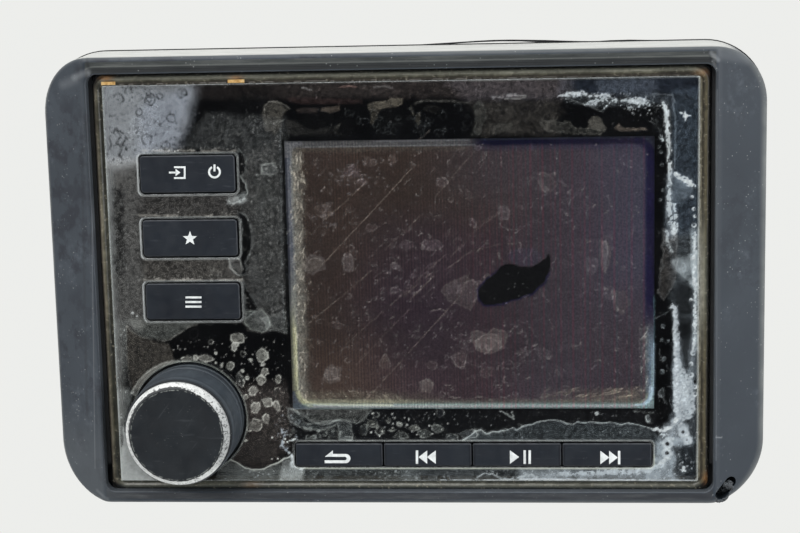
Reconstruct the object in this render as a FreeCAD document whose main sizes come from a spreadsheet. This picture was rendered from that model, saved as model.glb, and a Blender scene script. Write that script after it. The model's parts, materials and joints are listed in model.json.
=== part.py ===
import FreeCAD, Part
import math
import os
import Sketcher
from FreeCAD import Vector, Rotation, Placement

# Flush-mount marine media unit, upright, millimetres.
# +X right, +Z up, -Y towards the person using it. Origin: centre of the panel
# seat, the rear face of the panel gasket. The case goes through the panel to +Y.

doc = FreeCAD.newDocument("MarineStereo")

# ---------------------------------------------------------------- sizes ----
SIZES = [
    # trim bezel
    ("TrimBaseHalfW", 72.6, "half width of the trim at the panel"),
    ("TrimBaseHalfH", 46.15, "half height of the trim at the panel"),
    ("TrimRear", 1.5, "trim rear edge in front of the seat"),
    ("TrimDeep", 13.2, "trim depth"),
    ("TrimDraft", 2.4, "draft of the outer walls, degrees"),
    ("TrimWall", 1.75, "wall"),
    ("TrimEdge", 1.1, "outer edge rounding"),
    ("WingStart", 62.1, "where the side wings start to slope"),
    ("CreaseRad", 2.0, "rounding of that crease"),
    ("CornerRad", 12.0, "outer corners of the trim"),
    ("WingSlope", 0.735, "fall of a wing per unit of width"),
    ("WindowHalfW", 61.75, "window"),
    ("WindowTop", 42.2, "window"),
    ("WindowLow", 43.1, "window"),
    ("WindowCorner", 2.0, "window corner"),
    ("RimThick", 2.2, "front rim thickness"),
    ("NotchRad", 1.2, "pry notch"),
    ("NotchAX", 65.3, "pry notch inner end"),
    ("NotchAZ", 41.75, "pry notch inner end, below centre"),
    ("NotchBX", 63.3, "pry notch outer end"),
    ("NotchBZ", 43.85, "pry notch outer end, below centre"),
    ("NotchLip", 0.5, "raised lip left round the notch"),
    # lens
    ("LensZ", -0.65, "height of the lens centre"),
    ("PadHalfW", 58.8, "raised lens face"),
    ("PadHalfH", 40.55, "raised lens face"),
    ("LensFace", 13.5, "lens face in front of the seat"),
    ("LensStep", 1.1, "height of the raised face over the edge step"),
    ("LensThick", 2.0, "lens thickness at the edge step"),
    ("LensMargin", 2.1, "width of the edge step"),
    ("LensEdge", 0.2, "polished edge"),
    # keys
    ("KeyCutX0", 52.0, "function key cut-out, left of centre"),
    ("KeyCutX1", 32.36, "function key cut-out, left of centre"),
    ("KeyCutTop", 26.68, "top of the first cut-out over the lens centre"),
    ("KeyCutTall", 7.9, "cut-out height"),
    ("KeyPitch", 12.92, "function key pitch"),
    ("KeyGap", 0.25, "gap round a key"),
    ("KeyProud", 0.3, "key face over the lens face"),
    ("KeyTravel", 0.5, "key travel"),
    ("SlotX0", 22.6, "transport slot, left of centre"),
    ("SlotX1", 49.75, "transport slot, right of centre"),
    ("SlotTop", 32.38, "transport slot top, below the lens centre"),
    ("SlotTall", 5.2, "transport slot height"),
    ("SlotGap", 0.3, "gap between transport keys"),
    ("StemRad", 1.3, "key stem"),
    # screen
    ("ScreenX", 13.55, "screen window centre"),
    ("ScreenZ", 1.22, "screen window centre over the lens centre"),
    ("ScreenW", 73.3, "screen window"),
    ("ScreenTall", 55.0, "screen window"),
    ("ModuleW", 76.9, "display module"),
    ("ModuleTall", 63.9, "display module"),
    ("ModuleDeep", 3.1, "display module"),
    # knob
    ("KnobX", -43.94, "knob axis"),
    ("KnobZ", -27.29, "knob axis over the lens centre"),
    ("KnobHoleRad", 11.67, "lens hole"),
    ("KnobSkirtRad", 11.1, "knob skirt"),
    ("KnobRingRad", 10.39, "bright ring, outside"),
    ("KnobCapRad", 9.23, "bright ring, inside"),
    ("KnobFront", 27.1, "front of the knob in front of the seat"),
    ("KnobBack", 10.9, "rear edge of the knob"),
    ("KnobPush", 0.6, "push travel"),
    ("ShaftRad", 3.0, "encoder shaft"),
    # frame and case
    ("FrameHalfW", 62.4, "front frame block"),
    ("FrameHalfH", 43.4, "front frame block"),
    ("FlangeHalfW", 70.2, "mounting flange"),
    ("FlangeHalfH", 43.9, "mounting flange"),
    ("FlangeCorner", 9.3, "mounting flange corner"),
    ("MountX", 66.6, "mounting hole"),
    ("MountZ", 36.0, "mounting hole"),
    ("MountRad", 2.25, "mounting hole"),
    ("CaseHalfW", 61.0, "case through the panel"),
    ("CaseHalfH", 40.0, "case through the panel"),
    ("CaseWall", 2.0, "case wall"),
    ("CaseCorner", 4.0, "case corner"),
    ("CaseEnd", 49.2, "rear edge of the case"),
    ("SinkFace", 50.0, "inner face of the heat sink"),
    ("SinkPlate", 3.5, "heat sink plate"),
    ("FinTall", 14.0, "heat sink fin height"),
    ("FinThick", 1.5, "heat sink fin"),
    ("FinPitch", 5.0, "heat sink fin pitch"),
    ("FinCount", 23.0, "heat sink fins"),
    ("GasketGrow", 0.15, "gasket edge outside the trim"),
    ("CutHalfW", 62.0, "panel cut-out"),
    ("CutHalfH", 41.0, "panel cut-out"),
]
sheet = doc.addObject("Spreadsheet::Sheet", "Sizes")
VALUE = {}
for row, (alias, value, note) in enumerate(SIZES, start=1):
    sheet.set("A%d" % row, alias)
    sheet.set("B%d" % row, repr(value))
    sheet.set("C%d" % row, note)
    sheet.setAlias("B%d" % row, alias)
    VALUE[alias] = value
doc.recompute()


class Q:
    """A size from the sheet, or a formula of sizes, with its present value."""

    def __init__(self, text, value):
        self.text, self.value = text, float(value)

    @staticmethod
    def of(x):
        return x if isinstance(x, Q) else Q(repr(float(x)), x)

    def _op(self, sign, other, value):
        return Q("(%s %s %s)" % (self.text, sign, Q.of(other).text), value)

    def __add__(self, o):
        return self._op("+", o, self.value + Q.of(o).value)

    def __sub__(self, o):
        return self._op("-", o, self.value - Q.of(o).value)

    def __mul__(self, o):
        return self._op("*", o, self.value * Q.of(o).value)

    def __truediv__(self, o):
        return self._op("/", o, self.value / Q.of(o).value)

    def __radd__(self, o):
        return Q.of(o) + self

    def __rsub__(self, o):
        return Q.of(o) - self

    def __rmul__(self, o):
        return Q.of(o) * self

    def __neg__(self):
        return Q("(0 - %s)" % self.text, -self.value)

    def __float__(self):
        return self.value


def z(alias):
    return Q("Sizes." + alias, VALUE[alias])


def bind(obj, prop, q, unit=""):
    """Sets a property from a size, by formula where it has one."""
    if isinstance(q, Q) and "Sizes." in q.text:
        obj.setExpression(prop, q.text + unit)
    else:
        node = obj
        names = prop.split(".")
        if len(names) == 1:
            setattr(node, prop, float(q))
        else:
            obj.setExpression(prop, repr(float(q)) + unit)


PARTS = []


def keep(obj, label):
    obj.Label = label
    PARTS.append(obj)
    return obj


counter = [0]


def nid(stem):
    counter[0] += 1
    return "%s_%03d" % (stem, counter[0])


# ------------------------------------------------------ profile helpers --
def new_body(stem):
    return doc.addObject("PartDesign::Body", nid(stem))


def base_plane(body, role):
    return [f for f in body.Origin.OriginFeatures if f.Role == role][0]


def new_sketch(body, role="XZ_Plane", off=0.0):
    sk = body.newObject("Sketcher::SketchObject", nid("sketch"))
    sk.AttachmentSupport = (base_plane(body, role), [""])
    sk.MapMode = "FlatFace"
    bind(sk, "AttachmentOffset.Base.z", Q.of(off))
    return sk


def pin_point(sk, geo, pos, x, y):
    for kind, q, axis in (("DistanceX", Q.of(x), -2), ("DistanceY", Q.of(y), -1)):
        if abs(q.value) < 1e-9:
            sk.addConstraint(Sketcher.Constraint("PointOnObject", geo, pos, axis))
            continue
        if q.value > 0:
            i = sk.addConstraint(Sketcher.Constraint(kind, -1, 1, geo, pos, q.value))
            text = q.text
        else:
            i = sk.addConstraint(Sketcher.Constraint(kind, geo, pos, -1, 1, -q.value))
            text = "(0 - %s)" % q.text
        if "Sizes." in text:
            sk.setExpression("Constraints[%d]" % i, text)


def poly(sk, pts):
    """A closed outline whose every corner is placed by its sizes."""
    n0 = sk.GeometryCount
    vs = [(Q.of(x), Q.of(y)) for x, y in pts]
    n = len(vs)
    for i in range(n):
        a, b = vs[i], vs[(i + 1) % n]
        sk.addGeometry(Part.LineSegment(Vector(a[0].value, a[1].value, 0),
                                        Vector(b[0].value, b[1].value, 0)), False)
    for i in range(n):
        sk.addConstraint(Sketcher.Constraint("Coincident", n0 + i, 2, n0 + (i + 1) % n, 1))
    for i in range(n):
        pin_point(sk, n0 + i, 1, vs[i][0], vs[i][1])
    return sk


def rect(sk, x0, x1, y0, y1):
    return poly(sk, [(x0, y0), (x1, y0), (x1, y1), (x0, y1)])


def ring_circle(sk, x, y, r):
    g = sk.addGeometry(Part.Circle(Vector(float(x), float(y), 0), Vector(0, 0, 1), float(r)), False)
    pin_point(sk, g, 3, x, y)
    i = sk.addConstraint(Sketcher.Constraint("Radius", g, float(r)))
    q = Q.of(r)
    if "Sizes." in q.text:
        sk.setExpression("Constraints[%d]" % i, q.text)
    return sk


def solid_volume(body):
    return body.Shape.Volume if body.Shape and not body.Shape.isNull() else 0.0


def pad(body, sk, length, reverse=False, taper=None, both=False):
    f = body.newObject("PartDesign::Pad", nid("pad"))
    f.Profile = sk
    bind(f, "Length", Q.of(length))
    f.Reversed = reverse
    if both:
        f.Midplane = True
    if taper is not None:
        bind(f, "TaperAngle", taper)
    sk.Visibility = False
    doc.recompute()
    return f


def pocket(body, sk, length=None, reverse=False, both=False):
    before = solid_volume(body)
    f = body.newObject("PartDesign::Pocket", nid("pocket"))
    f.Profile = sk
    if length is None:
        f.Type = 1
    else:
        bind(f, "Length", Q.of(length))
    f.Reversed = reverse
    if both:
        f.Midplane = True
    sk.Visibility = False
    doc.recompute()
    if not solid_volume(body) < before - 1e-6:
        raise RuntimeError("pocket %s of %s cut nothing" % (f.Name, body.Name))
    return f


def edges_of(shape, test):
    out = []
    for i, e in enumerate(shape.Edges, start=1):
        if test(e):
            out.append("Edge%d" % i)
    return out


def round_edges(body, test, radius, kind="PartDesign::Fillet"):
    base = body.Tip
    names = edges_of(base.Shape, test)
    if not names:
        raise RuntimeError("no edges to round on " + body.Name)
    f = body.newObject(kind, nid("edge"))
    f.Base = (base, names)
    bind(f, "Radius" if kind.endswith("Fillet") else "Size", Q.of(radius))
    doc.recompute()
    if "Invalid" in f.State or "Error" in f.State or f.Shape.isNull():
        raise RuntimeError("%s of %s failed on %s" % (kind, body.Name, names))
    return f


def revolve(body, sk):
    f = body.newObject("PartDesign::Revolution", nid("turn"))
    f.Profile = sk
    f.ReferenceAxis = (sk, ["V_Axis"])
    f.Angle = 360.0
    sk.Visibility = False
    doc.recompute()
    return f


def along(e, direction, tol=0.02):
    """True for a straight edge that runs along a direction."""
    if len(e.Vertexes) != 2:
        return False
    d = e.Vertexes[1].Point - e.Vertexes[0].Point
    if d.Length < 1e-6 or abs(d.Length - e.Length) > 1e-4:
        return False
    d.normalize()
    return abs(d.dot(direction)) > 1 - tol


def at_y(e, y, tol=0.02):
    b = e.BoundBox
    return abs(b.YMin - y) < tol and abs(b.YMax - y) < tol


XA, YA, ZA = Vector(1, 0, 0), Vector(0, 1, 0), Vector(0, 0, 1)


# ------------------------------------------------------ simple solids -----
def box(x0, x1, y0, y1, z0, z1, stem="block"):
    b = doc.addObject("Part::Box", nid(stem))
    x0, x1, y0, y1, z0, z1 = (Q.of(v) for v in (x0, x1, y0, y1, z0, z1))
    bind(b, "Length", x1 - x0)
    bind(b, "Width", y1 - y0)
    bind(b, "Height", z1 - z0)
    bind(b, "Placement.Base.x", x0)
    bind(b, "Placement.Base.y", y0)
    bind(b, "Placement.Base.z", z0)
    return b


TURN = {"+Y": Rotation(XA, -90), "-Y": Rotation(XA, 90), "+Z": Rotation(), "+X": Rotation(YA, 90)}


def cylinder(x, y, zz, r, length, to="+Y", stem="round"):
    c = doc.addObject("Part::Cylinder", nid(stem))
    c.Placement = Placement(Vector(0, 0, 0), TURN[to])
    bind(c, "Radius", Q.of(r))
    bind(c, "Height", Q.of(length))
    bind(c, "Placement.Base.x", Q.of(x))
    bind(c, "Placement.Base.y", Q.of(y))
    bind(c, "Placement.Base.z", Q.of(zz))
    return c


def cone(x, y, zz, r1, r2, length, to="+Y"):
    c = doc.addObject("Part::Cone", nid("cone"))
    c.Placement = Placement(Vector(0, 0, 0), TURN[to])
    bind(c, "Radius1", Q.of(r1))
    bind(c, "Radius2", Q.of(r2))
    bind(c, "Height", Q.of(length))
    bind(c, "Placement.Base.x", Q.of(x))
    bind(c, "Placement.Base.y", Q.of(y))
    bind(c, "Placement.Base.z", Q.of(zz))
    return c


def fuse(objs):
    if len(objs) == 1:
        return objs[0]
    f = doc.addObject("Part::MultiFuse", nid("join"))
    f.Shapes = objs
    return f


def cut(base, tools):
    c = doc.addObject("Part::Cut", nid("cut"))
    c.Base = base
    c.Tool = fuse(tools)
    return c


def group(objs):
    g = doc.addObject("Part::Compound", nid("group"))
    g.Links = objs
    return g


# ================================================================ trim =====
draft = math.tan(math.radians(VALUE["TrimDraft"]))
front_y = z("TrimRear") + z("TrimDeep")          # 14.7 in front of the seat


def rounded(sk, hw, hh, r):
    """A rounded rectangle about the origin, its straight runs placed by sizes."""
    n0 = sk.GeometryCount
    hw, hh, r = Q.of(hw), Q.of(hh), Q.of(r)
    runs = [((-(hw - r), -hh), (hw - r, -hh)), ((hw, -(hh - r)), (hw, hh - r)),
            ((hw - r, hh), (-(hw - r), hh)), ((-hw, hh - r), (-hw, -(hh - r)))]
    for a, b in runs:
        sk.addGeometry(Part.LineSegment(Vector(float(a[0]), float(a[1]), 0),
                                        Vector(float(b[0]), float(b[1]), 0)), False)
    w, t, k = float(hw), float(hh), float(r)
    for cx, cy, a0 in ((w - k, -t + k, -90), (w - k, t - k, 0), (-w + k, t - k, 90), (-w + k, -t + k, 180)):
        c = Part.Circle(Vector(cx, cy, 0), Vector(0, 0, 1), k)
        sk.addGeometry(Part.ArcOfCircle(c, math.radians(a0), math.radians(a0 + 90)), False)
    for i in range(4):
        sk.addConstraint(Sketcher.Constraint("Tangent", n0 + i, 2, n0 + 4 + i, 1))
        sk.addConstraint(Sketcher.Constraint("Coincident", n0 + 4 + i, 2, n0 + (i + 1) % 4, 1))
    for i, (a, b) in enumerate(runs):
        pin_point(sk, n0 + i, 1, a[0], a[1])
        # the far end only needs its place along the run
        pin_point(sk, n0 + i, 2, b[0], b[1])
    return sk


def trim_block(stem, inset, rear, front, corner, start, fall):
    """The outer form of the trim, or the same form drawn in by a wall."""
    b = new_body(stem)
    one = new_sketch(b, "XZ_Plane", rear)
    rounded(one, z("TrimBaseHalfW") - inset, z("TrimBaseHalfH") - inset, corner)
    lean = (front - rear) * draft
    two = new_sketch(b, "XZ_Plane", front)
    rounded(two, z("TrimBaseHalfW") - inset - lean, z("TrimBaseHalfH") - inset - lean, corner - lean)
    doc.recompute()
    f = b.newObject("PartDesign::AdditiveLoft", nid("loft"))
    f.Profile = one
    f.Sections = [two]
    f.Ruled = True
    one.Visibility = two.Visibility = False
    doc.recompute()
    # both wings: everything in front of a sloping plane goes
    for s in (1, -1):
        sk = new_sketch(b, "XY_Plane", 0.0)
        ya = -front + fall
        poly(sk, [((start - 2.0) * s, ya - z("WingSlope") * 2.0),
                  (Q.of(s * 76.0), ya + z("WingSlope") * (76.0 - start)),
                  (Q.of(s * 76.0), Q.of(-30.0)), ((start - 2.0) * s, Q.of(-30.0))])
        pocket(b, sk, 120.0, both=True)
    return b


corner_r = z("CornerRad")
outer = trim_block("trim_outer", Q.of(0.0), z("TrimRear"), front_y, corner_r, z("WingStart"), Q.of(0.0))
# the crease where a wing starts is soft, so the outline runs on smoothly across it
round_edges(outer, lambda e: along(e, ZA) and abs(abs(e.CenterOfMass.x) - VALUE["WingStart"]) < 0.05, z("CreaseRad"))
round_edges(outer, lambda e: e.BoundBox.YMax < -2.0 and (abs(e.CenterOfMass.x) > 64 and e.Length > 3
            or abs(e.CenterOfMass.z) > 44 and e.BoundBox.YMax < -13.2), z("TrimEdge"))
# window
sk = new_sketch(outer, "XZ_Plane", front_y)
rect(sk, -z("WindowHalfW"), z("WindowHalfW"), -z("WindowLow"), z("WindowTop"))
pocket(outer, sk, 8.0)
round_edges(outer, lambda e: along(e, YA) and abs(abs(e.CenterOfMass.x) - VALUE["WindowHalfW"]) < 0.02,
            z("WindowCorner"))
round_edges(outer, lambda e: e.BoundBox.YMax < -14.6 and abs(e.CenterOfMass.x) < 61.9
            and abs(e.CenterOfMass.z) < 43.2, 0.3)
inner_front = front_y - z("RimThick")
core = trim_block("trim_core", z("TrimWall"), z("TrimRear") - 0.1, inner_front,
                  corner_r - z("TrimWall"), z("WingStart") - 0.2, Q.of(0.0))
# raised lip and pry notch at the lower right corner
nx, nz = VALUE["NotchBX"] - VALUE["NotchAX"], VALUE["NotchAZ"] - VALUE["NotchBZ"]


def capsule(r, y0, y1, a, b_):
    """A straight slot form along Y between two ends."""
    (ax, az), (bx, bz) = a, b_
    one = cylinder(ax, y0, az, r, y1 - y0)
    two = cylinder(bx, y0, bz, r, y1 - y0)
    ang = math.degrees(math.atan2(float(bz) - float(az), float(bx) - float(ax)))
    ln = math.hypot(float(bz) - float(az), float(bx) - float(ax))
    mid = doc.addObject("Part::Box", nid("slot"))
    mid.Length, mid.Width, mid.Height = ln, float(y1) - float(y0), 2 * float(r)
    bind(mid, "Height", Q.of(r) * 2)
    rot = Rotation(YA, -ang)
    base = Vector(float(ax), float(y0), float(az)) + rot.multVec(Vector(0, 0, -float(r)))
    mid.Placement = Placement(base, rot)
    return fuse([one, two, mid])


notch_a = (z("NotchAX"), -z("NotchAZ"))
notch_b = (z("NotchBX"), -z("NotchBZ"))
lip = cylinder(z("NotchBX"), -13.4, -z("NotchBZ"), z("NotchRad") + z("NotchLip"), 2.6)
notch = capsule(z("NotchRad"), Q.of(-16.0), Q.of(-8.6), notch_a, notch_b)
shell = cut(outer, [core])
trim = cut(fuse([shell, lip]), [notch])
# low crush ribs inside the side walls grip the frame flange
ribs = []
for s in (1, -1):
    for zz in (-22.0, 0.0, 22.0):
        x_in = VALUE["TrimBaseHalfW"] - VALUE["TrimWall"] - 0.12
        a = s * x_in
        ends = sorted((a + s * 0.3, a - s * 0.35))
        ribs.append(box(ends[0], ends[1], -5.6, -3.0, zz - 2.5, zz + 2.5, "rib"))
keep(fuse([trim] + ribs), "trim_bezel")

# =============================================================== lens ======
lens_z = z("LensZ")
face = z("LensFace")
step_y = face - z("LensStep")                    # 12.4
back_y = step_y - z("LensThick")                 # 10.4


def key_cut(i):
    """Cut-out i of the function keys: x0, x1, z0, z1."""
    top = lens_z + z("KeyCutTop") - z("KeyPitch") * i
    return -z("KeyCutX0"), -z("KeyCutX1"), top - z("KeyCutTall"), top


slot_z1 = lens_z - z("SlotTop")
slot_z0 = slot_z1 - z("SlotTall")
knob_x, knob_z = z("KnobX"), lens_z + z("KnobZ")

b = new_body("lens")
sk = new_sketch(b, "XZ_Plane", back_y)
mw, mh = z("PadHalfW") + z("LensMargin"), z("PadHalfH") + z("LensMargin")
rect(sk, -mw, mw, lens_z - mh, lens_z + mh)
pad(b, sk, z("LensThick"))
round_edges(b, lambda e: along(e, YA), 1.6)
sk = new_sketch(b, "XZ_Plane", step_y)
rect(sk, -z("PadHalfW"), z("PadHalfW"), lens_z - z("PadHalfH"), lens_z + z("PadHalfH"))
pad(b, sk, z("LensStep"))
round_edges(b, lambda e: along(e, YA) and abs(abs(e.CenterOfMass.x) - VALUE["PadHalfW"]) < 0.02, 0.5)
sk = new_sketch(b, "XZ_Plane", face)
for i in range(3):
    x0, x1, z0, z1 = key_cut(i)
    rect(sk, x0, x1, z0, z1)
rect(sk, -z("SlotX0"), z("SlotX1"), slot_z0, slot_z1)
pocket(b, sk, 8.0)
round_edges(b, lambda e: along(e, YA) and e.BoundBox.YMin < -13.4 and e.BoundBox.YMax > -10.5, 0.9)
sk = new_sketch(b, "XZ_Plane", face)
ring_circle(sk, knob_x, knob_z, z("KnobHoleRad"))
pocket(b, sk, 8.0)
round_edges(b, lambda e: at_y(e, -VALUE["LensFace"]), z("LensEdge"))
keep(b, "front_lens")

# black print behind the raised face, with the screen window left clear
b = new_body("mask")
sk = new_sketch(b, "XZ_Plane", back_y - 0.1)
rect(sk, -(z("PadHalfW") - 0.3), z("PadHalfW") - 0.3,
     lens_z - (z("PadHalfH") - 0.3), lens_z + (z("PadHalfH") - 0.3))
pad(b, sk, 0.1)
sk = new_sketch(b, "XZ_Plane", back_y)
for i in range(3):
    x0, x1, z0, z1 = key_cut(i)
    rect(sk, x0 - 0.1, x1 + 0.1, z0 - 0.1, z1 + 0.1)
rect(sk, -z("SlotX0") - 0.1, z("SlotX1") + 0.1, slot_z0 - 0.1, slot_z1 + 0.1)
scr_x, scr_z = z("ScreenX"), lens_z + z("ScreenZ")
rect(sk, scr_x - z("ScreenW") / 2, scr_x + z("ScreenW") / 2,
     scr_z - z("ScreenTall") / 2, scr_z + z("ScreenTall") / 2)
ring_circle(sk, knob_x, knob_z, z("KnobHoleRad") + 0.1)
pocket(b, sk, 1.0)
keep(b, "mask_film")

# bead that bonds the lens step to the frame
b = new_body("bead")
sk = new_sketch(b, "XZ_Plane", back_y - 0.5)
rect(sk, -(mw - 0.15), mw - 0.15, lens_z - (mh - 0.15), lens_z + (mh - 0.15))
rect(sk, -(mw - 2.3), mw - 2.3, lens_z - (mh - 2.3), lens_z + (mh - 2.3))
pad(b, sk, 0.5)
round_edges(b, lambda e: along(e, YA) and abs(e.CenterOfMass.x) > 60, 1.3)
bead = b

# two squeezed-out dabs of the same amber bond on the step above the raised face
dab_z = lens_z + z("PadHalfH")
dabs = [box(-59.0, -56.2, -(step_y + 0.35), -step_y, dab_z + 0.12, dab_z + 0.75),
        box(-33.6, -30.3, -(step_y + 0.35), -step_y, dab_z + 0.12, dab_z + 0.75)]
keep(group([bead] + dabs), "lens_adhesive")

# ============================================================== display ====
mod_x0, mod_x1 = scr_x - z("ModuleW") / 2, scr_x + z("ModuleW") / 2
mod_z0, mod_z1 = scr_z - z("ModuleTall") / 2, scr_z + z("ModuleTall") / 2
mod_f = back_y - 0.5                              # module front, 9.9
win = [scr_x - z("ScreenW") / 2, scr_x + z("ScreenW") / 2,
       scr_z - z("ScreenTall") / 2, scr_z + z("ScreenTall") / 2]

seal = cut(box(mod_x0 + 0.2, mod_x1 - 0.2, -(back_y - 0.1), -mod_f, mod_z0 + 0.2, mod_z1 - 0.2),
           [box(win[0] - 0.25, win[1] + 0.25, -11.0, -9.0, win[2] - 0.25, win[3] + 0.25)])
keep(seal, "screen_gasket")
b = new_body("glass")
sk = new_sketch(b, "XZ_Plane", mod_f - 1.3)
rect(sk, mod_x0 + 0.5, mod_x1 - 0.5, mod_z0 + 0.5, mod_z1 - 0.5)
pad(b, sk, 1.3)
keep(b, "lcd_glass")
tray = cut(box(mod_x0, mod_x1, -mod_f, -(mod_f - z("ModuleDeep")), mod_z0, mod_z1),
           [box(mod_x0 + 0.5, mod_x1 - 0.5, -11.0, -(mod_f - z("ModuleDeep") + 0.4),
                mod_z0 + 0.5, mod_z1 - 0.5)])
keep(tray, "lcd_tray")
keep(box(mod_x0 + 0.5, mod_x1 - 0.5, -(mod_f - 1.3), -(mod_f - z("ModuleDeep") + 0.4),
         mod_z0 + 0.5, mod_z1 - 0.5), "lcd_backlight")
keep(box(scr_x - 11.0, scr_x + 11.0, -(mod_f - z("ModuleDeep")), -4.6, -22.3, -22.0), "lcd_flex")

# =========================================================== front frame ===
b = new_body("frame")
sk = new_sketch(b, "XZ_Plane", 3.5)
rect(sk, -z("FlangeHalfW"), z("FlangeHalfW"), -z("FlangeHalfH"), z("FlangeHalfH"))
pad(b, sk, 2.5)
round_edges(b, lambda e: along(e, YA), z("FlangeCorner"))
sk = new_sketch(b, "XZ_Plane", 5.9)
rect(sk, -z("FrameHalfW"), z("FrameHalfW"), -z("FrameHalfH"), z("FrameHalfH"))
pad(b, sk, 4.0)
round_edges(b, lambda e: along(e, YA) and abs(abs(e.CenterOfMass.x) - VALUE["FrameHalfW"]) < 0.02, 2.2)
# low wall round the sides and top of the lens
sk = new_sketch(b, "XZ_Plane", 9.8)
wi, wt = z("FrameHalfW") - 1.25, z("FrameHalfH") - 1.2
poly(sk, [(-z("FrameHalfW"), -38.0), (-wi, -38.0), (-wi, wt), (wi, wt), (wi, -38.0),
          (z("FrameHalfW"), -38.0), (z("FrameHalfW"), z("FrameHalfH")), (-z("FrameHalfW"), z("FrameHalfH"))])
pad(b, sk, 1.8)
# hollow behind the front plate
sk = new_sketch(b, "XZ_Plane", 3.5)
rect(sk, -59.0, 59.0, -39.6, 39.6)
pocket(b, sk, 4.4, reverse=True)
# openings in the front plate
sk = new_sketch(b, "XZ_Plane", 12.0)
rect(sk, mod_x0 - 0.15, mod_x1 + 0.15, mod_z0 - 0.1, mod_z1 + 0.15)
pocket(b, sk, 5.0)
sk = new_sketch(b, "XZ_Plane", 12.0)
for i in range(3):
    x0, x1, z0, z1 = key_cut(i)
    rect(sk, x0 - 0.6, x1 + 0.6, z0 - 0.6, z1 + 0.6)
rect(sk, -z("SlotX0") - 0.6, z("SlotX1") + 0.6, slot_z0 - 0.55, slot_z1 + 0.45)
pocket(b, sk, 5.0)
sk = new_sketch(b, "XZ_Plane", 12.0)
ring_circle(sk, knob_x, knob_z, 3.55)
pocket(b, sk, 5.0)
# mounting holes, countersunk, and small holes for the assembly screws
sk = new_sketch(b, "XZ_Plane", 6.0)
for sx in (1, -1):
    for sz in (1, -1):
        ring_circle(sk, z("MountX") * sx, z("MountZ") * sz, z("MountRad"))
        ring_circle(sk, Q.of(65.6 * sx), Q.of(14.0 * sz), Q.of(1.35))
pocket(b, sk, 3.0)
# bosses that carry the front board
for bx, bz in ((-56.5, 34.5), (56.5, 34.5), (56.5, -33.5), (-28.0, -36.0)):
    sk = new_sketch(b, "XZ_Plane", 4.6)
    ring_circle(sk, bx, bz, 2.1)
    pad(b, sk, 3.5)
    sk = new_sketch(b, "XZ_Plane", 4.6)
    ring_circle(sk, bx, bz, 0.95)
    pocket(b, sk, 2.6, reverse=True)
keep(b, "front_frame")

# ================================================================= keys ====
cap_f = face + z("KeyProud")                      # 13.8
KEYS = [("power", 0), ("favourites", 1), ("menu", 2)]
key_centres = {}


def make_key(name, x0, x1, z0, z1, round_r, lip_x0, lip_x1, lip_z0, lip_z1):
    b = new_body("key")
    sk = new_sketch(b, "XZ_Plane", Q.of(10.1))
    rect(sk, x0, x1, z0, z1)
    pad(b, sk, cap_f - 10.1)
    round_edges(b, lambda e: along(e, YA), round_r)
    round_edges(b, lambda e: at_y(e, -13.8), 0.3)
    sk = new_sketch(b, "XZ_Plane", Q.of(9.3))
    rect(sk, lip_x0, lip_x1, lip_z0, lip_z1)
    pad(b, sk, 0.8)
    cx, cz = (x0 + x1) / 2, (z0 + z1) / 2
    sk = new_sketch(b, "XZ_Plane", Q.of(7.6))
    ring_circle(sk, cx, cz, z("StemRad"))
    pad(b, sk, 1.8)
    keep(b, "key_" + name)
    p = cylinder(cx, -7.6, cz, 1.0, 2.0, "+Y", "plunger")
    keep(p, "plunger_" + name)
    key_centres[name] = (cx, cz)


g = z("KeyGap")
for name, i in KEYS:
    x0, x1, z0, z1 = key_cut(i)
    # each key sits a hair up and to the left in its cut-out
    kx0, kx1, kz0, kz1 = x0 + g - 0.07, x1 - g - 0.07, z0 + g + 0.07, z1 - g + 0.07
    make_key(name, kx0, kx1, kz0, kz1, 0.7, kx0 - 0.45, kx1 + 0.45, kz0 - 0.45, kz1 + 0.45)
slot_w = (z("SlotX1") + z("SlotX0") - z("SlotGap") * 3 - 0.5) / 4
for name, i in (("back", 0), ("previous", 1), ("play", 2), ("next", 3)):
    x0 = -z("SlotX0") + 0.25 + (slot_w + z("SlotGap")) * i
    x1 = x0 + slot_w
    z0, z1 = slot_z0 + 0.25, slot_z1 - 0.25
    make_key(name, x0, x1, z0, z1, 0.35,
             x0 - 0.45 if i == 0 else x0, x1 + 0.45 if i == 3 else x1, z0 - 0.45, z1 + 0.35)

# silicone key mats, clear of the stems
holes = [cylinder(key_centres[n][0], -9.0, key_centres[n][1], 1.6, 3.0) for n in ("power", "favourites", "menu")]
keep(cut(box(-54.6, -29.9, -7.9, -7.1, -12.0, 29.5), holes), "function_key_mat")
holes = [cylinder(key_centres[n][0], -9.0, key_centres[n][1], 1.6, 3.0) for n in ("back", "previous", "play", "next")]
keep(cut(box(-24.0, 51.0, -7.9, -7.1, -39.3, -32.2), holes), "transport_key_mat")

# tact switches and key lights on the front board
sw = []
for n in ("power", "favourites", "menu", "back", "previous", "play", "next"):
    cx, cz = key_centres[n]
    sw.append(cut(box(cx - 2.25, cx + 2.25, -6.6, -4.6, cz - 1.8, cz + 1.8),
                  [cylinder(cx, -7.0, cz, 1.05, 2.0)]))
keep(group(sw), "tact_switches")
leds = []
for n in ("power", "favourites", "menu"):
    cx, cz = key_centres[n]
    leds += [box(cx - 7.0, cx - 5.4, -5.2, -4.6, cz - 0.4, cz + 0.4),
             box(cx + 5.4, cx + 7.0, -5.2, -4.6, cz - 0.4, cz + 0.4)]
for n in ("back", "previous", "play", "next"):
    cx, cz = key_centres[n]
    leds.append(box(cx + 4.4, cx + 6.0, -5.2, -4.6, cz - 0.4, cz + 0.4))
keep(group(leds), "key_lights")

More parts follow.
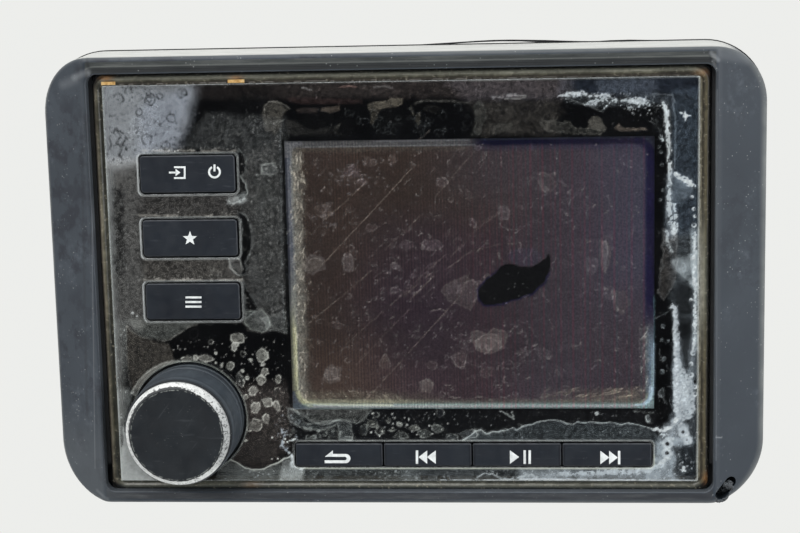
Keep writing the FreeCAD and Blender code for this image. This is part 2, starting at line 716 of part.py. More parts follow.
board = box(-58.2, 58.2, -4.6, -3.0, -37.8, 37.2)
board_cuts = [cylinder(bx, -6.0, bz, 1.2, 4.0) for bx, bz in
              ((-56.5, 34.5), (56.5, 34.5), (56.5, -33.5), (-28.0, -36.0))]
board_cuts += [box(58.3 - 3, 59.0, -5.0, -2.0, -39.0, -36.4)]
keep(cut(board, board_cuts), "front_board")


def screw(x, y, zz, r, length, head_r, head_tall, to):
    """A pan head screw; y is the seat of the head and the shank goes along 'to'."""
    back = "-Y" if to == "+Y" else "+Y"
    head = cylinder(x, y, zz, head_r, head_tall, back)
    shank = cylinder(x, y, zz, r, length, to)
    s = 1 if back == "+Y" else -1
    y_out = float(y) + s * head_tall
    a = box(float(x) - head_r * 0.62, float(x) + head_r * 0.62, min(y_out, y_out - s * head_tall * 0.5),
            max(y_out, y_out - s * head_tall * 0.5), float(zz) - 0.22 * head_r, float(zz) + 0.22 * head_r)
    c = box(float(x) - head_r * 0.22, float(x) + head_r * 0.22, min(y_out, y_out - s * head_tall * 0.5),
            max(y_out, y_out - s * head_tall * 0.5), float(zz) - 0.62 * head_r, float(zz) + 0.62 * head_r)
    return cut(fuse([head, shank]), [a, c])


keep(group([screw(bx, -3.0, bz, 0.9, 3.8, 1.9, 1.2, "-Y") for bx, bz in
            ((-56.5, 34.5), (56.5, 34.5), (56.5, -33.5), (-28.0, -36.0))]), "board_screws")

# ============================================================== encoder ====
keep(cut(box(knob_x - 5.85, knob_x + 5.85, -7.9, -4.6, knob_z - 5.85, knob_z + 5.85),
         [cylinder(knob_x, -8.2, knob_z, 1.5, 3.0)]), "encoder_body")
keep(cut(cylinder(knob_x, -12.6, knob_z, 3.5, 4.7),
         [cylinder(knob_x, -13.0, knob_z, z("ShaftRad") + 0.05, 6.0)]), "encoder_bushing")
keep(cut(cylinder(knob_x, -10.2, knob_z, 5.6, 0.3), [cylinder(knob_x, -11.0, knob_z, 3.55, 2.0)]),
     "encoder_washer")
b = new_body("nut")
sk = new_sketch(b, "XZ_Plane", 10.2)
pts = [(float(knob_x) + 5.77 * math.cos(math.radians(60 * k + 30)),
        float(knob_z) + 5.77 * math.sin(math.radians(60 * k + 30))) for k in range(6)]
poly(sk, pts)
ring_circle(sk, knob_x, knob_z, 3.52)
pad(b, sk, 1.7)
keep(b, "encoder_nut")
keep(cylinder(knob_x, -9.0, knob_z, 1.2, 2.9, "+Y", "push_pin"), "encoder_push_pin")
b = new_body("shaft")
sk = new_sketch(b, "XZ_Plane", 9.0)
ring_circle(sk, knob_x, knob_z, z("ShaftRad"))
pad(b, sk, 13.5)
sk = new_sketch(b, "XZ_Plane", 22.5)
rect(sk, knob_x + 1.5, knob_x + 4.0, knob_z - 4.0, knob_z + 4.0)
pocket(b, sk, 8.0)
keep(b, "encoder_shaft")

# ================================================================= knob ====


def turned(stem, profile):
    """A body turned about the knob axis. profile: radius, distance in front of the seat."""
    b = new_body(stem)
    sk = new_sketch(b, "XY_Plane", 0.0)
    poly(sk, [(r, -Q.of(y)) for r, y in profile])
    revolve(b, sk)
    b.Placement = Placement(Vector(float(knob_x), 0, float(knob_z)), Rotation())
    bind(b, "Placement.Base.x", knob_x)
    bind(b, "Placement.Base.z", knob_z)
    return b


kf, kb = z("KnobFront"), z("KnobBack")
rs, rr_, rc = z("KnobSkirtRad"), z("KnobRingRad"), z("KnobCapRad")
b = turned("knob", [
    (Q.of(8.4), kb), (rs - 0.25, kb), (rs, kb + 0.3), (rs, kb + 5.0), (rs - 0.28, kb + 5.15), (rs - 0.28, kb + 5.45),
    (rs - 0.02, kb + 5.6), (rs - 0.12, kb + 9.5), (rs - 0.3, kf - 2.4), (rs - 0.5, kf - 2.05), (rr_ - 0.25, kf - 1.9), (rr_ - 0.25, kf - 1.75),
    (rc - 0.5, kf - 1.75), (rc - 0.5, kf - 0.75), (Q.of(0.0), kf - 0.75), (Q.of(0.0), Q.of(22.5)),
    (z("ShaftRad"), Q.of(22.5)), (z("ShaftRad"), Q.of(14.0)), (Q.of(5.8), Q.of(14.0)), (Q.of(5.8), Q.of(19.5)),
    (Q.of(8.4), Q.of(19.5))])
keep(b, "knob_body")
b = turned("ring", [
    (rc - 0.5, kf - 1.75), (rr_, kf - 1.75), (rr_ + 0.0, kf - 1.25), (rr_ - 0.1, kf - 1.1), (rc + 0.12, kf), (rc, kf), (rc, kf - 0.75), (rc - 0.5, kf - 0.75)])
keep(b, "knob_ring")
b = turned("cap", [
    (Q.of(0.0), kf - 0.75), (rc, kf - 0.75), (rc, kf - 0.12), (rc - 0.12, kf - 0.02), (Q.of(0.0), kf - 0.02)])
keep(b, "knob_cap")

# ================================================================= case ====
b = new_body("case")
sk = new_sketch(b, "XZ_Plane", 1.5)
rect(sk, -z("FlangeHalfW"), z("FlangeHalfW"), -z("FlangeHalfH"), z("FlangeHalfH"))
pad(b, sk, 2.0)
round_edges(b, lambda e: along(e, YA), z("FlangeCorner"))
sk = new_sketch(b, "XZ_Plane", 1.5)
rect(sk, -z("CaseHalfW"), z("CaseHalfW"), -z("CaseHalfH"), z("CaseHalfH"))
pad(b, sk, z("CaseEnd") + 1.5, reverse=True)
round_edges(b, lambda e: along(e, YA) and e.Length > 40, z("CaseCorner"))
sk = new_sketch(b, "XZ_Plane", 3.5)
iw, ih = z("CaseHalfW") - z("CaseWall"), z("CaseHalfH") - z("CaseWall")
rect(sk, -iw, iw, -ih, ih)
pocket(b, sk, 60.0)
# corner bosses for the rear cover screws
for sx in (1, -1):
    for sz in (1, -1):
        sk = new_sketch(b, "XZ_Plane", -z("CaseEnd"))
        ring_circle(sk, Q.of(56.0 * sx), Q.of(35.0 * sz), Q.of(3.4))
        pad(b, sk, 22.0)
        sk = new_sketch(b, "XZ_Plane", -z("CaseEnd"))
        ring_circle(sk, Q.of(56.0 * sx), Q.of(35.0 * sz), Q.of(1.3))
        pocket(b, sk, 14.0, reverse=True)
# webs that tie the bosses to the walls, and rails under the main board
sk = new_sketch(b, "XZ_Plane", -z("CaseEnd"))
for sx in (1, -1):
    for sz in (1, -1):
        rect(sk, min(57.6 * sx, 59.5 * sx), max(57.6 * sx, 59.5 * sx), min(36.6 * sz, 38.5 * sz), max(36.6 * sz, 38.5 * sz))
pad(b, sk, 22.0)
# seal groove in the front of the flange
sk = new_sketch(b, "XZ_Plane", 3.5)
rect(sk, -62.8, 62.8, -42.2, 42.2)
rect(sk, -61.6, 61.6, -41.0, 41.0)
pocket(b, sk, 0.6)
sk = new_sketch(b, "XZ_Plane", 3.5)
for sx in (1, -1):
    for sz in (1, -1):
        ring_circle(sk, z("MountX") * sx, z("MountZ") * sz, z("MountRad"))
        ring_circle(sk, Q.of(65.6 * sx), Q.of(14.0 * sz), Q.of(1.0))
pocket(b, sk, 3.0)
stand = [box(x, x + 5.0, yy, yy + 6.0, -38.3, -35.4, "stand") for x, yy in
         ((-51.0, 6.0), (46.0, 6.0), (-51.0, 38.0), (46.0, 38.0))]
keep(fuse([b] + stand), "mid_case")
b = new_body("seal")
sk = new_sketch(b, "XZ_Plane", 2.9)
rect(sk, -62.75, 62.75, -42.15, 42.15)
rect(sk, -61.65, 61.65, -41.05, 41.05)
pad(b, sk, 0.6)
keep(b, "case_seal")
keep(group([screw(65.6 * sx, -6.0, 14.0 * sz, 1.0, 4.4, 2.3, 1.7, "+Y")
            for sx in (1, -1) for sz in (1, -1)]), "assembly_screws")

# foam gasket between flange and panel; its top edge has worked loose and wavy
b = new_body("gasket")
sk = new_sketch(b, "XZ_Plane", 0.0)
gw, gh = z("TrimBaseHalfW") + z("GasketGrow"), z("TrimBaseHalfH") + z("GasketGrow")
rect(sk, -gw, gw, -gh, gh)
rect(sk, -z("CutHalfW"), z("CutHalfW"), -z("CutHalfH"), z("CutHalfH"))
pad(b, sk, 1.5)
round_edges(b, lambda e: along(e, YA) and e.CenterOfMass.z > 0 and abs(e.CenterOfMass.x) > 70, corner_r)
round_edges(b, lambda e: along(e, YA) and e.CenterOfMass.z < 0 and abs(e.CenterOfMass.x) > 70, corner_r)
wave = [(4.0, 0.0), (6.5, 0.12), (9.0, 0.22), (12.0, 0.36), (15.0, 0.5), (18.5, 0.62), (22.0, 0.62), (25.5, 0.52),
        (29.0, 0.4), (32.5, 0.22), (36.0, 0.06), (38.5, 0.0)]
low = z("TrimBaseHalfH") - 1.0
sk = new_sketch(b, "XZ_Plane", 0.15)
poly(sk, [(x, gh + dz) for x, dz in wave] + [(38.5, low), (4.0, low)])
pad(b, sk, 1.2)
sk = new_sketch(b, "XZ_Plane", 0.15)
poly(sk, [(39.5, gh), (42.0, gh + 0.12), (46.0, gh + 0.16), (49.0, gh + 0.05), (51.0, gh), (51.0, low), (39.5, low)])
pad(b, sk, 1.2)
# the lifted strip leaves a gap under it
sk = new_sketch(b, "XZ_Plane", 2.0)
poly(sk, [(9.5, gh - 0.02), (12.5, gh + 0.13), (16.0, gh + 0.27), (20.0, gh + 0.34), (24.0, gh + 0.26), (27.0, gh + 0.06),
          (27.5, gh - 0.02)])
pocket(b, sk, 4.0)
sk = new_sketch(b, "XZ_Plane", 2.0)
for sx in (1, -1):
    for sz in (1, -1):
        ring_circle(sk, z("MountX") * sx, z("MountZ") * sz, z("MountRad"))
pocket(b, sk, 4.0)
keep(b, "panel_gasket")

# ========================================================== heat sink ======
sink = z("SinkFace")
b = new_body("sink")
sk = new_sketch(b, "XZ_Plane", -(sink + z("SinkPlate")))
rect(sk, -z("CaseHalfW"), z("CaseHalfW"), -z("CaseHalfH"), z("CaseHalfH"))
pad(b, sk, z("SinkPlate"))
round_edges(b, lambda e: along(e, YA), z("CaseCorner"))
sk = new_sketch(b, "XZ_Plane", -(sink + z("SinkPlate")))
rect(sk, Q.of(-55.75), z("FinThick") - 55.75, Q.of(-11.0), Q.of(31.0))
f = pad(b, sk, z("FinTall"), reverse=True)
pat = b.newObject("PartDesign::LinearPattern", nid("fins"))
pat.Originals = [f]
pat.Direction = (base_plane(b, "X_Axis"), [""])
bind(pat, "Length", z("FinPitch") * (z("FinCount") - 1))
pat.Occurrences = int(VALUE["FinCount"])
b.Tip = pat
doc.recompute()
sk = new_sketch(b, "XZ_Plane", -(sink - 1.0))
rect(sk, -49.0, -24.0, -33.2, -19.8)                # power socket
rect(sk, 36.0, 50.6, -32.8, -25.4)                  # data socket
for jx in (-13.5, 0.5):
    for jz in (-29.2, -18.2):
        ring_circle(sk, jx, jz, 4.6)
ring_circle(sk, 20.5, -26.5, 6.4)
pocket(b, sk, 10.0)
sk = new_sketch(b, "XZ_Plane", -(sink - 1.0))
for sx in (1, -1):
    for sz in (1, -1):
        ring_circle(sk, Q.of(56.0 * sx), Q.of(35.0 * sz), Q.of(1.6))
pocket(b, sk, 10.0)
keep(b, "heat_sink")
b = new_body("sink_gasket")
sk = new_sketch(b, "XZ_Plane", -sink)
rect(sk, -z("CaseHalfW"), z("CaseHalfW"), -z("CaseHalfH"), z("CaseHalfH"))
pad(b, sk, sink - z("CaseEnd"))
round_edges(b, lambda e: along(e, YA), z("CaseCorner"))
sk = new_sketch(b, "XZ_Plane", -(sink - 2.0))
poly(sk, [(-59.2, -29.0), (-52.0, -29.0), (-52.0, -38.2), (52.0, -38.2), (52.0, -29.0), (59.2, -29.0),
          (59.2, 29.0), (52.0, 29.0), (52.0, 38.2), (-52.0, 38.2), (-52.0, 29.0), (-59.2, 29.0)])
pocket(b, sk, 5.0)
sk = new_sketch(b, "XZ_Plane", -(sink - 2.0))
for sx in (1, -1):
    for sz in (1, -1):
        ring_circle(sk, Q.of(56.0 * sx), Q.of(35.0 * sz), Q.of(1.6))
pocket(b, sk, 5.0)
keep(b, "rear_gasket")
keep(group([screw(56.0 * sx, 53.5, 35.0 * sz, 1.3, 16.0, 2.8, 2.2, "-Y")
            for sx in (1, -1) for sz in (1, -1)]), "case_screws")

# ========================================================== electronics ====
pb = cut(box(-54.0, 54.0, 3.0, 48.0, -35.4, -33.8),
         [box(-60.0, -51.8, 26.0, 50.0, -40.0, -30.0), box(51.8, 60.0, 26.0, 50.0, -40.0, -30.0)])
keep(pb, "main_board")
keep(fuse([box(-10.0, 10.0, -3.0, 5.0, -16.0, -15.3), box(-10.0, 10.0, 4.3, 5.0, -33.8, -15.3)]),
     "board_ribbon")
chip = cut(box(14.0, 42.0, 45.4, sink, -14.5, 6.5), [cylinder(16.6, 44.0, -4.0, 1.4, 8.0),
                                                   cylinder(39.4, 44.0, -4.0, 1.4, 8.0)])
# the leads bend forward under the chip and go down to the board in front of the connectors
legs = []
for k in range(13):
    lx = 16.0 + 2.0 * k
    legs += [box(lx, lx + 0.8, 46.8, 47.3, -15.2, -14.3), box(lx, lx + 0.8, 38.2, 47.3, -15.2, -14.7),
             box(lx, lx + 0.8, 38.2, 38.7, -33.8, -14.7)]
keep(fuse([chip] + legs), "amp_chip")
keep(cut(box(12.0, 44.0, 43.9, 45.4, -8.0, 0.0), [cylinder(16.6, 42.0, -4.0, 1.5, 6.0),
                                                 cylinder(39.4, 42.0, -4.0, 1.5, 6.0)]), "amp_clamp")
keep(group([screw(x, 43.9, -4.0, 1.2, 6.1, 2.4, 1.6, "+Y") for x in (16.6, 39.4)]), "clamp_screws")
cans = [cylinder(x, yy, -33.8, r, tall, "+Z", "can") for x, yy, r, tall in
        ((-40.0, 16.0, 8.0, 24.0), (-20.0, 18.0, 6.4, 21.0), (-20.0, 34.0, 5.0, 14.0), (44.0, 20.0, 8.0, 24.0))]
keep(group(cans), "capacitors")
keep(cut(cylinder(8.0, 30.0, -33.8, 8.5, 7.0, "+Z"), [cylinder(8.0, 30.0, -34.5, 4.0, 9.0, "+Z")]),
     "power_choke")
keep(box(18.0, 34.0, 12.0, 34.0, -33.8, -27.6), "tuner_can")
keep(group([box(-4.0, 8.0, 8.0, 19.0, -33.8, -32.4), box(-52.0, -45.0, 28.0, 35.0, -33.8, -32.6)]), "chips")

# ====================================================== rear connectors ====
ps = cut(fuse([box(-48.7, -24.3, 38.0, 57.5, -33.0, -20.0), box(-48.7, -24.3, 38.0, 46.0, -33.8, -32.5)]),
         [box(-47.4, -25.6, 42.5, 60.0, -31.7, -21.3)])
pins = []
for k in range(8):
    for row in (0, 1):
        pins.append(box(-46.0 + 2.6 * k, -45.1 + 2.6 * k, 42.5, 50.0, -29.6 + row * 5.2, -28.7 + row * 5.2))
keep(ps, "power_socket")
keep(group(pins), "power_pins")
# four line-out jacks on one block that stands on the board
jack_at = [(jx, jz) for jx in (-13.5, 0.5) for jz in (-29.2, -18.2)]
jacks = [box(-18.4, 5.4, 41.0, 48.6, -33.8, -13.4)]
for jx, jz in jack_at:
    jacks += [cylinder(jx, 48.0, jz, 4.5, 5.5), cylinder(jx, 48.0, jz, 4.15, 13.5)]
keep(cut(fuse(jacks), [cylinder(jx, 48.0, jz, 1.7, 20.0) for jx, jz in jack_at]), "line_out_jacks")
keep(cut(fuse([cylinder(20.5, 40.0, -26.5, 6.2, 22.0), box(14.6, 26.4, 40.0, 47.5, -33.8, -24.0)]),
         [cylinder(20.5, 48.0, -26.5, 4.6, 20.0)]), "aerial_socket")
shellbox = cut(fuse([box(36.3, 50.3, 40.0, 56.0, -32.5, -25.7), box(36.3, 50.3, 40.0, 47.0, -33.8, -32.0)]),
               [box(37.0, 49.6, 45.0, 60.0, -31.7, -26.5)])
tongue = box(37.7, 48.9, 44.5, 54.0, -28.9, -27.1)
keep(fuse([shellbox, tongue]), "data_socket")

# ================================================================ write ====
doc.recompute()
bad = []
for o in doc.Objects:
    if "Invalid" in o.State or "Error" in o.State:
        bad.append("%s (%s) %s" % (o.Name, o.Label, o.State))
for o in PARTS:
    s = o.Shape
    if s.isNull() or not s.isValid() or not s.Solids:
        bad.append("part %s has no valid solid" % o.Label)
if bad:
    raise RuntimeError("; ".join(bad))
labels = [o.Label for o in PARTS]
if len(set(labels)) != len(labels) or len(labels) > 60:
    raise RuntimeError("%d parts, labels must differ and be at most 60" % len(labels))
os.makedirs("parts", exist_ok=True)
for name in os.listdir("parts"):
    if name.endswith(".step") and name[:-5] not in labels:
        os.remove(os.path.join("parts", name))
for o in PARTS:
    o.Shape.exportStep("parts/%s.step" % o.Label)
    bb = o.Shape.BoundBox
    print("%-20s solids %2d  vol %9.1f  x %7.2f..%7.2f  y %7.2f..%7.2f  z %7.2f..%7.2f" % (
        o.Label, len(o.Shape.Solids), o.Shape.Volume, bb.XMin, bb.XMax, bb.YMin, bb.YMax, bb.ZMin, bb.ZMax))
print(len(PARTS), "parts")
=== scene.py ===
import bpy
import bmesh
import json
import math
import numpy as np
from mathutils import Matrix, Vector
from mathutils.bvhtree import BVHTree


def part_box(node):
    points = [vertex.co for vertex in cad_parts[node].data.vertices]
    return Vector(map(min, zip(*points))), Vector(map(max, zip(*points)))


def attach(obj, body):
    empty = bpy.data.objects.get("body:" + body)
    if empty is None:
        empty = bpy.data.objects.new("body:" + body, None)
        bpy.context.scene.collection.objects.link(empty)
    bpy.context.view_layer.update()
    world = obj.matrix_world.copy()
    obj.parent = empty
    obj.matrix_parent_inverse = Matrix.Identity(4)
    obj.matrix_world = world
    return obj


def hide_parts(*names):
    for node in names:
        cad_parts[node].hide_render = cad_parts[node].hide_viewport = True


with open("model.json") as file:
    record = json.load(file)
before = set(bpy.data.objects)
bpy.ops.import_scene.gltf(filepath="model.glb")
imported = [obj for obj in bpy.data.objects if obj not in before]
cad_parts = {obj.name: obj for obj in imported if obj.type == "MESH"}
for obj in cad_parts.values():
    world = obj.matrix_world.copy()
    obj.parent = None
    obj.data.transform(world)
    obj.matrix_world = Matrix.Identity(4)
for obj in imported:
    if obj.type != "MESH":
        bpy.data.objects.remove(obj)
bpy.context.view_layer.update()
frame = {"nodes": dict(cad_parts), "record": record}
NODES = frame["nodes"]
MM = 0.001

# ------------------------------------------------------------------ camera --
# Solved from the outline of the front: millimetres in the frame, unit axes.
EYE = np.array([28.649, -363.600, 62.842])
RIGHT = np.array([0.996676, 0.078362, -0.022292])
UP = np.array([0.008752, 0.169053, 0.985568])
AHEAD = np.array([-0.080999, 0.982487, -0.167805])
FOCAL = 1789.7746
MID = (400.0, 266.5)

cam_data = bpy.data.cameras.new("camera")
cam_data.sensor_width = 36.0
cam_data.sensor_fit = "HORIZONTAL"
cam_data.lens = FOCAL * 36.0 / 800.0
cam_data.clip_start = 0.01
cam_data.clip_end = 20.0
cam = bpy.data.objects.new("camera", cam_data)
bpy.context.scene.collection.objects.link(cam)
m = Matrix.Identity(4)
for row in range(3):
    m[row][0], m[row][1], m[row][2] = RIGHT[row], UP[row], -AHEAD[row]
    m[row][3] = EYE[row] * MM
cam.matrix_world = m
bpy.context.scene.camera = cam
bpy.context.scene.view_settings.view_transform = "Standard"


def seen(x, y, z):
    """Where a point (mm) stands in the view."""
    d = np.stack(np.broadcast_arrays(x - EYE[0], y - EYE[1], z - EYE[2]), -1)
    a = d @ AHEAD
    return MID[0] + FOCAL * (d @ RIGHT) / a, MID[1] - FOCAL * (d @ UP) / a


def under(u, v, y):
    """The point (x, z in mm) on the plane at depth y that stands at u, v in the view."""
    d = (u - MID[0]) / FOCAL * RIGHT - (v - MID[1]) / FOCAL * UP + AHEAD
    t = (y - EYE[1]) / d[1]
    p = EYE + t * d
    return p[0], p[2]


def lin(*rgb):
    """Display values 0 to 255 to linear light."""
    c = np.array(rgb, float) / 255.0
    return np.where(c <= 0.04045, c / 12.92, ((c + 0.055) / 1.055) ** 2.4)


# ------------------------------------------------------------------- noise --
_tables = {}


def table(seed):
    if seed not in _tables:
        _tables[seed] = np.random.RandomState(seed).rand(256, 256)
    return _tables[seed]


def grain(u, v, size, seed):
    x, y = u / size, v / size
    i, j = np.floor(x).astype(int), np.floor(y).astype(int)
    fx, fy = x - i, y - j
    fx, fy = fx * fx * (3 - 2 * fx), fy * fy * (3 - 2 * fy)
    t = table(seed)
    i0, i1, j0, j1 = i & 255, (i + 1) & 255, j & 255, (j + 1) & 255
    return ((t[j0, i0] * (1 - fx) + t[j0, i1] * fx) * (1 - fy)
            + (t[j1, i0] * (1 - fx) + t[j1, i1] * fx) * fy)


def clouds(u, v, size, seed, steps=4, keep=0.5):
    total, amp, norm = 0.0, 1.0, 0.0
    for k in range(steps):
        total = total + amp * grain(u + 13.7 * k, v - 7.3 * k, size / 2 ** k, seed + k)
        norm += amp
        amp *= keep
    return total / norm


def smooth(a, b, x):
    t = np.clip((x - a) / (b - a), 0, 1)
    return t * t * (3 - 2 * t)


# ------------------------------------------------------------------- sheets --
class Sheet:
    """A flat grid at one depth, painted by where its points stand in the view.
    rgb and cover are a thin deposit, rise is its thickness in mm."""

    def __init__(self, xs, zs, y):
        self.xs, self.zs, self.y = np.array(xs), np.array(zs), y
        self.X, self.Z = np.meshgrid(self.xs, self.zs)
        self.U, self.V = seen(self.X, y, self.Z)
        self.rgb = np.full(self.X.shape + (3,), 0.75)
        self.cover = np.zeros(self.X.shape)
        self.rise = np.zeros(self.X.shape)

    def part(self, u0, v0, u1, v1):
        """The slice of the grid that a rectangle of the view covers."""
        pts = [under(u, v, self.y) for u in (u0, u1) for v in (v0, v1)]
        xa, xb = min(p[0] for p in pts), max(p[0] for p in pts)
        za, zb = min(p[1] for p in pts), max(p[1] for p in pts)
        i0, i1 = np.searchsorted(self.xs, [xa, xb])
        j0, j1 = np.searchsorted(self.zs, [za, zb])
        return slice(max(j0 - 1, 0), j1 + 1), slice(max(i0 - 1, 0), i1 + 1)

    def lay(self, s, m, rgb, rise=0.0):
        """Lays a deposit of cover m over what is there."""
        m = np.clip(m, 0, 1)
        c0 = self.cover[s]
        c1 = m + c0 * (1 - m)
        w = (m / np.maximum(c1, 1e-6))[..., None]
        self.rgb[s] = self.rgb[s] * (1 - w) + np.array(rgb) * w
        self.cover[s] = c1
        if rise:
            self.rise[s] = np.maximum(self.rise[s], rise * m)

    def wipe(self, s, m):
        """Takes deposit away."""
        self.cover[s] = self.cover[s] * (1 - np.clip(m, 0, 1))
        self.rise[s] = self.rise[s] * (1 - np.clip(m, 0, 1))


FULL = (slice(None), slice(None))
LIT = 0.80                       # what a fully covered point gives back


def tone(r, g, b):
    """Colour and cover of a deposit that reads as this display value over black."""
    c = lin(r, g, b)
    top = c.max()
    return c / top * 0.80, min(top / LIT, 1.0)


def shake(u, v, amount, size, seed):
    if not amount:
        return u, v
    return (u + amount * 2 * (clouds(u, v, size, seed, 3) - 0.5),
            v + amount * 2 * (clouds(u + 91, v - 37, size, seed + 50, 3) - 0.5))


def to_line(u, v, pts, closed=False):
    pts = [np.array(p, float) for p in pts]
    runs = list(zip(pts, pts[1:] + ([pts[0]] if closed else [])))
    if not closed:
        runs = list(zip(pts[:-1], pts[1:]))
    best = np.full(np.shape(u), 1e9)
    for a, b in runs:
        d = b - a
        n = max(float(d @ d), 1e-9)
        t = np.clip(((u - a[0]) * d[0] + (v - a[1]) * d[1]) / n, 0, 1)
        best = np.minimum(best, np.hypot(u - a[0] - t * d[0], v - a[1] - t * d[1]))
    return best


def within(u, v, pts):
    inside = np.zeros(np.shape(u), bool)
    n = len(pts)
    for i in range(n):
        (x0, y0), (x1, y1) = pts[i], pts[(i + 1) % n]
        if y0 == y1:
            continue
        hit = (y0 > v) != (y1 > v)
        inside ^= hit & (u < (x1 - x0) * (v - y0) / (y1 - y0) + x0)
    return inside


def ring_pts(u, v, ru, rv, n=18, turn=0.0):
    out = []
    for k in range(n):
        a = 2 * math.pi * k / n
        x, y = ru * math.cos(a), rv * math.sin(a)
        out.append((u + x * math.cos(turn) - y * math.sin(turn), v + x * math.sin(turn) + y * math.cos(turn)))
    return out


class Brush:
    """Marks on one sheet, given in view coordinates."""

    def __init__(self, sheet):
        self.s = sheet
        self.seed = 11

    def next(self):
        self.seed += 7
        return self.seed

    def zone(self, pts, rgb, soft=2.0, rough=2.0, size=9.0, edge=None, edge_w=0.9, amount=1.0,
             mottle=0.0, mottle_size=6.0, rise=0.0, grit=0.0):
        """A filled area with a ragged outline, and a tide line along it if edge is given."""
        seed = self.next()
        us, vs = [p[0] for p in pts], [p[1] for p in pts]
        pad = soft + rough + edge_w * 3 + 1
        s = self.s.part(min(us) - pad, min(vs) - pad, max(us) + pad, max(vs) + pad)
        u, v = shake(self.s.U[s], self.s.V[s], rough, size, seed)
        d = to_line(u, v, pts, True)
        d = np.where(within(u, v, pts), -d, d)
        if rgb is not None:
            c, a = tone(*rgb)
            m = smooth(soft, -soft, d) * a * amount
            if mottle:
                m = m * (1 + mottle * 2 * (clouds(self.s.U[s], self.s.V[s], mottle_size, seed + 3, 4) - 0.5))
            if grit:
                m = m * np.clip(1 + grit * 2.4 * (clouds(self.s.U[s], self.s.V[s], 1.9, seed + 12, 2, 0.6) - 0.5), 0.05, 1.5)
            self.s.lay(s, m, c, rise)
        if edge is not None:
            c, a = tone(*edge)
            w = edge_w * (0.6 + 0.8 * clouds(self.s.U[s], self.s.V[s], 7.0, seed + 4, 2))
            m = np.exp(-(d / w) ** 2) * a * (0.55 + 0.9 * clouds(self.s.U[s], self.s.V[s], 5.0, seed + 5, 3) - 0.1)
            self.s.lay(s, m, c, rise)
        return s, d

    def clear(self, pts, amount=1.0, soft=1.5, rough=2.0, size=8.0, edge=None, edge_w=0.8):
        """An area the deposit has left, with a tide line along it if edge is given."""
        seed = self.next()
        us, vs = [p[0] for p in pts], [p[1] for p in pts]
        pad = soft + rough + 4
        s = self.s.part(min(us) - pad, min(vs) - pad, max(us) + pad, max(vs) + pad)
        u, v = shake(self.s.U[s], self.s.V[s], rough, size, seed)
        d = to_line(u, v, pts, True)
        d = np.where(within(u, v, pts), -d, d)
        self.s.wipe(s, smooth(soft, -soft, d) * amount)
        if edge is not None:
            c, a = tone(*edge)
            m = np.exp(-(d / edge_w) ** 2) * a * (0.3 + 1.2 * clouds(self.s.U[s], self.s.V[s], 5.0, seed + 5, 3))
            self.s.lay(s, m, c)

    def line(self, pts, rgb, width=0.8, rough=0.6, size=8.0, gaps=0.0, amount=1.0, rise=0.0, gap_size=6.0):
        seed = self.next()
        us, vs = [p[0] for p in pts], [p[1] for p in pts]
        pad = width * 3 + rough + 1
        s = self.s.part(min(us) - pad, min(vs) - pad, max(us) + pad, max(vs) + pad)
        u, v = shake(self.s.U[s], self.s.V[s], rough, size, seed)
        d = to_line(u, v, pts)
        c, a = tone(*rgb)
        m = np.exp(-(d / width) ** 2) * a * amount
        if gaps:
            n = clouds(self.s.U[s], self.s.V[s], gap_size, seed + 9, 3)
            m = m * smooth(gaps - 0.12, gaps + 0.12, n)
        self.s.lay(s, m, c, rise)

    def crust(self, pts, width, rgb=(205, 211, 214), holes=0.35, size=3.2, rise=0.08, amount=1.0, rough=1.7,
              skirt=(104, 110, 113)):
        """Dried salt along a line: lumpy, broken, with relief. width may vary along the line."""
        seed = self.next()
        ws = width if isinstance(width, (list, tuple)) else [width] * len(pts)
        us, vs = [p[0] for p in pts], [p[1] for p in pts]
        pad = max(ws) * 2.6 + rough + 2
        s = self.s.part(min(us) - pad, min(vs) - pad, max(us) + pad, max(vs) + pad)
        U, V = self.s.U[s], self.s.V[s]
        u, v = shake(U, V, rough, 3.0, seed)
        best, wide = np.zeros(U.shape), np.zeros(U.shape)
        for (a, wa), (b, wb) in zip(list(zip(pts, ws))[:-1], list(zip(pts, ws))[1:]):
            a, b = np.array(a, float), np.array(b, float)
            d = b - a
            t = np.clip(((u - a[0]) * d[0] + (v - a[1]) * d[1]) / max(float(d @ d), 1e-9), 0, 1)
            r = np.hypot(u - a[0] - t * d[0], v - a[1] - t * d[1])
            w = wa + (wb - wa) * t
            best = np.maximum(best, 1 - r / np.maximum(w, 0.1))
            wide = np.maximum(wide, 1 - r / np.maximum(w * 2.2, 0.1))
        n = clouds(U, V, size, seed + 2, 4, 0.65)
        grit = clouds(U, V, 1.9, seed + 8, 2, 0.6)
        c, a = tone(*skirt)
        self.s.lay(s, a * smooth(0.05, 0.7, wide) * np.clip(0.2 + 1.6 * (n - 0.35) + 0.8 * (grit - 0.5), 0.0, 1.0) * amount * 0.75, c)
        body = smooth(0.05, 0.45, best + 0.9 * (n - 0.5) + 1.2 * (grit - 0.5))
        body = body * (1 - 0.85 * smooth(0.60, 0.68, clouds(U, V, 2.6, seed + 14, 2, 0.5)))
        m = body * smooth(holes - 0.15, holes + 0.3, n + 0.35 * best)
        m = m * (0.40 + 0.40 * clouds(U, V, 9.0, seed + 6, 2) + 0.55 * grit) * smooth(0.0, 0.22, best + 0.10 * (n - 0.5))
        c, a = tone(*rgb)
        self.s.lay(s, m * a * amount, c, rise)

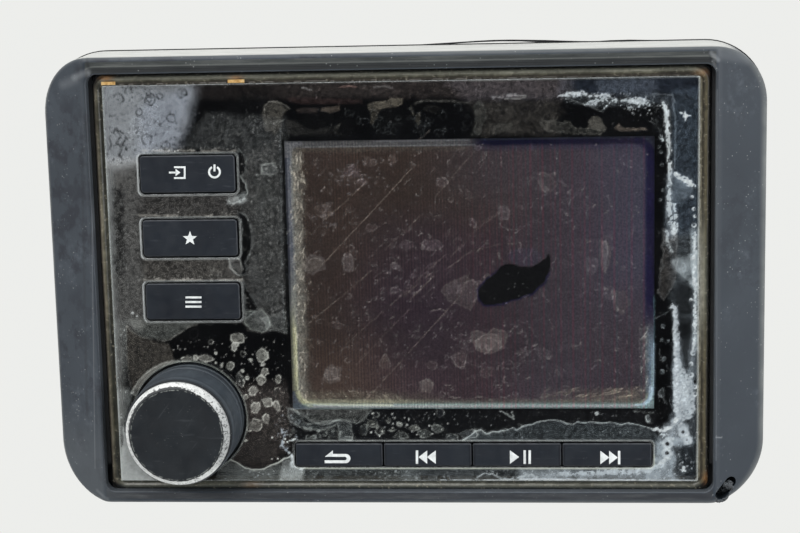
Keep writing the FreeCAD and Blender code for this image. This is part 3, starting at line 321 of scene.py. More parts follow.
    def ring(self, u0, v0, r, rgb, width=0.7, fill=None, rv=None, rough=0.9, turn=0.0, amount=1.0, gaps=0.3,
             rise=0.0):
        """An irregular patch and outline, as a dried drop or a lifted flake leaves."""
        seed = self.next()
        rs_ = np.random.RandomState(seed)
        rv = r if rv is None else rv
        big = max(r, rv)
        pad = big * 1.3 + width * 3 + rough + 2
        s = self.s.part(u0 - pad, v0 - pad, u0 + pad, v0 + pad)
        U, V = self.s.U[s], self.s.V[s]
        if big > 2.4:
            k = 7 + rs_.randint(0, 4)
            pts = []
            for i in range(k):
                t = 2 * math.pi * (i + 0.6 * (rs_.rand() - 0.5)) / k
                q = 0.80 + 0.30 * rs_.rand()
                x, y = r * q * math.cos(t), rv * q * math.sin(t)
                pts.append((u0 + x * math.cos(turn) - y * math.sin(turn), v0 + x * math.sin(turn) + y * math.cos(turn)))
            u, v = shake(U, V, min(rough, 0.16 * big + 0.3), big * 0.5 + 1.2, seed)
            d = to_line(u, v, pts, True)
            d = np.where(within(u, v, pts), -d, d)
        else:
            u, v = shake(U, V, rough * 0.5, 2.5, seed)
            d = (np.hypot((u - u0) / r, (v - v0) / rv) - 1) * min(r, rv)
        ang = np.arctan2(V - v0, U - u0)
        ph = rs_.rand() * 6.283
        if fill is not None:
            c, al = tone(*fill)
            n = clouds(U, V, 2.6, seed + 3, 3, 0.6)
            self.s.lay(s, smooth(0.5, -0.6, d) * al * amount * np.clip(0.85 + 1.1 * (n - 0.5), 0.25, 1.2), c, rise)
        c, al = tone(*rgb)
        m = np.exp(-((d + 0.3) / width) ** 2) * al * amount * (0.60 + 0.40 * np.cos(ang - ph))
        if gaps:
            m = m * smooth(gaps - 0.15, gaps + 0.15, clouds(U, V, 3.0, seed + 9, 2))
        self.s.lay(s, m, c, rise)

    def dark_ring(self, u0, v0, r, width=0.8, amount=0.6, rv=None, rough=0.8, gaps=0.35):
        seed = self.next()
        rv = r if rv is None else rv
        pad = max(r, rv) + width * 3 + rough + 2
        s = self.s.part(u0 - pad, v0 - pad, u0 + pad, v0 + pad)
        U, V = self.s.U[s], self.s.V[s]
        u, v = shake(U, V, rough, r + 1.0, seed)
        d = (np.hypot((u - u0) / r, (v - v0) / rv) - 1) * min(r, rv)
        m = np.exp(-(d / width) ** 2) * amount
        m = m * smooth(gaps - 0.15, gaps + 0.15, clouds(U, V, 4.0, seed + 9, 2))
        self.s.wipe(s, m)

    def dark_line(self, pts, width=0.8, amount=0.6, rough=0.8, size=5.0, gaps=0.3):
        seed = self.next()
        us, vs = [p[0] for p in pts], [p[1] for p in pts]
        pad = width * 3 + rough + 1
        s = self.s.part(min(us) - pad, min(vs) - pad, max(us) + pad, max(vs) + pad)
        U, V = self.s.U[s], self.s.V[s]
        u, v = shake(U, V, rough, size, seed)
        m = np.exp(-(to_line(u, v, pts) / width) ** 2) * amount
        m = m * smooth(gaps - 0.15, gaps + 0.15, clouds(U, V, 4.0, seed + 9, 2))
        self.s.wipe(s, m)

    def dots(self, pts, count, r0, r1, rgb, amount=1.0, rise=0.0, ringed=0.0):
        """Small specks scattered over an area."""
        rs = np.random.RandomState(self.next())
        us, vs = [p[0] for p in pts], [p[1] for p in pts]
        done = 0
        c, a = tone(*rgb)
        while done < count:
            u0, v0 = rs.uniform(min(us), max(us)), rs.uniform(min(vs), max(vs))
            if not within(np.array([u0]), np.array([v0]), pts)[0]:
                continue
            done += 1
            r = r0 + (r1 - r0) * rs.rand() ** 2.2
            k = 0.35 + 0.65 * rs.rand()
            s = self.s.part(u0 - 3 * r - 1, v0 - 3 * r - 1, u0 + 3 * r + 1, v0 + 3 * r + 1)
            d = np.hypot(self.s.U[s] - u0, (self.s.V[s] - v0) * rs.uniform(0.8, 1.3))
            if rs.rand() < ringed:
                m = np.exp(-((d - r * 1.3) / (0.5 * r + 0.2)) ** 2)
            else:
                m = smooth(r + 0.55, r * 0.5, d)
            self.s.lay(s, m * a * k * amount, c, rise)

    def hairs(self, pts, count, length, angle, spread, rgb, width=0.35, amount=0.6):
        """Short fine strokes."""
        rs = np.random.RandomState(self.next())
        us, vs = [p[0] for p in pts], [p[1] for p in pts]
        c, a = tone(*rgb)
        done = 0
        while done < count:
            u0, v0 = rs.uniform(min(us), max(us)), rs.uniform(min(vs), max(vs))
            if not within(np.array([u0]), np.array([v0]), pts)[0]:
                continue
            done += 1
            t = math.radians(angle + spread * rs.randn())
            ln = length * (0.4 + rs.rand())
            bend = rs.randn() * ln * 0.12
            p1 = (u0 + ln * 0.5 * math.cos(t) - bend * math.sin(t), v0 + ln * 0.5 * math.sin(t) + bend * math.cos(t))
            p2 = (u0 + ln * math.cos(t), v0 + ln * math.sin(t))
            xs, ys = [u0, p1[0], p2[0]], [v0, p1[1], p2[1]]
            s = self.s.part(min(xs) - 1.5, min(ys) - 1.5, max(xs) + 1.5, max(ys) + 1.5)
            d = to_line(self.s.U[s], self.s.V[s], [(u0, v0), p1, p2])
            self.s.lay(s, np.exp(-(d / width) ** 2) * a * amount * (0.4 + 0.6 * rs.rand()), c)


# ------------------------------------------------------------------- nodes --
class Mat:
    """A small helper that builds one node material."""

    def __init__(self, name):
        self.m = bpy.data.materials.new(name)
        self.m.use_nodes = True
        self.t = self.m.node_tree
        self.t.nodes.clear()
        self.out = self.node("ShaderNodeOutputMaterial")
        self._obj = None
        self._geo = None

    def node(self, kind, **props):
        n = self.t.nodes.new(kind)
        for k, v in props.items():
            setattr(n, k, v)
        return n

    def put(self, socket, v):
        if isinstance(v, bpy.types.NodeSocket):
            self.t.links.new(v, socket)
        elif isinstance(v, (tuple, list, np.ndarray)) and len(v) == 3 and socket.type == "RGBA":
            socket.default_value = (float(v[0]), float(v[1]), float(v[2]), 1.0)
        elif isinstance(v, (tuple, list, np.ndarray)):
            socket.default_value = [float(c) for c in v]
        else:
            socket.default_value = v

    def place(self):
        if self._obj is None:
            self._obj = self.node("ShaderNodeTexCoord").outputs["Object"]
        return self._obj

    def axis(self, name, source=None):
        n = self.node("ShaderNodeSeparateXYZ")
        self.put(n.inputs[0], source if source is not None else self.place())
        return n.outputs[name]

    def normal(self):
        if self._geo is None:
            self._geo = self.node("ShaderNodeNewGeometry").outputs["Normal"]
        t = self.node("ShaderNodeVectorTransform", vector_type="NORMAL", convert_from="WORLD", convert_to="OBJECT")
        self.put(t.inputs[0], self._geo)
        return t.outputs[0]

    def noise(self, scale, detail=3.0, rough=0.5, warp=0.0, stretch=None, vec=None):
        v = vec if vec is not None else self.place()
        if stretch:
            mp = self.node("ShaderNodeMapping")
            self.put(mp.inputs["Vector"], v)
            self.put(mp.inputs["Scale"], stretch)
            v = mp.outputs[0]
        n = self.node("ShaderNodeTexNoise")
        self.put(n.inputs["Vector"], v)
        n.inputs["Scale"].default_value = scale
        n.inputs["Detail"].default_value = detail
        n.inputs["Roughness"].default_value = rough
        n.inputs["Distortion"].default_value = warp
        return n.outputs["Fac"]

    def cells(self, scale, feature="F1", out="Distance", vec=None, rand=1.0):
        n = self.node("ShaderNodeTexVoronoi", feature=feature)
        self.put(n.inputs["Vector"], vec if vec is not None else self.place())
        n.inputs["Scale"].default_value = scale
        n.inputs["Randomness"].default_value = rand
        return n.outputs[out]

    def math(self, op, a, b=None, c=None, clamp=False):
        n = self.node("ShaderNodeMath", operation=op, use_clamp=clamp)
        self.put(n.inputs[0], a)
        if b is not None:
            self.put(n.inputs[1], b)
        if c is not None:
            self.put(n.inputs[2], c)
        return n.outputs[0]

    def span(self, v, a, b, to0=0.0, to1=1.0, soft=False):
        n = self.node("ShaderNodeMapRange", interpolation_type="SMOOTHSTEP" if soft else "LINEAR")
        n.clamp = True
        for i, x in enumerate((v, a, b, to0, to1)):
            self.put(n.inputs[i], x)
        return n.outputs[0]

    def mix(self, f, a, b, mode="MIX"):
        n = self.node("ShaderNodeMix", data_type="RGBA", blend_type=mode)
        n.clamp_factor = True
        self.put(n.inputs[0], f)
        self.put(n.inputs[6], a)
        self.put(n.inputs[7], b)
        return n.outputs[2]

    def ramp(self, f, stops, kind="LINEAR"):
        n = self.node("ShaderNodeValToRGB")
        self.put(n.inputs[0], f)
        cr = n.color_ramp
        cr.interpolation = kind
        while len(cr.elements) < len(stops):
            cr.elements.new(0.5)
        for e, (p, c) in zip(cr.elements, stops):
            e.position = p
            e.color = (c[0], c[1], c[2], 1.0)
        return n.outputs["Color"]

    def attr(self, name, out="Color"):
        n = self.node("ShaderNodeAttribute", attribute_name=name)
        return n.outputs[out]

    def bump(self, height, strength=0.3, distance=0.0001, normal=None):
        n = self.node("ShaderNodeBump")
        self.put(n.inputs["Height"], height)
        n.inputs["Strength"].default_value = strength
        n.inputs["Distance"].default_value = distance
        if normal is not None:
            self.put(n.inputs["Normal"], normal)
        return n.outputs[0]

    def shader(self, **kw):
        n = self.node("ShaderNodeBsdfPrincipled")
        for k, v in kw.items():
            self.put(n.inputs[k.replace("_", " ")], v)
        return n.outputs[0]

    def blend(self, f, a, b):
        n = self.node("ShaderNodeMixShader")
        self.put(n.inputs[0], f)
        self.t.links.new(a, n.inputs[1])
        self.t.links.new(b, n.inputs[2])
        return n.outputs[0]

    def done(self, shader):
        self.t.links.new(shader, self.out.inputs["Surface"])
        return self.m


def wear(name, material):
    o = NODES[name]
    o.data.materials.clear()
    o.data.materials.append(material)


# --------------------------------------------------------------- materials --
# painted highlights and painted shade at the bends of the corners and along the edges: x0, z0, x1, z1, half width (m),
# strength (painted shade if negative)
def streak(u0, v0, u1, v1, w, k):
    a, b = under(u0, v0, -14.4), under(u1, v1, -14.4)
    return a[0] * MM, a[1] * MM, b[0] * MM, b[1] * MM, w * 0.0002, k


PAINTED_CREASE_LIGHT_AND_SHADE = [streak(87, 60, 89, 68, 3.0, -0.5), streak(72, 78, 88, 72, 5.5, 0.24), streak(58, 86, 74, 80, 8.0, 0.14),
           streak(76, 70, 84, 66, 4.0, -0.3), streak(89, 73, 91, 84, 2.6, 0.14), streak(709, 51, 711, 61, 2.2, -0.5),
           streak(711, 53, 718, 60, 3.6, 0.34), streak(713, 61, 716, 70, 2.8, 0.18), streak(720, 54, 748, 60, 9.0, 0.16),
           streak(96, 492, 108, 499, 3.0, 0.16),
           streak(716, 437, 722, 438.5, 1.2, 0.4), streak(92, 120, 93.5, 470, 1.3, 0.16), streak(81, 150, 84, 420, 3.2, -0.30),
           streak(717, 90, 716, 460, 1.5, 0.14)]


def make_trim():
    g = Mat("trim_weathered_and_painted_light")
    n = g.normal()
    nz, nx, ny = g.axis("Z", n), g.axis("X", n), g.axis("Y", n)
    px, py, pz = g.axis("X"), g.axis("Y"), g.axis("Z")
    big = g.noise(60, 4, 0.6)
    mid = g.noise(240, 5, 0.62)
    fine = g.noise(2600, 3, 0.6)
    base = g.ramp(big, [(0.30, lin(42, 49, 57)), (0.5, lin(47, 54, 62)), (0.72, lin(54, 61, 69))])
    # dull dark patches on the side wings
    patch = g.math("MULTIPLY", g.span(mid, 0.46, 0.62, soft=True), g.span(g.noise(38, 3), 0.44, 0.58, soft=True))
    base = g.mix(g.math("MULTIPLY", patch, g.span(px, -0.02, 0.02, 0.85, 0.4)), base, lin(29, 33, 42))
    # pale bloom in thin clouds
    bloom = g.math("MULTIPLY", g.span(g.noise(130, 6, 0.7), 0.52, 0.75, soft=True), g.span(g.noise(900, 3), 0.35, 0.7))
    base = g.mix(g.math("MULTIPLY", bloom, 0.30), base, lin(112, 120, 130))
    # the flat front rim is a neutral grey with fine scuffs along it, paler on the left and towards the top
    front = g.span(ny, -0.985, -0.999, soft=True)
    scuff = g.noise(900, 4, 0.65, stretch=(0.12, 1.0, 1.0))
    rim = g.ramp(scuff, [(0.30, lin(40, 42, 46)), (0.5, lin(51, 53, 57)), (0.75, lin(74, 76, 78))])
    rim_l = g.ramp(scuff, [(0.30, lin(47, 49, 52)), (0.5, lin(60, 62, 65)), (0.75, lin(86, 88, 89))])
    rim = g.mix(g.span(px, -0.03, 0.02), rim_l, rim)
    rim_top = g.ramp(scuff, [(0.30, lin(48, 50, 49)), (0.5, lin(62, 65, 64)), (0.75, lin(86, 88, 86))])
    rim = g.mix(g.span(pz, 0.0, 0.040), rim, rim_top)
    base = g.mix(g.math("MULTIPLY", front, 0.9), base, rim)
    # painted reflection: the lower end of the left wing is painted paler
    low = g.math("MULTIPLY", g.span(pz, -0.024, -0.038, soft=True), g.span(px, -0.056, -0.064))
    base = g.mix(g.math("MULTIPLY", low, 0.5), base, lin(76, 81, 85))
    # painted highlight: the lip round the window is painted paler
    lip = g.math("MULTIPLY", g.span(g.math("ABSOLUTE", px), 0.0632, 0.0620), g.span(ny, -0.97, -0.7))
    base = g.mix(g.math("MULTIPLY", lip, 0.5), base, lin(84, 88, 92))
    # the top wall faces the sky; painted reflection: it is painted almost white, with dusty mottling
    top = g.math("MULTIPLY", g.span(nz, 0.80, 0.97, soft=True), g.span(pz, 0.0435, 0.0450))
    dust_and_sheen = g.span(g.noise(500, 5, 0.6, stretch=(0.3, 1, 1)), 0.2, 0.6)
    base = g.mix(g.math("MULTIPLY", top, g.math("MULTIPLY_ADD", dust_and_sheen, 0.25, 0.72)), base, lin(188, 189, 185))
    # painted shade and painted highlight: dark and pale lines round the window stand for the shading of fine steps, and
    # the upper rim next to the window is painted darker
    wx = g.math("SUBTRACT", g.math("ABSOLUTE", px), 0.06175 - 0.0020)
    wz = g.math("SUBTRACT", g.math("ABSOLUTE", g.math("ADD", pz, 0.00045)), 0.04265 - 0.0020)
    mx_, mz_ = g.math("MAXIMUM", wx, 0.0), g.math("MAXIMUM", wz, 0.0)
    win = g.math("SUBTRACT", g.math("ADD", g.math("SQRT", g.math("ADD", g.math("MULTIPLY", mx_, mx_), g.math("MULTIPLY", mz_, mz_))),
                                    g.math("MINIMUM", g.math("MAXIMUM", wx, wz), 0.0)), 0.0020)
    upper = g.span(pz, 0.038, 0.0425)
    shade_ = g.math("MULTIPLY", g.span(win, 0.00140, 0.00120), g.math("MULTIPLY", upper, 0.75))
    base = g.mix(g.math("MULTIPLY", shade_, front), base, lin(38, 40, 42))
    for d0_, w_, k_, c_ in ((0.00055, 0.00016, 0.35, (20, 22, 24)), (0.00088, 0.00013, 0.6, (18, 20, 22)), (0.00122, 0.00012, 0.5, (24, 26, 28)),
                            (0.00158, 0.00016, 0.35, (112, 114, 112))):
        m_ = g.math("MULTIPLY", g.span(g.math("ABSOLUTE", g.math("SUBTRACT", win, d0_)), w_, w_ * 0.3), g.math("MULTIPLY", upper, k_))
        base = g.mix(g.math("MULTIPLY", m_, front), base, lin(*c_))
    # painted reflection: the outer rounding is painted paler all round, less on the top and bottom
    qx = g.math("SUBTRACT", g.math("ABSOLUTE", px), 0.0726 - 0.0120)
    qz = g.math("SUBTRACT", g.math("ABSOLUTE", pz), 0.04615 - 0.0120)
    ox, oz = g.math("MAXIMUM", qx, 0.0), g.math("MAXIMUM", qz, 0.0)
    far = g.math("SQRT", g.math("ADD", g.math("MULTIPLY", ox, ox), g.math("MULTIPLY", oz, oz)))
    far = g.math("ADD", far, g.math("MINIMUM", g.math("MAXIMUM", qx, qz), 0.0))
    depth = g.math("SUBTRACT", 0.0120, far)
    reach_ = g.span(px, -0.01, 0.01, 0.0010, 0.0019)
    painted_edge_sheen = g.math("DIVIDE", depth, reach_)
    painted_edge_sheen = g.math("MULTIPLY", g.span(painted_edge_sheen, 1.0, 0.0, soft=True), g.span(g.noise(160, 4), 0.3, 0.7, 0.45, 0.95))
    painted_edge_sheen = g.math("MULTIPLY", painted_edge_sheen, g.span(ny, -0.1, -0.3))
    painted_edge_sheen = g.math("MULTIPLY", painted_edge_sheen, g.math("MULTIPLY", g.span(pz, 0.0395, 0.0435, 1.0, 0.5), g.span(pz, -0.0395, -0.0435, 1.0, 0.6)))
    base = g.mix(painted_edge_sheen, base, lin(128, 131, 129))
    # painted highlights and painted shade: soft pale and dark streaks where the frame bends at its corners and along
    # its edges
    for x0_, z0_, x1_, z1_, w_, k_ in PAINTED_CREASE_LIGHT_AND_SHADE:
        dx_, dz_ = x1_ - x0_, z1_ - z0_
        n2_ = dx_ * dx_ + dz_ * dz_
        t_ = g.math("ADD", g.math("MULTIPLY", g.math("SUBTRACT", px, x0_), dx_ / n2_),
                    g.math("MULTIPLY", g.math("SUBTRACT", pz, z0_), dz_ / n2_), clamp=True)
        ex = g.math("SUBTRACT", g.math("SUBTRACT", px, x0_), g.math("MULTIPLY", t_, dx_))
        ez = g.math("SUBTRACT", g.math("SUBTRACT", pz, z0_), g.math("MULTIPLY", t_, dz_))
        r_ = g.math("SQRT", g.math("ADD", g.math("MULTIPLY", ex, ex), g.math("MULTIPLY", ez, ez)))
        m_ = g.math("MULTIPLY", g.span(r_, w_, 0.0, soft=True), abs(k_))
        base = g.mix(m_, base, lin(150, 154, 158) if k_ > 0 else lin(22, 25, 30))
    # tiny pale specks
    speck = g.math("MULTIPLY", g.span(g.cells(1100), 0.17, 0.07), g.span(g.noise(260, 2), 0.50, 0.62))
    base = g.mix(g.math("MULTIPLY", speck, 0.7), base, lin(150, 153, 152))
    pits = g.math("ADD", g.math("MULTIPLY", fine, 0.6), g.math("MULTIPLY", mid, 0.5))
    rough = g.span(mid, 0.3, 0.7, 0.36, 0.55)
    return g.done(g.shader(Base_Color=base, Roughness=rough, Specular_IOR_Level=0.3,
                           Normal=g.bump(pits, 0.25, 0.00008)))


def make_lens():
    g = Mat("lens_hazed_clear")
    n = g.normal()
    side = g.math("ABSOLUTE", g.axis("Y", n))
    clear = g.node("ShaderNodeBsdfTransparent")
    clear.inputs[0].default_value = (0.93, 0.94, 0.95, 1)
    gloss = g.node("ShaderNodeBsdfGlossy")
    gloss.inputs["Color"].default_value = (1, 1, 1, 1)
    g.put(gloss.inputs["Roughness"], g.span(g.noise(300, 4), 0.3, 0.7, 0.03, 0.09))
    fres = g.node("ShaderNodeFresnel")
    fres.inputs["IOR"].default_value = 1.45
    face = g.blend(g.math("MULTIPLY", fres.outputs[0], 0.9), clear.outputs[0], gloss.outputs[0])
    # rounded and cut edges scatter light
    frost = g.shader(Base_Color=g.ramp(g.noise(1200, 4), [(0.3, lin(120, 124, 124)), (0.7, lin(172, 176, 176))]),
                     Roughness=0.6)
    px, pz = g.axis("X"), g.axis("Z")
    rim = g.math("MAXIMUM", g.span(g.math("ABSOLUTE", px), 0.0575, 0.0583),
                 g.span(g.math("ABSOLUTE", g.math("ADD", pz, 0.00065)), 0.0393, 0.0401))
    low = g.math("MULTIPLY_ADD", rim, 0.27, 0.08)
    edge = g.math("MULTIPLY", g.span(side, 0.985, 0.90, soft=True), g.span(side, 0.0, 0.35, low, 0.62))
    edge = g.math("MULTIPLY", edge, g.span(g.noise(500, 3), 0.25, 0.6, 0.5, 1.0))
    return g.done(g.blend(edge, face, frost))


def make_film():
    """Dried stain, haze and salt on the front face, with painted reflections and painted highlights. Cover and colour
    ride on the mesh.
    """
    g = Mat("dried_stain_and_painted_light")
    c = g.attr("stain")
    a = g.attr("stain", "Alpha")
    mp = g.place()
    fine = g.noise(4200, 3, 0.6)
    mid = g.noise(1100, 4, 0.65)
    thick = g.span(a, 0.03, 0.16, soft=True)
    a = g.math("MULTIPLY", a, g.span(mid, 0.36, 0.64, g.span(thick, 0.0, 1.0, 0.45, 0.92), g.span(thick, 0.0, 1.0, 1.55, 1.08)))
    a = g.math("MULTIPLY", a, g.span(fine, 0.36, 0.64, g.span(thick, 0.0, 1.0, 0.6, 0.94), g.span(thick, 0.0, 1.0, 1.4, 1.06)), clamp=True)
    heavy = g.span(g.attr("stain", "Alpha"), 0.46, 0.62, soft=True)
    grit = g.noise(2700, 3, 0.65)
    a = g.math("MULTIPLY", a, g.span(grit, 0.40, 0.58, g.span(heavy, 0.0, 1.0, 1.0, 0.74), g.span(heavy, 0.0, 1.0, 1.0, 1.06)),
               clamp=True)
    clear = g.node("ShaderNodeBsdfTransparent")
    clear.inputs[0].default_value = (1, 1, 1, 1)
    relief = g.node("ShaderNodeBump")
    g.put(relief.inputs["Height"], g.noise(2600, 4, 0.7))
    g.put(relief.inputs["Strength"], g.span(g.attr("stain", "Alpha"), 0.46, 0.66, 0.05, 0.40))
    relief.inputs["Distance"].default_value = 0.00006
    body = g.shader(Base_Color=c, Roughness=0.75, Specular_IOR_Level=0.25, Normal=relief.outputs[0])
    return g.done(g.blend(a, clear.outputs[0], body))


def make_mask():
    g = Mat("print_black")
    base = g.ramp(g.noise(90, 3), [(0.35, (0.0016, 0.0019, 0.0028)), (0.7, (0.0035, 0.0038, 0.005))])
    return g.done(g.shader(Base_Color=base, Roughness=g.span(g.noise(400, 3), 0.3, 0.7, 0.35, 0.5), Specular_IOR_Level=0.03))


def make_bond():
    """Aged bond under the edge step: olive and brown bands, amber where it is squeezed out."""
    g = Mat("bond_aged")
    px, py, pz = g.axis("X"), g.axis("Y"), g.axis("Z")
    dx = g.math("SUBTRACT", g.math("ABSOLUTE", px), 0.0588)
    dz = g.math("SUBTRACT", g.math("ABSOLUTE", g.math("ADD", pz, 0.00065)), 0.04055)
    d = g.math("MULTIPLY", g.math("MAXIMUM", dx, dz), 1000.0)
    wob = g.math("MULTIPLY", g.math("SUBTRACT", g.noise(160, 4), 0.5), 0.7)
    d = g.math("ADD", d, wob)
    band = g.ramp(g.span(d, 0.0, 2.2), [(0.0, lin(60, 56, 46)), (0.18, lin(104, 98, 80)), (0.48, lin(92, 86, 62)),
                                       (0.60, lin(44, 42, 30)), (0.80, lin(58, 56, 38)), (1.0, lin(24, 24, 20))])
    streak = g.noise(500, 5, 0.7, stretch=(0.25, 1, 0.25))
    band = g.mix(g.span(streak, 0.35, 0.65, 0.0, 0.45), band, lin(36, 34, 26))
    # bottom and right run browner
    low = g.span(pz, -0.036, -0.0415)
    band = g.mix(g.math("MULTIPLY", low, 0.5), band, lin(88, 72, 52))
    out = g.span(py, -0.0122, -0.01235)
    amber = g.ramp(g.noise(1100, 4, 0.65), [(0.32, lin(196, 144, 82)), (0.46, lin(238, 192, 122)), (0.62, lin(250, 216, 156)),
                                            (0.75, lin(253, 236, 196))])
    col = g.mix(out, band, amber)
    return g.done(g.shader(Base_Color=col, Roughness=0.38, Coat_Weight=0.5, Coat_Roughness=0.15,
                           Normal=g.bump(g.noise(700, 4), 0.5, 0.0001)))


def make_key():
    g = Mat("key_satin")
    n = g.normal()
    ny = g.axis("Y", n)
    tilt = g.math("SUBTRACT", 1.0, g.math("ABSOLUTE", ny))
    base = g.ramp(g.noise(140, 4), [(0.3, lin(22, 26, 33)), (0.6, lin(28, 33, 40)), (0.8, lin(36, 40, 46))])
    scratch = g.math("MULTIPLY", g.span(g.noise(1400, 3, 0.7, stretch=(0.15, 1, 1.4)), 0.62, 0.74), 0.25)
    base = g.mix(scratch, base, lin(84, 88, 94))
    px, pz = g.axis("X"), g.axis("Z")
    # painted shade: the transport keys are painted darker next to the gaps between them
    for x0_ in (-0.00446, 0.01358, 0.03161):
        m_ = g.math("MULTIPLY", g.span(g.math("ABSOLUTE", g.math("SUBTRACT", px, x0_)), 0.00075, 0.0006), g.span(pz, -0.031, -0.032))
        base = g.mix(g.math("MULTIPLY", m_, 0.75), base, lin(15, 19, 26))
    worn = g.math("MULTIPLY", g.span(tilt, 0.02, 0.25, soft=True), g.span(g.noise(900, 3), 0.3, 0.7, 0.1, 0.55))
    base = g.mix(worn, base, lin(84, 87, 92))
    # painted shade: the steep sides of the keys are painted near black
    base = g.mix(g.math("MULTIPLY", g.span(tilt, 0.6, 0.95), 0.9), base, lin(9, 10, 13))
    speck = g.math("MULTIPLY", g.span(g.cells(1900), 0.12, 0.04), g.span(g.noise(350, 2), 0.6, 0.72))
    base = g.mix(speck, base, lin(170, 172, 172))
    return g.done(g.shader(Base_Color=base, Roughness=g.span(g.noise(500, 3), 0.3, 0.7, 0.42, 0.6),
                           Specular_IOR_Level=0.3, Normal=g.bump(g.noise(3800, 3), 0.2, 0.00004)))


def make_knob(name, front):
    g = Mat(name)
    px, pz = g.axis("X"), g.axis("Z")
    r = g.math("SQRT", g.math("ADD", g.math("POWER", g.math("ADD", px, 0.04394), 2.0),
                             g.math("POWER", g.math("ADD", pz, 0.02794), 2.0)))
    if front:
        base = g.ramp(g.noise(160, 5, 0.65), [(0.3, lin(22, 25, 29)), (0.6, lin(29, 33, 37)), (0.85, lin(40, 44, 48))])
        # fine scratches in two directions
        s1 = g.span(g.noise(900, 3, 0.75, stretch=(0.10, 1, 1.2)), 0.62, 0.70)
        mp = g.node("ShaderNodeMapping")
        g.put(mp.inputs["Vector"], g.place())
        mp.inputs["Rotation"].default_value = (0, 0.9, 0)
        s2 = g.span(g.noise(1000, 3, 0.75, stretch=(0.08, 1, 1.2), vec=mp.outputs[0]), 0.63, 0.70)
        base = g.mix(g.math("MULTIPLY", g.math("MAXIMUM", s1, s2), 0.12), base, lin(96, 100, 104))
        # chipped edge next to the ring
        chip = g.math("MULTIPLY", g.span(r, 0.00895, 0.00922), g.span(g.noise(1500, 4, 0.7), 0.48, 0.56))
        base = g.mix(chip, base, lin(168, 172, 168))
    else:
        n = g.normal()
        base = g.ramp(g.noise(120, 5, 0.65), [(0.3, lin(45, 50, 56)), (0.6, lin(57, 64, 71)), (0.85, lin(78, 85, 91))])
        streak = g.noise(500, 4, 0.7, stretch=(1, 0.15, 1))
        base = g.mix(g.math("MULTIPLY", g.span(streak, 0.5, 0.7), 0.3), base, lin(84, 92, 98))
        py = g.axis("Y")
        # painted shade and painted highlights: dark and pale bands round the side at set depths stand for the shading
        # of its grooves and edges
        for y0_, w_, c_, k_ in ((-0.0250, 0.00035, (20, 23, 27), 0.85), (-0.0236, 0.0004, (96, 102, 108), 0.4),
                                (-0.0226, 0.0003, (24, 28, 33), 0.6), (-0.0163, 0.0004, (88, 94, 100), 0.35),
                                (-0.0148, 0.0004, (24, 28, 32), 0.55), (-0.0136, 0.0004, (112, 118, 120), 0.45)):
            m_ = g.span(g.math("ABSOLUTE", g.math("SUBTRACT", py, y0_)), w_, w_ * 0.4)
            base = g.mix(g.math("MULTIPLY", m_, k_), base, lin(*c_))
    speck = g.math("MULTIPLY", g.span(g.cells(1700), 0.12, 0.04), g.span(g.noise(350, 2), 0.55, 0.72))
    base = g.mix(speck, base, lin(180, 182, 180))
    return g.done(g.shader(Base_Color=base, Roughness=g.span(g.noise(300, 4), 0.3, 0.7, 0.42, 0.6),
                           Specular_IOR_Level=0.3, Normal=g.bump(g.noise(3500, 3), 0.22, 0.00005)))


def make_ring():
    """Bright-cut chamfer, pitted, with dark coating left on it in places."""
    g = Mat("ring_bright_worn")
    px, pz = g.axis("X"), g.axis("Z")
    r = g.math("SQRT", g.math("ADD", g.math("POWER", g.math("ADD", px, 0.04394), 2.0),
                             g.math("POWER", g.math("ADD", pz, 0.02794), 2.0)))
    n1 = g.noise(1300, 5, 0.7)
    to_left = g.math("DIVIDE", g.math("SUBTRACT", g.math("ADD", pz, 0.02794), g.math("ADD", px, 0.04394)),
                     g.math("MAXIMUM", g.math("MULTIPLY", r, 1.4142), 1e-6))
    lean = g.span(to_left, 0.1, 0.95, soft=True)
    edge = g.math("ADD", r, g.math("MULTIPLY", g.math("SUBTRACT", n1, 0.5), 0.0009))
    inner = g.span(g.math("SUBTRACT", edge, g.math("MULTIPLY", lean, 0.00036)), 0.00946, 0.00934)
    # the chamfer is darker towards the right, with more pits there
    to_right = g.math("DIVIDE", g.math("ADD", px, 0.04394), g.math("MAXIMUM", r, 1e-6))
    east = g.span(to_right, 0.55, 0.95, soft=True)
    pits = g.span(g.math("ADD", g.noise(2300, 4, 0.7), g.math("MULTIPLY", east, 0.05)), 0.575, 0.60)
    dark = g.math("MAXIMUM", inner, g.math("MULTIPLY", pits, g.span(lean, 0.0, 1.0, 0.8, 0.95)))
    bright = g.ramp(g.noise(900, 4, 0.65), [(0.3, (0.50, 0.51, 0.50)), (0.5, (0.64, 0.65, 0.64)), (0.7, (0.76, 0.77, 0.76))])
    bright = g.mix(g.math("MULTIPLY", east, 0.55), bright, (0.22, 0.23, 0.23))
    col = g.mix(dark, bright, lin(32, 35, 38))
    metal = g.math("MULTIPLY", g.math("SUBTRACT", 1.0, dark), 0.3)
    return g.done(g.shader(Base_Color=col, Metallic=metal, Roughness=g.span(n1, 0.3, 0.7, 0.38, 0.52),
                           Normal=g.bump(g.noise(2200, 4), 0.3, 0.00005)))


def plastic(name, a, b, scale=300, rough=(0.45, 0.65), bump=0.25, grain_scale=2500, depth=0.00006, **kw):
    g = Mat(name)
    base = g.ramp(g.noise(scale, 4, 0.6), [(0.3, a), (0.7, b)])
    return g.done(g.shader(Base_Color=base, Roughness=g.span(g.noise(scale * 2, 3), 0.3, 0.7, *rough),
                           Normal=g.bump(g.noise(grain_scale, 3), bump, depth), **kw))


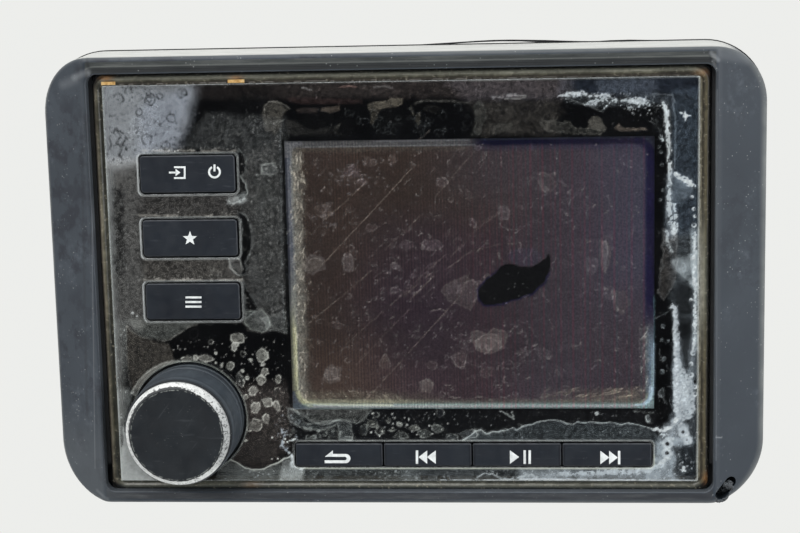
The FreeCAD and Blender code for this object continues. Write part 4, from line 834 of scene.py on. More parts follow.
def metal(name, a, b, scale=300, rough=(0.3, 0.45), stretch=None, bump=0.15):
    g = Mat(name)
    base = g.ramp(g.noise(scale, 4, 0.6, stretch=stretch), [(0.3, a), (0.7, b)])
    return g.done(g.shader(Base_Color=base, Metallic=1.0, Roughness=g.span(g.noise(scale * 3, 3, stretch=stretch), 0.3, 0.7, *rough),
                           Normal=g.bump(g.noise(scale * 6, 3, stretch=stretch), bump, 0.00004)))


def make_powder():
    g = Mat("case_powder_coat")
    base = g.ramp(g.noise(70, 4), [(0.3, lin(48, 50, 52)), (0.7, lin(62, 64, 66))])
    salt = g.math("MULTIPLY", g.span(g.noise(220, 6, 0.7), 0.58, 0.72, soft=True), 0.4)
    base = g.mix(salt, base, lin(140, 142, 138))
    return g.done(g.shader(Base_Color=base, Roughness=g.span(g.noise(600, 3), 0.3, 0.7, 0.5, 0.7),
                           Normal=g.bump(g.cells(2200), 0.35, 0.00008)))


def make_sink():
    g = Mat("sink_anodised")
    base = g.ramp(g.noise(50, 4), [(0.3, lin(46, 47, 50)), (0.7, lin(60, 61, 64))])
    streak = g.noise(700, 3, 0.6, stretch=(1.0, 1.0, 0.05))
    base = g.mix(g.math("MULTIPLY", g.span(streak, 0.4, 0.7), 0.35), base, lin(78, 79, 82))
    bloom = g.math("MULTIPLY", g.span(g.noise(260, 6, 0.7), 0.60, 0.72, soft=True), 0.5)
    base = g.mix(bloom, base, lin(168, 170, 166))
    return g.done(g.shader(Base_Color=base, Metallic=0.55, Roughness=g.span(streak, 0.3, 0.7, 0.38, 0.55),
                           Normal=g.bump(streak, 0.2, 0.00005)))


def make_gasket():
    g = Mat("foam_gasket")
    pores = g.cells(2600)
    base = g.ramp(g.noise(200, 4), [(0.3, lin(24, 25, 27)), (0.7, lin(42, 43, 44))])
    base = g.mix(g.span(g.noise(420, 5, 0.7), 0.6, 0.72, 0.0, 0.5), base, lin(110, 112, 110))
    return g.done(g.shader(Base_Color=base, Roughness=0.85, Specular_IOR_Level=0.2,
                           Normal=g.bump(pores, 0.6, 0.0002)))


def make_board():
    g = Mat("board_green")
    base = g.ramp(g.noise(60, 3), [(0.3, (0.010, 0.060, 0.028)), (0.7, (0.016, 0.085, 0.040))])
    tracks = g.cells(420, "DISTANCE_TO_EDGE")
    base = g.mix(g.span(tracks, 0.06, 0.02), base, (0.03, 0.13, 0.06))
    return g.done(g.shader(Base_Color=base, Roughness=g.span(g.noise(300, 2), 0.3, 0.7, 0.25, 0.4),
                           Normal=g.bump(tracks, 0.2, 0.00005)))


BY_SLOT = {
    "trim_satin": make_trim(),
    "lens_clear": make_lens(),
    "mask_black": make_mask(),
    "bond_amber": make_bond(),
    "foam_dark": make_gasket(),
    "screen_glass": plastic("glass_dark", lin(60, 46, 50), lin(70, 58, 62), 120),
    "sheet_steel": metal("steel_sheet", (0.48, 0.48, 0.47), (0.62, 0.62, 0.60), 200, stretch=(1, 1, 0.1)),
    "diffuser": plastic("diffuser_white", (0.70, 0.70, 0.68), (0.80, 0.80, 0.78), 100),
    "flex_orange": plastic("flex_amber", (0.36, 0.15, 0.04), (0.50, 0.22, 0.06), 200, rough=(0.3, 0.45)),
    "frame_black": plastic("frame_moulded", lin(34, 35, 37), lin(48, 49, 50), 220),
    "key_navy": make_key(),
    "silicone_grey": plastic("silicone", lin(104, 105, 107), lin(122, 122, 124), 150, rough=(0.6, 0.75)),
    "switch_black": plastic("switch_moulded", lin(36, 36, 36), lin(50, 50, 50), 300),
    "led_white": plastic("light_window", (0.78, 0.78, 0.70), (0.88, 0.88, 0.80), 400, rough=(0.2, 0.35)),
    "board_green": make_board(),
    "zinc_screw": metal("zinc_plate", (0.42, 0.42, 0.40), (0.58, 0.57, 0.54), 500),
    "stainless_screw": metal("stainless", (0.50, 0.50, 0.50), (0.66, 0.66, 0.66), 500),
    "knob_black": make_knob("knob_side", False),
    "knob_bright": make_ring(),
    "case_grey": make_powder(),
    "sink_anodised": make_sink(),
    "seal_black": make_gasket(),
    "chip_black": plastic("package_black", lin(32, 32, 33), lin(44, 44, 45), 300),
    "cap_sleeve": plastic("sleeve_blue", lin(38, 52, 92), lin(50, 66, 108), 200, rough=(0.25, 0.4)),
    "ferrite_grey": plastic("ferrite", lin(70, 70, 70), lin(92, 92, 90), 500, rough=(0.6, 0.8)),
    "nickel": metal("nickel_plate", (0.50, 0.48, 0.44), (0.66, 0.64, 0.58), 400, (0.22, 0.38)),
    "socket_black": plastic("connector_black", lin(34, 34, 35), lin(48, 48, 49), 260, bump=0.35, grain_scale=1800),
}
SLOT_OF = {p["node"]: p["material_slot"] for p in frame["record"]["subparts"]}
for name in NODES:
    wear(name, BY_SLOT[SLOT_OF[name]])
wear("knob_cap", make_knob("knob_face", True))


# ------------------------------------------------------------ mesh helpers --
def add_mesh(name, verts, faces, material, smooth_faces=False):
    me = bpy.data.meshes.new(name)
    me.from_pydata([tuple(v) for v in verts], [], faces)
    me.update()
    me.materials.append(material)
    if smooth_faces:
        me.shade_smooth()
    o = bpy.data.objects.new(name, me)
    bpy.context.scene.collection.objects.link(o)
    return o


def lines_between(stops, step):
    """Grid lines that hit every stop, about a step apart."""
    out = [stops[0]]
    for a, b in zip(stops[:-1], stops[1:]):
        n = max(1, int(round((b - a) / step)))
        out += [a + (b - a) * k / n for k in range(1, n + 1)]
    return out


def close_grid(name, sheet, keep, front, back_y, material, attr, rgba):
    """A closed piece from a sheet: front(j, i) grid with relief, side strip and flat back.
    keep is the mask of its cells, X and Z of the sheet may have been moved."""
    ny, nx = sheet.X.shape
    used = np.zeros((ny, nx), bool)
    used[:-1, :-1] |= keep
    used[1:, :-1] |= keep
    used[:-1, 1:] |= keep
    used[1:, 1:] |= keep
    index = -np.ones((ny, nx), int)
    index[used] = np.arange(used.sum())
    co = np.stack([sheet.X[used], front[used], sheet.Z[used]], -1) * MM
    jj, ii = np.nonzero(keep)
    quads = np.stack([index[jj, ii], index[jj, ii + 1], index[jj + 1, ii + 1], index[jj + 1, ii]], -1)
    me = bpy.data.meshes.new(name)
    n_v, n_f = len(co), len(quads)
    me.vertices.add(n_v)
    me.vertices.foreach_set("co", co.astype(np.float32).ravel())
    me.loops.add(n_f * 4)
    me.loops.foreach_set("vertex_index", quads.astype(np.int32).ravel())
    me.polygons.add(n_f)
    me.polygons.foreach_set("loop_start", np.arange(0, n_f * 4, 4, dtype=np.int32))
    me.update(calc_edges=True)
    layer = me.color_attributes.new(attr, "FLOAT_COLOR", "POINT")
    layer.data.foreach_set("color", rgba[used].astype(np.float32).ravel())
    me.validate()
    bm = bmesh.new()
    bm.from_mesh(me)
    rim = [e for e in bm.edges if e.is_boundary]
    made = bmesh.ops.extrude_edge_only(bm, edges=rim)["geom"]
    tint = bm.verts.layers.float_color[attr]
    for v in (g for g in made if isinstance(g, bmesh.types.BMVert)):
        v.co.y = back_y * MM
        v[tint] = (v[tint][0], v[tint][1], v[tint][2], 0.0)
    back = [g for g in made if isinstance(g, bmesh.types.BMEdge) and g.is_boundary]
    bmesh.ops.triangle_fill(bm, edges=back, use_beauty=False, use_dissolve=False)
    bmesh.ops.recalc_face_normals(bm, faces=bm.faces)
    bm.to_mesh(me)
    bm.free()
    me.materials.append(material)
    me.shade_smooth()
    o = bpy.data.objects.new(name, me)
    bpy.context.scene.collection.objects.link(o)
    return o


def plate(name, loops, y_back, y_front, material, bevel=0.0):
    """Flat shapes of outlines (x, z in mm), raised from y_back to y_front."""
    bm = bmesh.new()
    for pts in loops:
        vs = [bm.verts.new((x * MM, y_front * MM, z_ * MM)) for x, z_ in pts]
        try:
            bm.faces.new(vs)
        except ValueError:
            continue
    made = bmesh.ops.extrude_face_region(bm, geom=list(bm.faces))
    for v in (g for g in made["geom"] if isinstance(g, bmesh.types.BMVert)):
        v.co.y = y_back * MM
    bmesh.ops.recalc_face_normals(bm, faces=bm.faces)
    bmesh.ops.triangulate(bm, faces=[f for f in bm.faces if len(f.verts) > 4])
    me = bpy.data.meshes.new(name)
    bm.to_mesh(me)
    bm.free()
    me.materials.append(material)
    o = bpy.data.objects.new(name, me)
    bpy.context.scene.collection.objects.link(o)
    return o


# ------------------------------------------------- the stained front face --
def hole_sdf(x, z, box):
    """Distance to a rounded rectangle (x0, x1, z0, z1, radius), positive outside."""
    x0, x1, z0, z1, r = box
    qx = np.abs(x - (x0 + x1) / 2) - (x1 - x0) / 2 + r
    qz = np.abs(z - (z0 + z1) / 2) - (z1 - z0) / 2 + r
    return np.hypot(np.maximum(qx, 0), np.maximum(qz, 0)) + np.minimum(np.maximum(qx, qz), 0) - r


def pull(sheet, sdf, reach, inside=False):
    """Draws the grid points near an outline onto it and returns the cells outside (or inside) it."""
    e = 1e-3
    d = sdf(sheet.X, sheet.Z)
    gx_ = (sdf(sheet.X + e, sheet.Z) - sdf(sheet.X - e, sheet.Z)) / (2 * e)
    gz_ = (sdf(sheet.X, sheet.Z + e) - sdf(sheet.X, sheet.Z - e)) / (2 * e)
    near = np.abs(d) < reach
    sheet.X = np.where(near, sheet.X - d * gx_, sheet.X)
    sheet.Z = np.where(near, sheet.Z - d * gz_, sheet.Z)
    d = sdf(sheet.X, sheet.Z)
    ok = d < 2e-3 if inside else d > -2e-3
    return ok[:-1, :-1] & ok[1:, :-1] & ok[:-1, 1:] & ok[1:, 1:]


LENS_Z = -0.65
PAD_W, PAD_H = 58.74, 40.49
KEY_X = (-52.0 - 0.15, -32.36 + 0.15)
KEY_TOPS = [26.03 - 12.92 * i for i in range(3)]
KEY_TALL = 7.9
SLOT = (-22.6 - 0.15, 49.75 + 0.15, -38.23 - 0.15, -33.03 + 0.15)
KNOB = (-43.94, -27.94, 11.67 + 0.05)
STEP = 0.20
FACE_Y = -13.5

KEY_HOLES = [(KEY_X[0], KEY_X[1], t - KEY_TALL - 0.15, t + 0.15, 0.95) for t in KEY_TOPS]
SLOT_HOLE = (SLOT[0], SLOT[1], SLOT[2], SLOT[3], 0.85)
xs = lines_between([-PAD_W, KEY_X[0], KEY_X[1], SLOT[0], SLOT[1], PAD_W], STEP)
z_stops = [LENS_Z - PAD_H, SLOT[2], SLOT[3]]
for t in sorted(KEY_TOPS):
    z_stops += [t - KEY_TALL - 0.15, t + 0.15]
z_stops.append(LENS_Z + PAD_H)
zs = lines_between(z_stops, STEP)
film = Sheet(xs, zs, FACE_Y - 0.02)
B = Brush(film)
U, V = film.U, film.V

# --- broad haze and painted reflections ---------------------------------
# painted reflection: the pale and bluish haze in the top left corner stands for a reflection in the lens
B.zone([(99, 82), (198, 82), (196, 98), (191, 120), (183, 138), (176, 152), (150, 154), (136, 164), (99, 168)],
       (122, 126, 130), soft=8, rough=3, size=16, mottle=0.14, mottle_size=12)
B.zone([(146, 96), (194, 90), (188, 120), (176, 148), (140, 156), (138, 120)], (58, 64, 76), soft=9, rough=4, mottle=0.14, mottle_size=12)
B.zone([(99, 82), (150, 82), (150, 150), (125, 170), (99, 172)], (60, 62, 64), soft=14, rough=4, mottle=0.2)
B.zone([(99, 160), (140, 160), (142, 330), (128, 332), (120, 484), (100, 484)], (101, 101, 99), soft=6, rough=3, size=14,
       mottle=0.16, mottle_size=10)
B.zone([(103, 170), (114, 170), (120, 480), (110, 480)], (72, 77, 79), soft=4, rough=1.5, mottle=0.25, mottle_size=8)
B.clear([(113, 188), (125, 190), (127, 236), (126, 276), (116, 274), (114, 230)], 0.20, soft=2.5, rough=3.0)
B.dots([(113, 188), (126, 188), (127, 276), (115, 276)], 110, 0.25, 0.65, (126, 131, 130), 0.6)
B.zone([(138, 155), (245, 155), (280, 140), (290, 420), (250, 420), (246, 330), (140, 325)], (50, 49, 47), soft=6, rough=4,
       mottle=0.5, mottle_size=14)
B.zone([(205, 112), (285, 118), (286, 330), (262, 332), (250, 300), (240, 200), (236, 150), (182, 148), (196, 128)],
       (58, 60, 60), soft=4, rough=3, mottle=0.5, mottle_size=10)
B.zone([(195, 80), (575, 76), (572, 96), (195, 98)], (54, 49, 47), soft=5, rough=2, mottle=0.4, mottle_size=14)
B.zone([(440, 80), (565, 78), (560, 100), (470, 101)], (64, 61, 65), soft=6, rough=3, mottle=0.3)
# painted reflection: the bluish slate along the top right and down the right margin stands for a reflection of a bluish
# surround
B.zone([(560, 78), (702, 76), (702, 92), (560, 93)], (40, 47, 58), soft=5, rough=2, mottle=0.3, mottle_size=18)
B.zone([(672, 90), (700, 88), (700, 235), (672, 235)], (60, 70, 80), soft=4, rough=2, mottle=0.4, mottle_size=12)
B.zone([(668, 235), (700, 230), (699, 345), (676, 345)], (66, 72, 76), soft=6, rough=3, mottle=0.6, mottle_size=10)
B.zone([(672, 340), (699, 330), (698, 445), (670, 445)], (70, 76, 81), soft=6, rough=3, mottle=0.5, mottle_size=8)
B.zone([(655, 440), (698, 440), (697, 484), (640, 484)], (74, 82, 88), soft=6, rough=3, mottle=0.5, mottle_size=8)
B.zone([(225, 466), (420, 468), (420, 485), (225, 485)], (72, 76, 76), soft=4, rough=2, mottle=0.45, mottle_size=8)
B.zone([(400, 468), (560, 468), (560, 485), (400, 485)], (74, 79, 81), soft=6, rough=2, mottle=0.5, mottle_size=8)
B.zone([(520, 468), (680, 466), (680, 484), (520, 484)], (118, 125, 130), soft=7, rough=2, mottle=0.5, mottle_size=7)
B.zone([(285, 408), (470, 410), (668, 410), (668, 442), (285, 442)], (22, 23, 24), soft=4, rough=2, mottle=0.4)

# --- top left marks -----------------------------------------------------
for u, v, r in ((118, 99, 5), (150, 100, 5.5), (149, 99, 3), (182, 93, 4.5), (136, 130, 2.2), (147, 139, 5), (184, 92, 2.5),
                (128, 91, 3), (171, 118, 4), (208, 92, 4), (166, 146, 4), (160, 96, 3), (139, 112, 3.4)):
    B.dark_ring(u, v, r, 0.7, 0.48, rough=1.4, gaps=0.38)
B.dark_line([(113, 133), (117, 129), (120, 137), (116, 143), (121, 148), (118, 155), (124, 160)], 1.0, 0.5, rough=2)
B.dark_line([(121, 131), (126, 138), (122, 144), (127, 150)], 0.9, 0.5, rough=2)
B.dark_line([(109, 137), (112, 144), (109, 150)], 0.8, 0.45, rough=1.5)
B.dots([(102, 84), (195, 84), (190, 130), (140, 168), (102, 172)], 260, 0.3, 0.9, (40, 42, 46), 0.0)
rs = np.random.RandomState(5)
for k in range(230):
    u0, v0 = rs.uniform(103, 192), rs.uniform(86, 165)
    B.dark_ring(u0, v0, rs.uniform(0.3, 0.8), 0.45, rs.uniform(0.14, 0.44), gaps=0.0, rough=0.2)
for k in range(26):
    B.dark_ring(rs.uniform(106, 190), rs.uniform(90, 150), rs.uniform(1.6, 3.6), 0.5, rs.uniform(0.15, 0.34), rough=1.2, gaps=0.45)
B.clear([(197, 84), (272, 84), (272, 104), (262, 108), (248, 112), (233, 116), (204, 112), (196, 120)], 0.55, soft=6, rough=3)
# column left of the keys: dark scribbles and a pale strip
B.dark_line([(115, 192), (120, 196), (116, 205), (121, 212), (116, 222), (121, 230), (117, 240), (121, 250), (117, 262),
             (120, 274)], 3.0, 0.55, rough=3.5, size=3)
B.dark_line([(119, 190), (124, 205), (120, 225), (124, 245), (121, 268)], 2.0, 0.5, rough=3.5, size=3)
B.line([(107, 176), (109, 230), (110, 300), (113, 380), (118, 478)], (118, 124, 126), 1.6, 0.8, 20, gaps=0.35, amount=0.25)
B.line([(104, 176), (107, 300), (112, 400), (116, 478)], (96, 101, 103), 1.0, 0.5, 20, gaps=0.3, amount=0.4)

# --- around the function keys -----------------------------------------
B.zone([(140, 194), (236, 195), (240, 214), (142, 214)], (58, 57, 56), soft=3, rough=2, mottle=0.5, mottle_size=9)
B.zone([(142, 258), (228, 259), (232, 268), (240, 275), (244, 282), (144, 281)], (64, 62, 59), soft=3, rough=2, mottle=0.5,
       mottle_size=7)
for v, u0, u1 in ((150.5, 138, 236), (215.5, 140, 240), (279.5, 144, 243)):
    B.line([(u0, v), (u1, v + 0.6)], (132, 130, 124), 1.3, 1.0, 5, gaps=0.42, amount=0.8)
    B.dots([(u0, v - 4), (u1, v - 4), (u1, v + 1), (u0, v + 1)], 40, 0.3, 0.9, (150, 148, 142), 0.7)
B.clear([(240, 150), (246, 158), (246, 172), (240, 176), (247, 186), (247, 196), (240, 202), (237, 196), (237, 152)], 0.9,
        soft=1.2, rough=1.8, size=4, edge=(94, 99, 98))
B.line([(240, 176), (246, 184), (248, 192), (244, 199), (238, 202), (232, 203), (226, 200)], (122, 127, 126), 0.65, 1.6, 4,
       gaps=0.35, amount=0.75)
B.zone([(228, 198), (246, 192), (247, 200), (236, 206), (226, 205)], (108, 112, 112), soft=2, rough=2, size=4, mottle=0.6,
       mottle_size=3)
B.clear([(238, 212), (244, 214), (250, 224), (252, 240), (251, 252), (246, 262), (246, 274), (240, 276), (232, 270),
         (230, 262), (240, 258), (242, 240), (241, 220)], 0.95, soft=1.0, rough=2, size=4, edge=(96, 100, 100))
B.clear([(243, 280), (247, 290), (253, 298), (258, 308), (252, 314), (246, 318), (245, 300)], 0.9, soft=1.2, rough=2, size=4,
        edge=(84, 88, 88))
B.zone([(228, 254), (240, 260), (244, 270), (240, 276), (230, 268)], (92, 92, 90), soft=1.2, rough=1.5, mottle=0.4,
       mottle_size=4, edge=(110, 112, 110))
for u, v, r, rv in ((262, 131, 6, 5), (255, 141, 5, 7), (266, 158, 4, 4), (269, 170, 7, 5), (252, 128, 5, 4), (249, 122, 3, 3),
                    (263, 205, 3, 3), (277, 136, 3, 3), (226, 128, 4, 3), (210, 126, 3, 3), (275, 200, 3, 4), (268, 230, 4, 4),
                    (273, 250, 5, 6), (262, 260, 4, 4), (276, 285, 4, 5), (240, 132, 5, 4), (268, 295, 5, 6), (258, 182, 4, 3),
                    (275, 215, 3, 4), (222, 137, 4, 3), (232, 122, 3, 3)):
    B.ring(u, v, r, (96, 99, 99), 0.7, rv=rv, amount=0.55, gaps=0.42)
B.zone([(262, 165), (275, 163), (277, 172), (270, 176), (262, 173)], (70, 73, 72), soft=1, rough=1.2, edge=(96, 99, 97),
       mottle=0.3)
B.zone([(264, 105), (272, 101), (281, 103), (287, 109), (283, 116), (280, 128), (276, 134), (266, 130), (262, 118)],
       (84, 82, 76), soft=2.2, rough=1.6, size=5, mottle=0.4, amount=0.75)
B.line([(264, 112), (265, 106), (269, 102), (276, 101.5), (284, 104), (289, 109)], (114, 113, 108), 0.65, 0.6, 5, gaps=0.25)
B.dots([(200, 112), (284, 120), (286, 330), (246, 318), (248, 210), (238, 152)], 420, 0.25, 0.9, (150, 152, 150), 0.55)
for k in range(60):
    u0, v0 = rs.uniform(205, 282), rs.uniform(118, 300)
    if u0 < 248 and 150 < v0 < 320:
        continue
    B.ring(u0, v0, rs.uniform(0.9, 2.4), (104, 106, 104), 0.5, amount=0.5, gaps=0.3)
for k in range(34):
    B.ring(rs.uniform(146, 226), rs.uniform(260, 276), rs.uniform(0.8, 2.0), (112, 110, 104), 0.5, amount=0.6, gaps=0.3)
for k in range(16):
    B.ring(rs.uniform(146, 226), rs.uniform(198, 212), rs.uniform(0.8, 2.0), (96, 92, 88), 0.5, amount=0.5, gaps=0.3)
# thin upright scratches left of the screen
B.line([(280, 128), (281, 180), (282, 260), (284, 335)], (84, 90, 92), 0.7, 0.5, 12, gaps=0.4, amount=0.7)
B.line([(285.5, 140), (286.5, 240), (289, 330)], (70, 76, 80), 0.6, 0.4, 12, gaps=0.45, amount=0.6)

# --- below the keys and round the knob ---------------------------------
B.zone([(104, 318), (128, 322), (127, 352), (126, 392), (110, 392)], (56, 60, 59), soft=2.5, rough=1.5, mottle=0.35, mottle_size=6)
B.zone([(112, 392), (128, 388), (134, 392), (128, 410), (122, 440), (128, 465), (146, 479), (165, 485),
        (100, 485)], (104, 108, 107), soft=2.5, rough=1.5, mottle=0.35, mottle_size=8)
B.zone([(128, 318), (203, 322), (197, 323), (190, 326), (181, 332), (173, 338), (165, 340), (152, 338), (143, 337),
        (134, 331)], (88, 91, 88), soft=2, rough=1.2, mottle=0.4, mottle_size=7)
B.clear([(127, 325), (133, 332), (143, 338), (155, 341), (166, 342), (174, 338), (181, 333), (191, 326), (198, 323),
         (244, 323), (247, 331), (262, 334), (275, 330), (287, 334), (292, 410), (284, 452), (275, 463), (265, 469),
         (250, 469), (240, 463), (228, 459), (222, 440), (226, 400), (196, 366), (166, 364), (142, 390), (131, 390),
         (127, 360)], 1.0, soft=1.0, rough=1.0, size=7)
B.zone([(127, 326), (134, 333), (144, 339), (156, 342), (168, 343), (172, 352), (176, 366), (158, 368), (142, 390), (132, 389),
        (128, 360)], (76, 73, 68), soft=1.2, rough=0.8, mottle=0.12, mottle_size=12)
B.line([(127, 326), (130, 330), (134, 332.5), (141, 336.5), (152, 339.5), (163, 341), (170, 339.5), (176, 335.5), (183, 331),
        (190, 326.5), (197, 324.5)], (122, 122, 117), 0.8, 0.7, 6, gaps=0.2, amount=0.7)
B.line([(127, 326), (126.5, 345), (127.5, 365), (130.5, 386), (134, 391)], (96, 96, 92), 0.8, 0.6, 6, gaps=0.25, amount=0.8)
# scraped crescent over the knob's upper left
B.zone([(131, 393), (137, 382), (148, 371), (162, 363), (178, 360), (184, 364), (168, 369), (154, 378), (145, 388), (138, 398)],
       (108, 110, 107), soft=1.0, rough=1.0, size=4, edge=(114, 116, 112), mottle=0.25, mottle_size=4)
B.zone([(228, 388), (284, 384), (292, 402), (288, 450), (275, 462), (256, 468), (243, 465), (229, 458), (224, 430)],
       (70, 65, 62), soft=8, rough=2, mottle=0.14, mottle_size=9)
B.zone([(246, 312), (262, 310), (268, 318), (270, 326), (262, 333), (252, 330), (245, 322)], (80, 84, 82), soft=1.2, rough=1.5,
       edge=(98, 102, 98), mottle=0.4, mottle_size=5)
B.zone([(262, 318), (286, 312), (287, 334), (277, 331), (268, 330)], (62, 65, 64), soft=2, rough=1.5, mottle=0.4,
       edge=(84, 86, 84))
B.line([(222, 458), (230, 459.5), (238, 463), (245, 468), (254, 470), (264, 469), (271, 465), (279, 462), (284, 458.5),
        (292, 456)], (168, 172, 166), 0.8, 0.6, 7, gaps=0.15)
B.zone([(224, 460), (238, 464), (246, 469), (258, 471), (268, 468), (280, 462), (292, 458), (304, 462), (304, 484),
        (214, 484), (218, 470)], (90, 93, 91), soft=1.2, rough=1.2, mottle=0.4, mottle_size=6)
FL = (150, 151, 145)
for u, v, r, rv, t, f in (
        (237, 338, 9, 7, 0.2, (118, 118, 112)), (235, 346, 4, 5, 0.2, (140, 141, 136)), (211, 342, 3, 2.6, 0, None),
        (262, 355, 7.5, 8, 0.3, (122, 123, 117)), (206, 359, 9, 4.5, 0.1, (122, 122, 116)), (187, 359, 7, 3.5, -0.1, (120, 120, 114)),
        (196, 358, 3, 4, 0, (130, 130, 124)), (230, 366, 4, 5.5, 0.2, (112, 114, 108)), (264, 372, 4.5, 5, 0.2, (124, 124, 118)),
        (261, 380, 5.5, 6, -0.4, (124, 124, 118)), (278, 379, 3, 5, 0.1, (104, 104, 98)), (277, 390, 3, 4, 0.4, None),
        (253, 391, 5.5, 6, 0.5, (128, 128, 122)), (246, 397, 3, 3, 0, (112, 112, 106)), (256, 408, 5.5, 7, 0.3, (124, 124, 118)),
        (267, 402, 6, 6.5, 0.2, (116, 116, 110)), (277, 406, 4, 7, -0.4, (112, 112, 106)), (266, 419, 4.5, 5.5, 0.2, (110, 110, 104)),
        (255, 425, 7, 8, 0.2, (100, 100, 94)), (249, 427, 4, 5, 0.2, None), (243, 354, 3.4, 3.4, 0, None), (251, 360, 2, 2, 0, FL),
        (247, 378, 2.4, 2.4, 0, FL), (242, 371, 1.8, 1.8, 0, FL), (222, 365, 1.6, 2.2, 0, FL), (216, 353, 1.6, 1.6, 0, FL),
        (263, 364, 2.6, 2.2, 0, (120, 120, 116)), (240, 380, 5, 8, -0.5, (72, 74, 72)), (246, 441, 1.4, 1.4, 0, FL),
        (241, 444, 1.3, 1.3, 0, FL), (216, 363, 1.2, 1.2, 0, FL)):
    B.ring(u, v, r * 0.95, (158, 160, 154), 0.7, fill=None if f is None else tuple(q + 18 for q in f), rv=rv * 0.95, turn=t,
           rough=1.6, gaps=0.36, amount=0.85, rise=0.05)
B.dots([(172, 340), (285, 335), (290, 440), (240, 450), (226, 390), (200, 352), (172, 350)], 120, 0.25, 0.9, (170, 170, 164), 0.8,
       rise=0.03)
B.ring(194, 334, 5, (60, 58, 60), 0.6, rv=6, gaps=0.4, amount=0.6)
B.dots([(104, 325), (128, 330), (126, 395), (116, 470), (108, 470)], 90, 0.25, 0.8, (150, 155, 155), 0.7)
B.ring(132.5, 313.5, 1.3, (170, 176, 176), 0.8, gaps=0)
# painted light: the face at the knob's lower left is painted paler to cancel the knob's shadow there
B.zone([(124, 426), (129, 440), (134, 456), (143, 469), (156, 479), (160, 482), (118, 482)], (164, 168, 167), soft=2.0, rough=1.4,
       mottle=0.25, mottle_size=6, amount=0.9)
B.ring(137, 316.5, 0.9, (150, 156, 156), 0.7, gaps=0)

# --- between screen and transport slot ----------------------------------
B.zone([(293, 409), (300, 414), (306, 424), (320, 422), (330, 420), (345, 420), (352, 425), (352, 441), (340, 440),
        (338, 424), (322, 430), (300, 428), (290, 420), (286, 408)], (72, 76, 76), soft=1.2, rough=2, size=5,
       edge=(104, 108, 106), mottle=0.5, mottle_size=5)
for u, v, r, rv, t, f in (
        (372, 424, 6, 4, 0.2, (86, 88, 84)), (399, 424.5, 4, 2.6, 0.5, (140, 142, 138)), (414, 428, 6, 3, -0.1, (120, 122, 118)),
        (425, 434, 7, 4.5, 0, (84, 88, 86)), (438, 429, 7, 4.5, 0.5, (92, 96, 94)), (402, 436, 8, 4, 0, (74, 77, 76)),
        (380, 431, 5, 5, 0.6, (70, 72, 70)), (364, 430, 4, 6, 0.3, (58, 62, 62)), (332, 432, 6, 5, 0, (60, 64, 64)),
        (316, 437, 6, 3, 0, (84, 88, 88)), (345, 438, 10, 2.5, 0, (64, 68, 68)), (452, 437, 8, 3.5, 0, (80, 85, 86)),
        (470, 434, 10, 5, -0.1, (78, 83, 85)), (388, 421, 3, 2, 0, (110, 112, 108)), (376, 415, 4, 3, 0, None),
        (392, 430.5, 4, 1.4, 0, (108, 110, 106)), (440, 412, 5, 6, 0, (34, 36, 40))):
    B.ring(u, v, r, (134, 138, 134), 0.7, fill=f, rv=rv, turn=t, rough=1.5, gaps=0.3, amount=0.8, rise=0.03)
B.dots([(366, 412), (450, 412), (450, 436), (366, 438)], 46, 0.3, 1.1, (190, 192, 186), 0.8)
B.dots([(288, 410), (664, 412), (664, 440), (288, 440)], 130, 0.2, 0.7, (160, 165, 165), 0.6)
B.zone([(463, 440), (472, 434), (482, 431), (492, 433), (505, 430), (518, 427), (530, 424), (545, 421), (556, 420),
        (566, 423), (573, 425), (578, 421), (590, 422), (606, 422), (620, 422), (634, 423), (645, 427), (654, 430),
        (660, 438), (662, 446), (668, 470), (300, 470), (300, 445), (440, 444)], (70, 77, 80), soft=1.2, rough=1.2, size=6,
       mottle=0.35, mottle_size=7, amount=0.8)
B.line([(463, 440), (470, 436), (475, 431), (481, 430), (486, 434), (492, 432), (498, 432), (506, 430), (513, 428),
        (517, 430), (523, 426), (532, 424), (541, 421), (552, 420), (560, 421), (567, 424), (573, 425), (577, 421.5),
        (583, 423), (592, 422), (600, 423), (612, 422), (621, 425), (628, 423), (640, 425), (650, 428.5), (658, 430)],
       (138, 144, 144), 0.6, 0.9, 4, gaps=0.24)
B.line([(463, 440), (470, 436), (475, 431), (481, 430), (486, 434), (492, 432), (498, 432), (506, 430), (513, 428),
        (523, 426)], (132, 137, 136), 1.6, 1.0, 4, gaps=0.42, amount=0.5)
for k in range(16):
    u0 = rs.uniform(480, 650)
    B.ring(u0, 428 + rs.uniform(0, 10), rs.uniform(1.6, 3.4), (104, 112, 116), 0.6, gaps=0.35, amount=0.6)
B.ring(648, 419, 2.6, (150, 156, 156), 0.8, fill=(84, 90, 92), rv=4, rough=1.2)
B.ring(597, 413.5, 1.8, (160, 165, 165), 0.7, fill=(140, 146, 146), rough=0.5)
B.line([(630, 411), (640, 412), (652, 413), (658, 411)], (120, 126, 124), 0.8, 1.2, 4, gaps=0.4)
B.line([(500, 411), (508, 415), (514, 419), (512, 412)], (132, 138, 136), 0.8, 1.2, 4, gaps=0.3)
B.zone([(290, 409), (372, 409), (368, 414), (364, 420), (357, 424), (352, 422), (342, 419), (336, 420), (330, 424), (320, 424),
        (310, 420), (302, 414), (294, 411)], (80, 82, 80), soft=1.0, rough=1.4, size=4, mottle=0.45, mottle_size=5, grit=0.4,
       edge=(96, 100, 98))
for u, v, r in ((305, 429, 1.8), (310, 429, 2.2), (308, 437, 2.4), (314, 437, 2.2), (318, 431, 1.6), (325, 434, 2.2), (333, 431, 1.6),
                (329, 438, 1.4), (341, 433, 1.8), (293, 431, 1.8), (290, 435, 1.4)):
    B.ring(u, v, r, (126, 130, 128), 0.6, fill=(82, 86, 84), rough=0.9, gaps=0.2, amount=0.8)
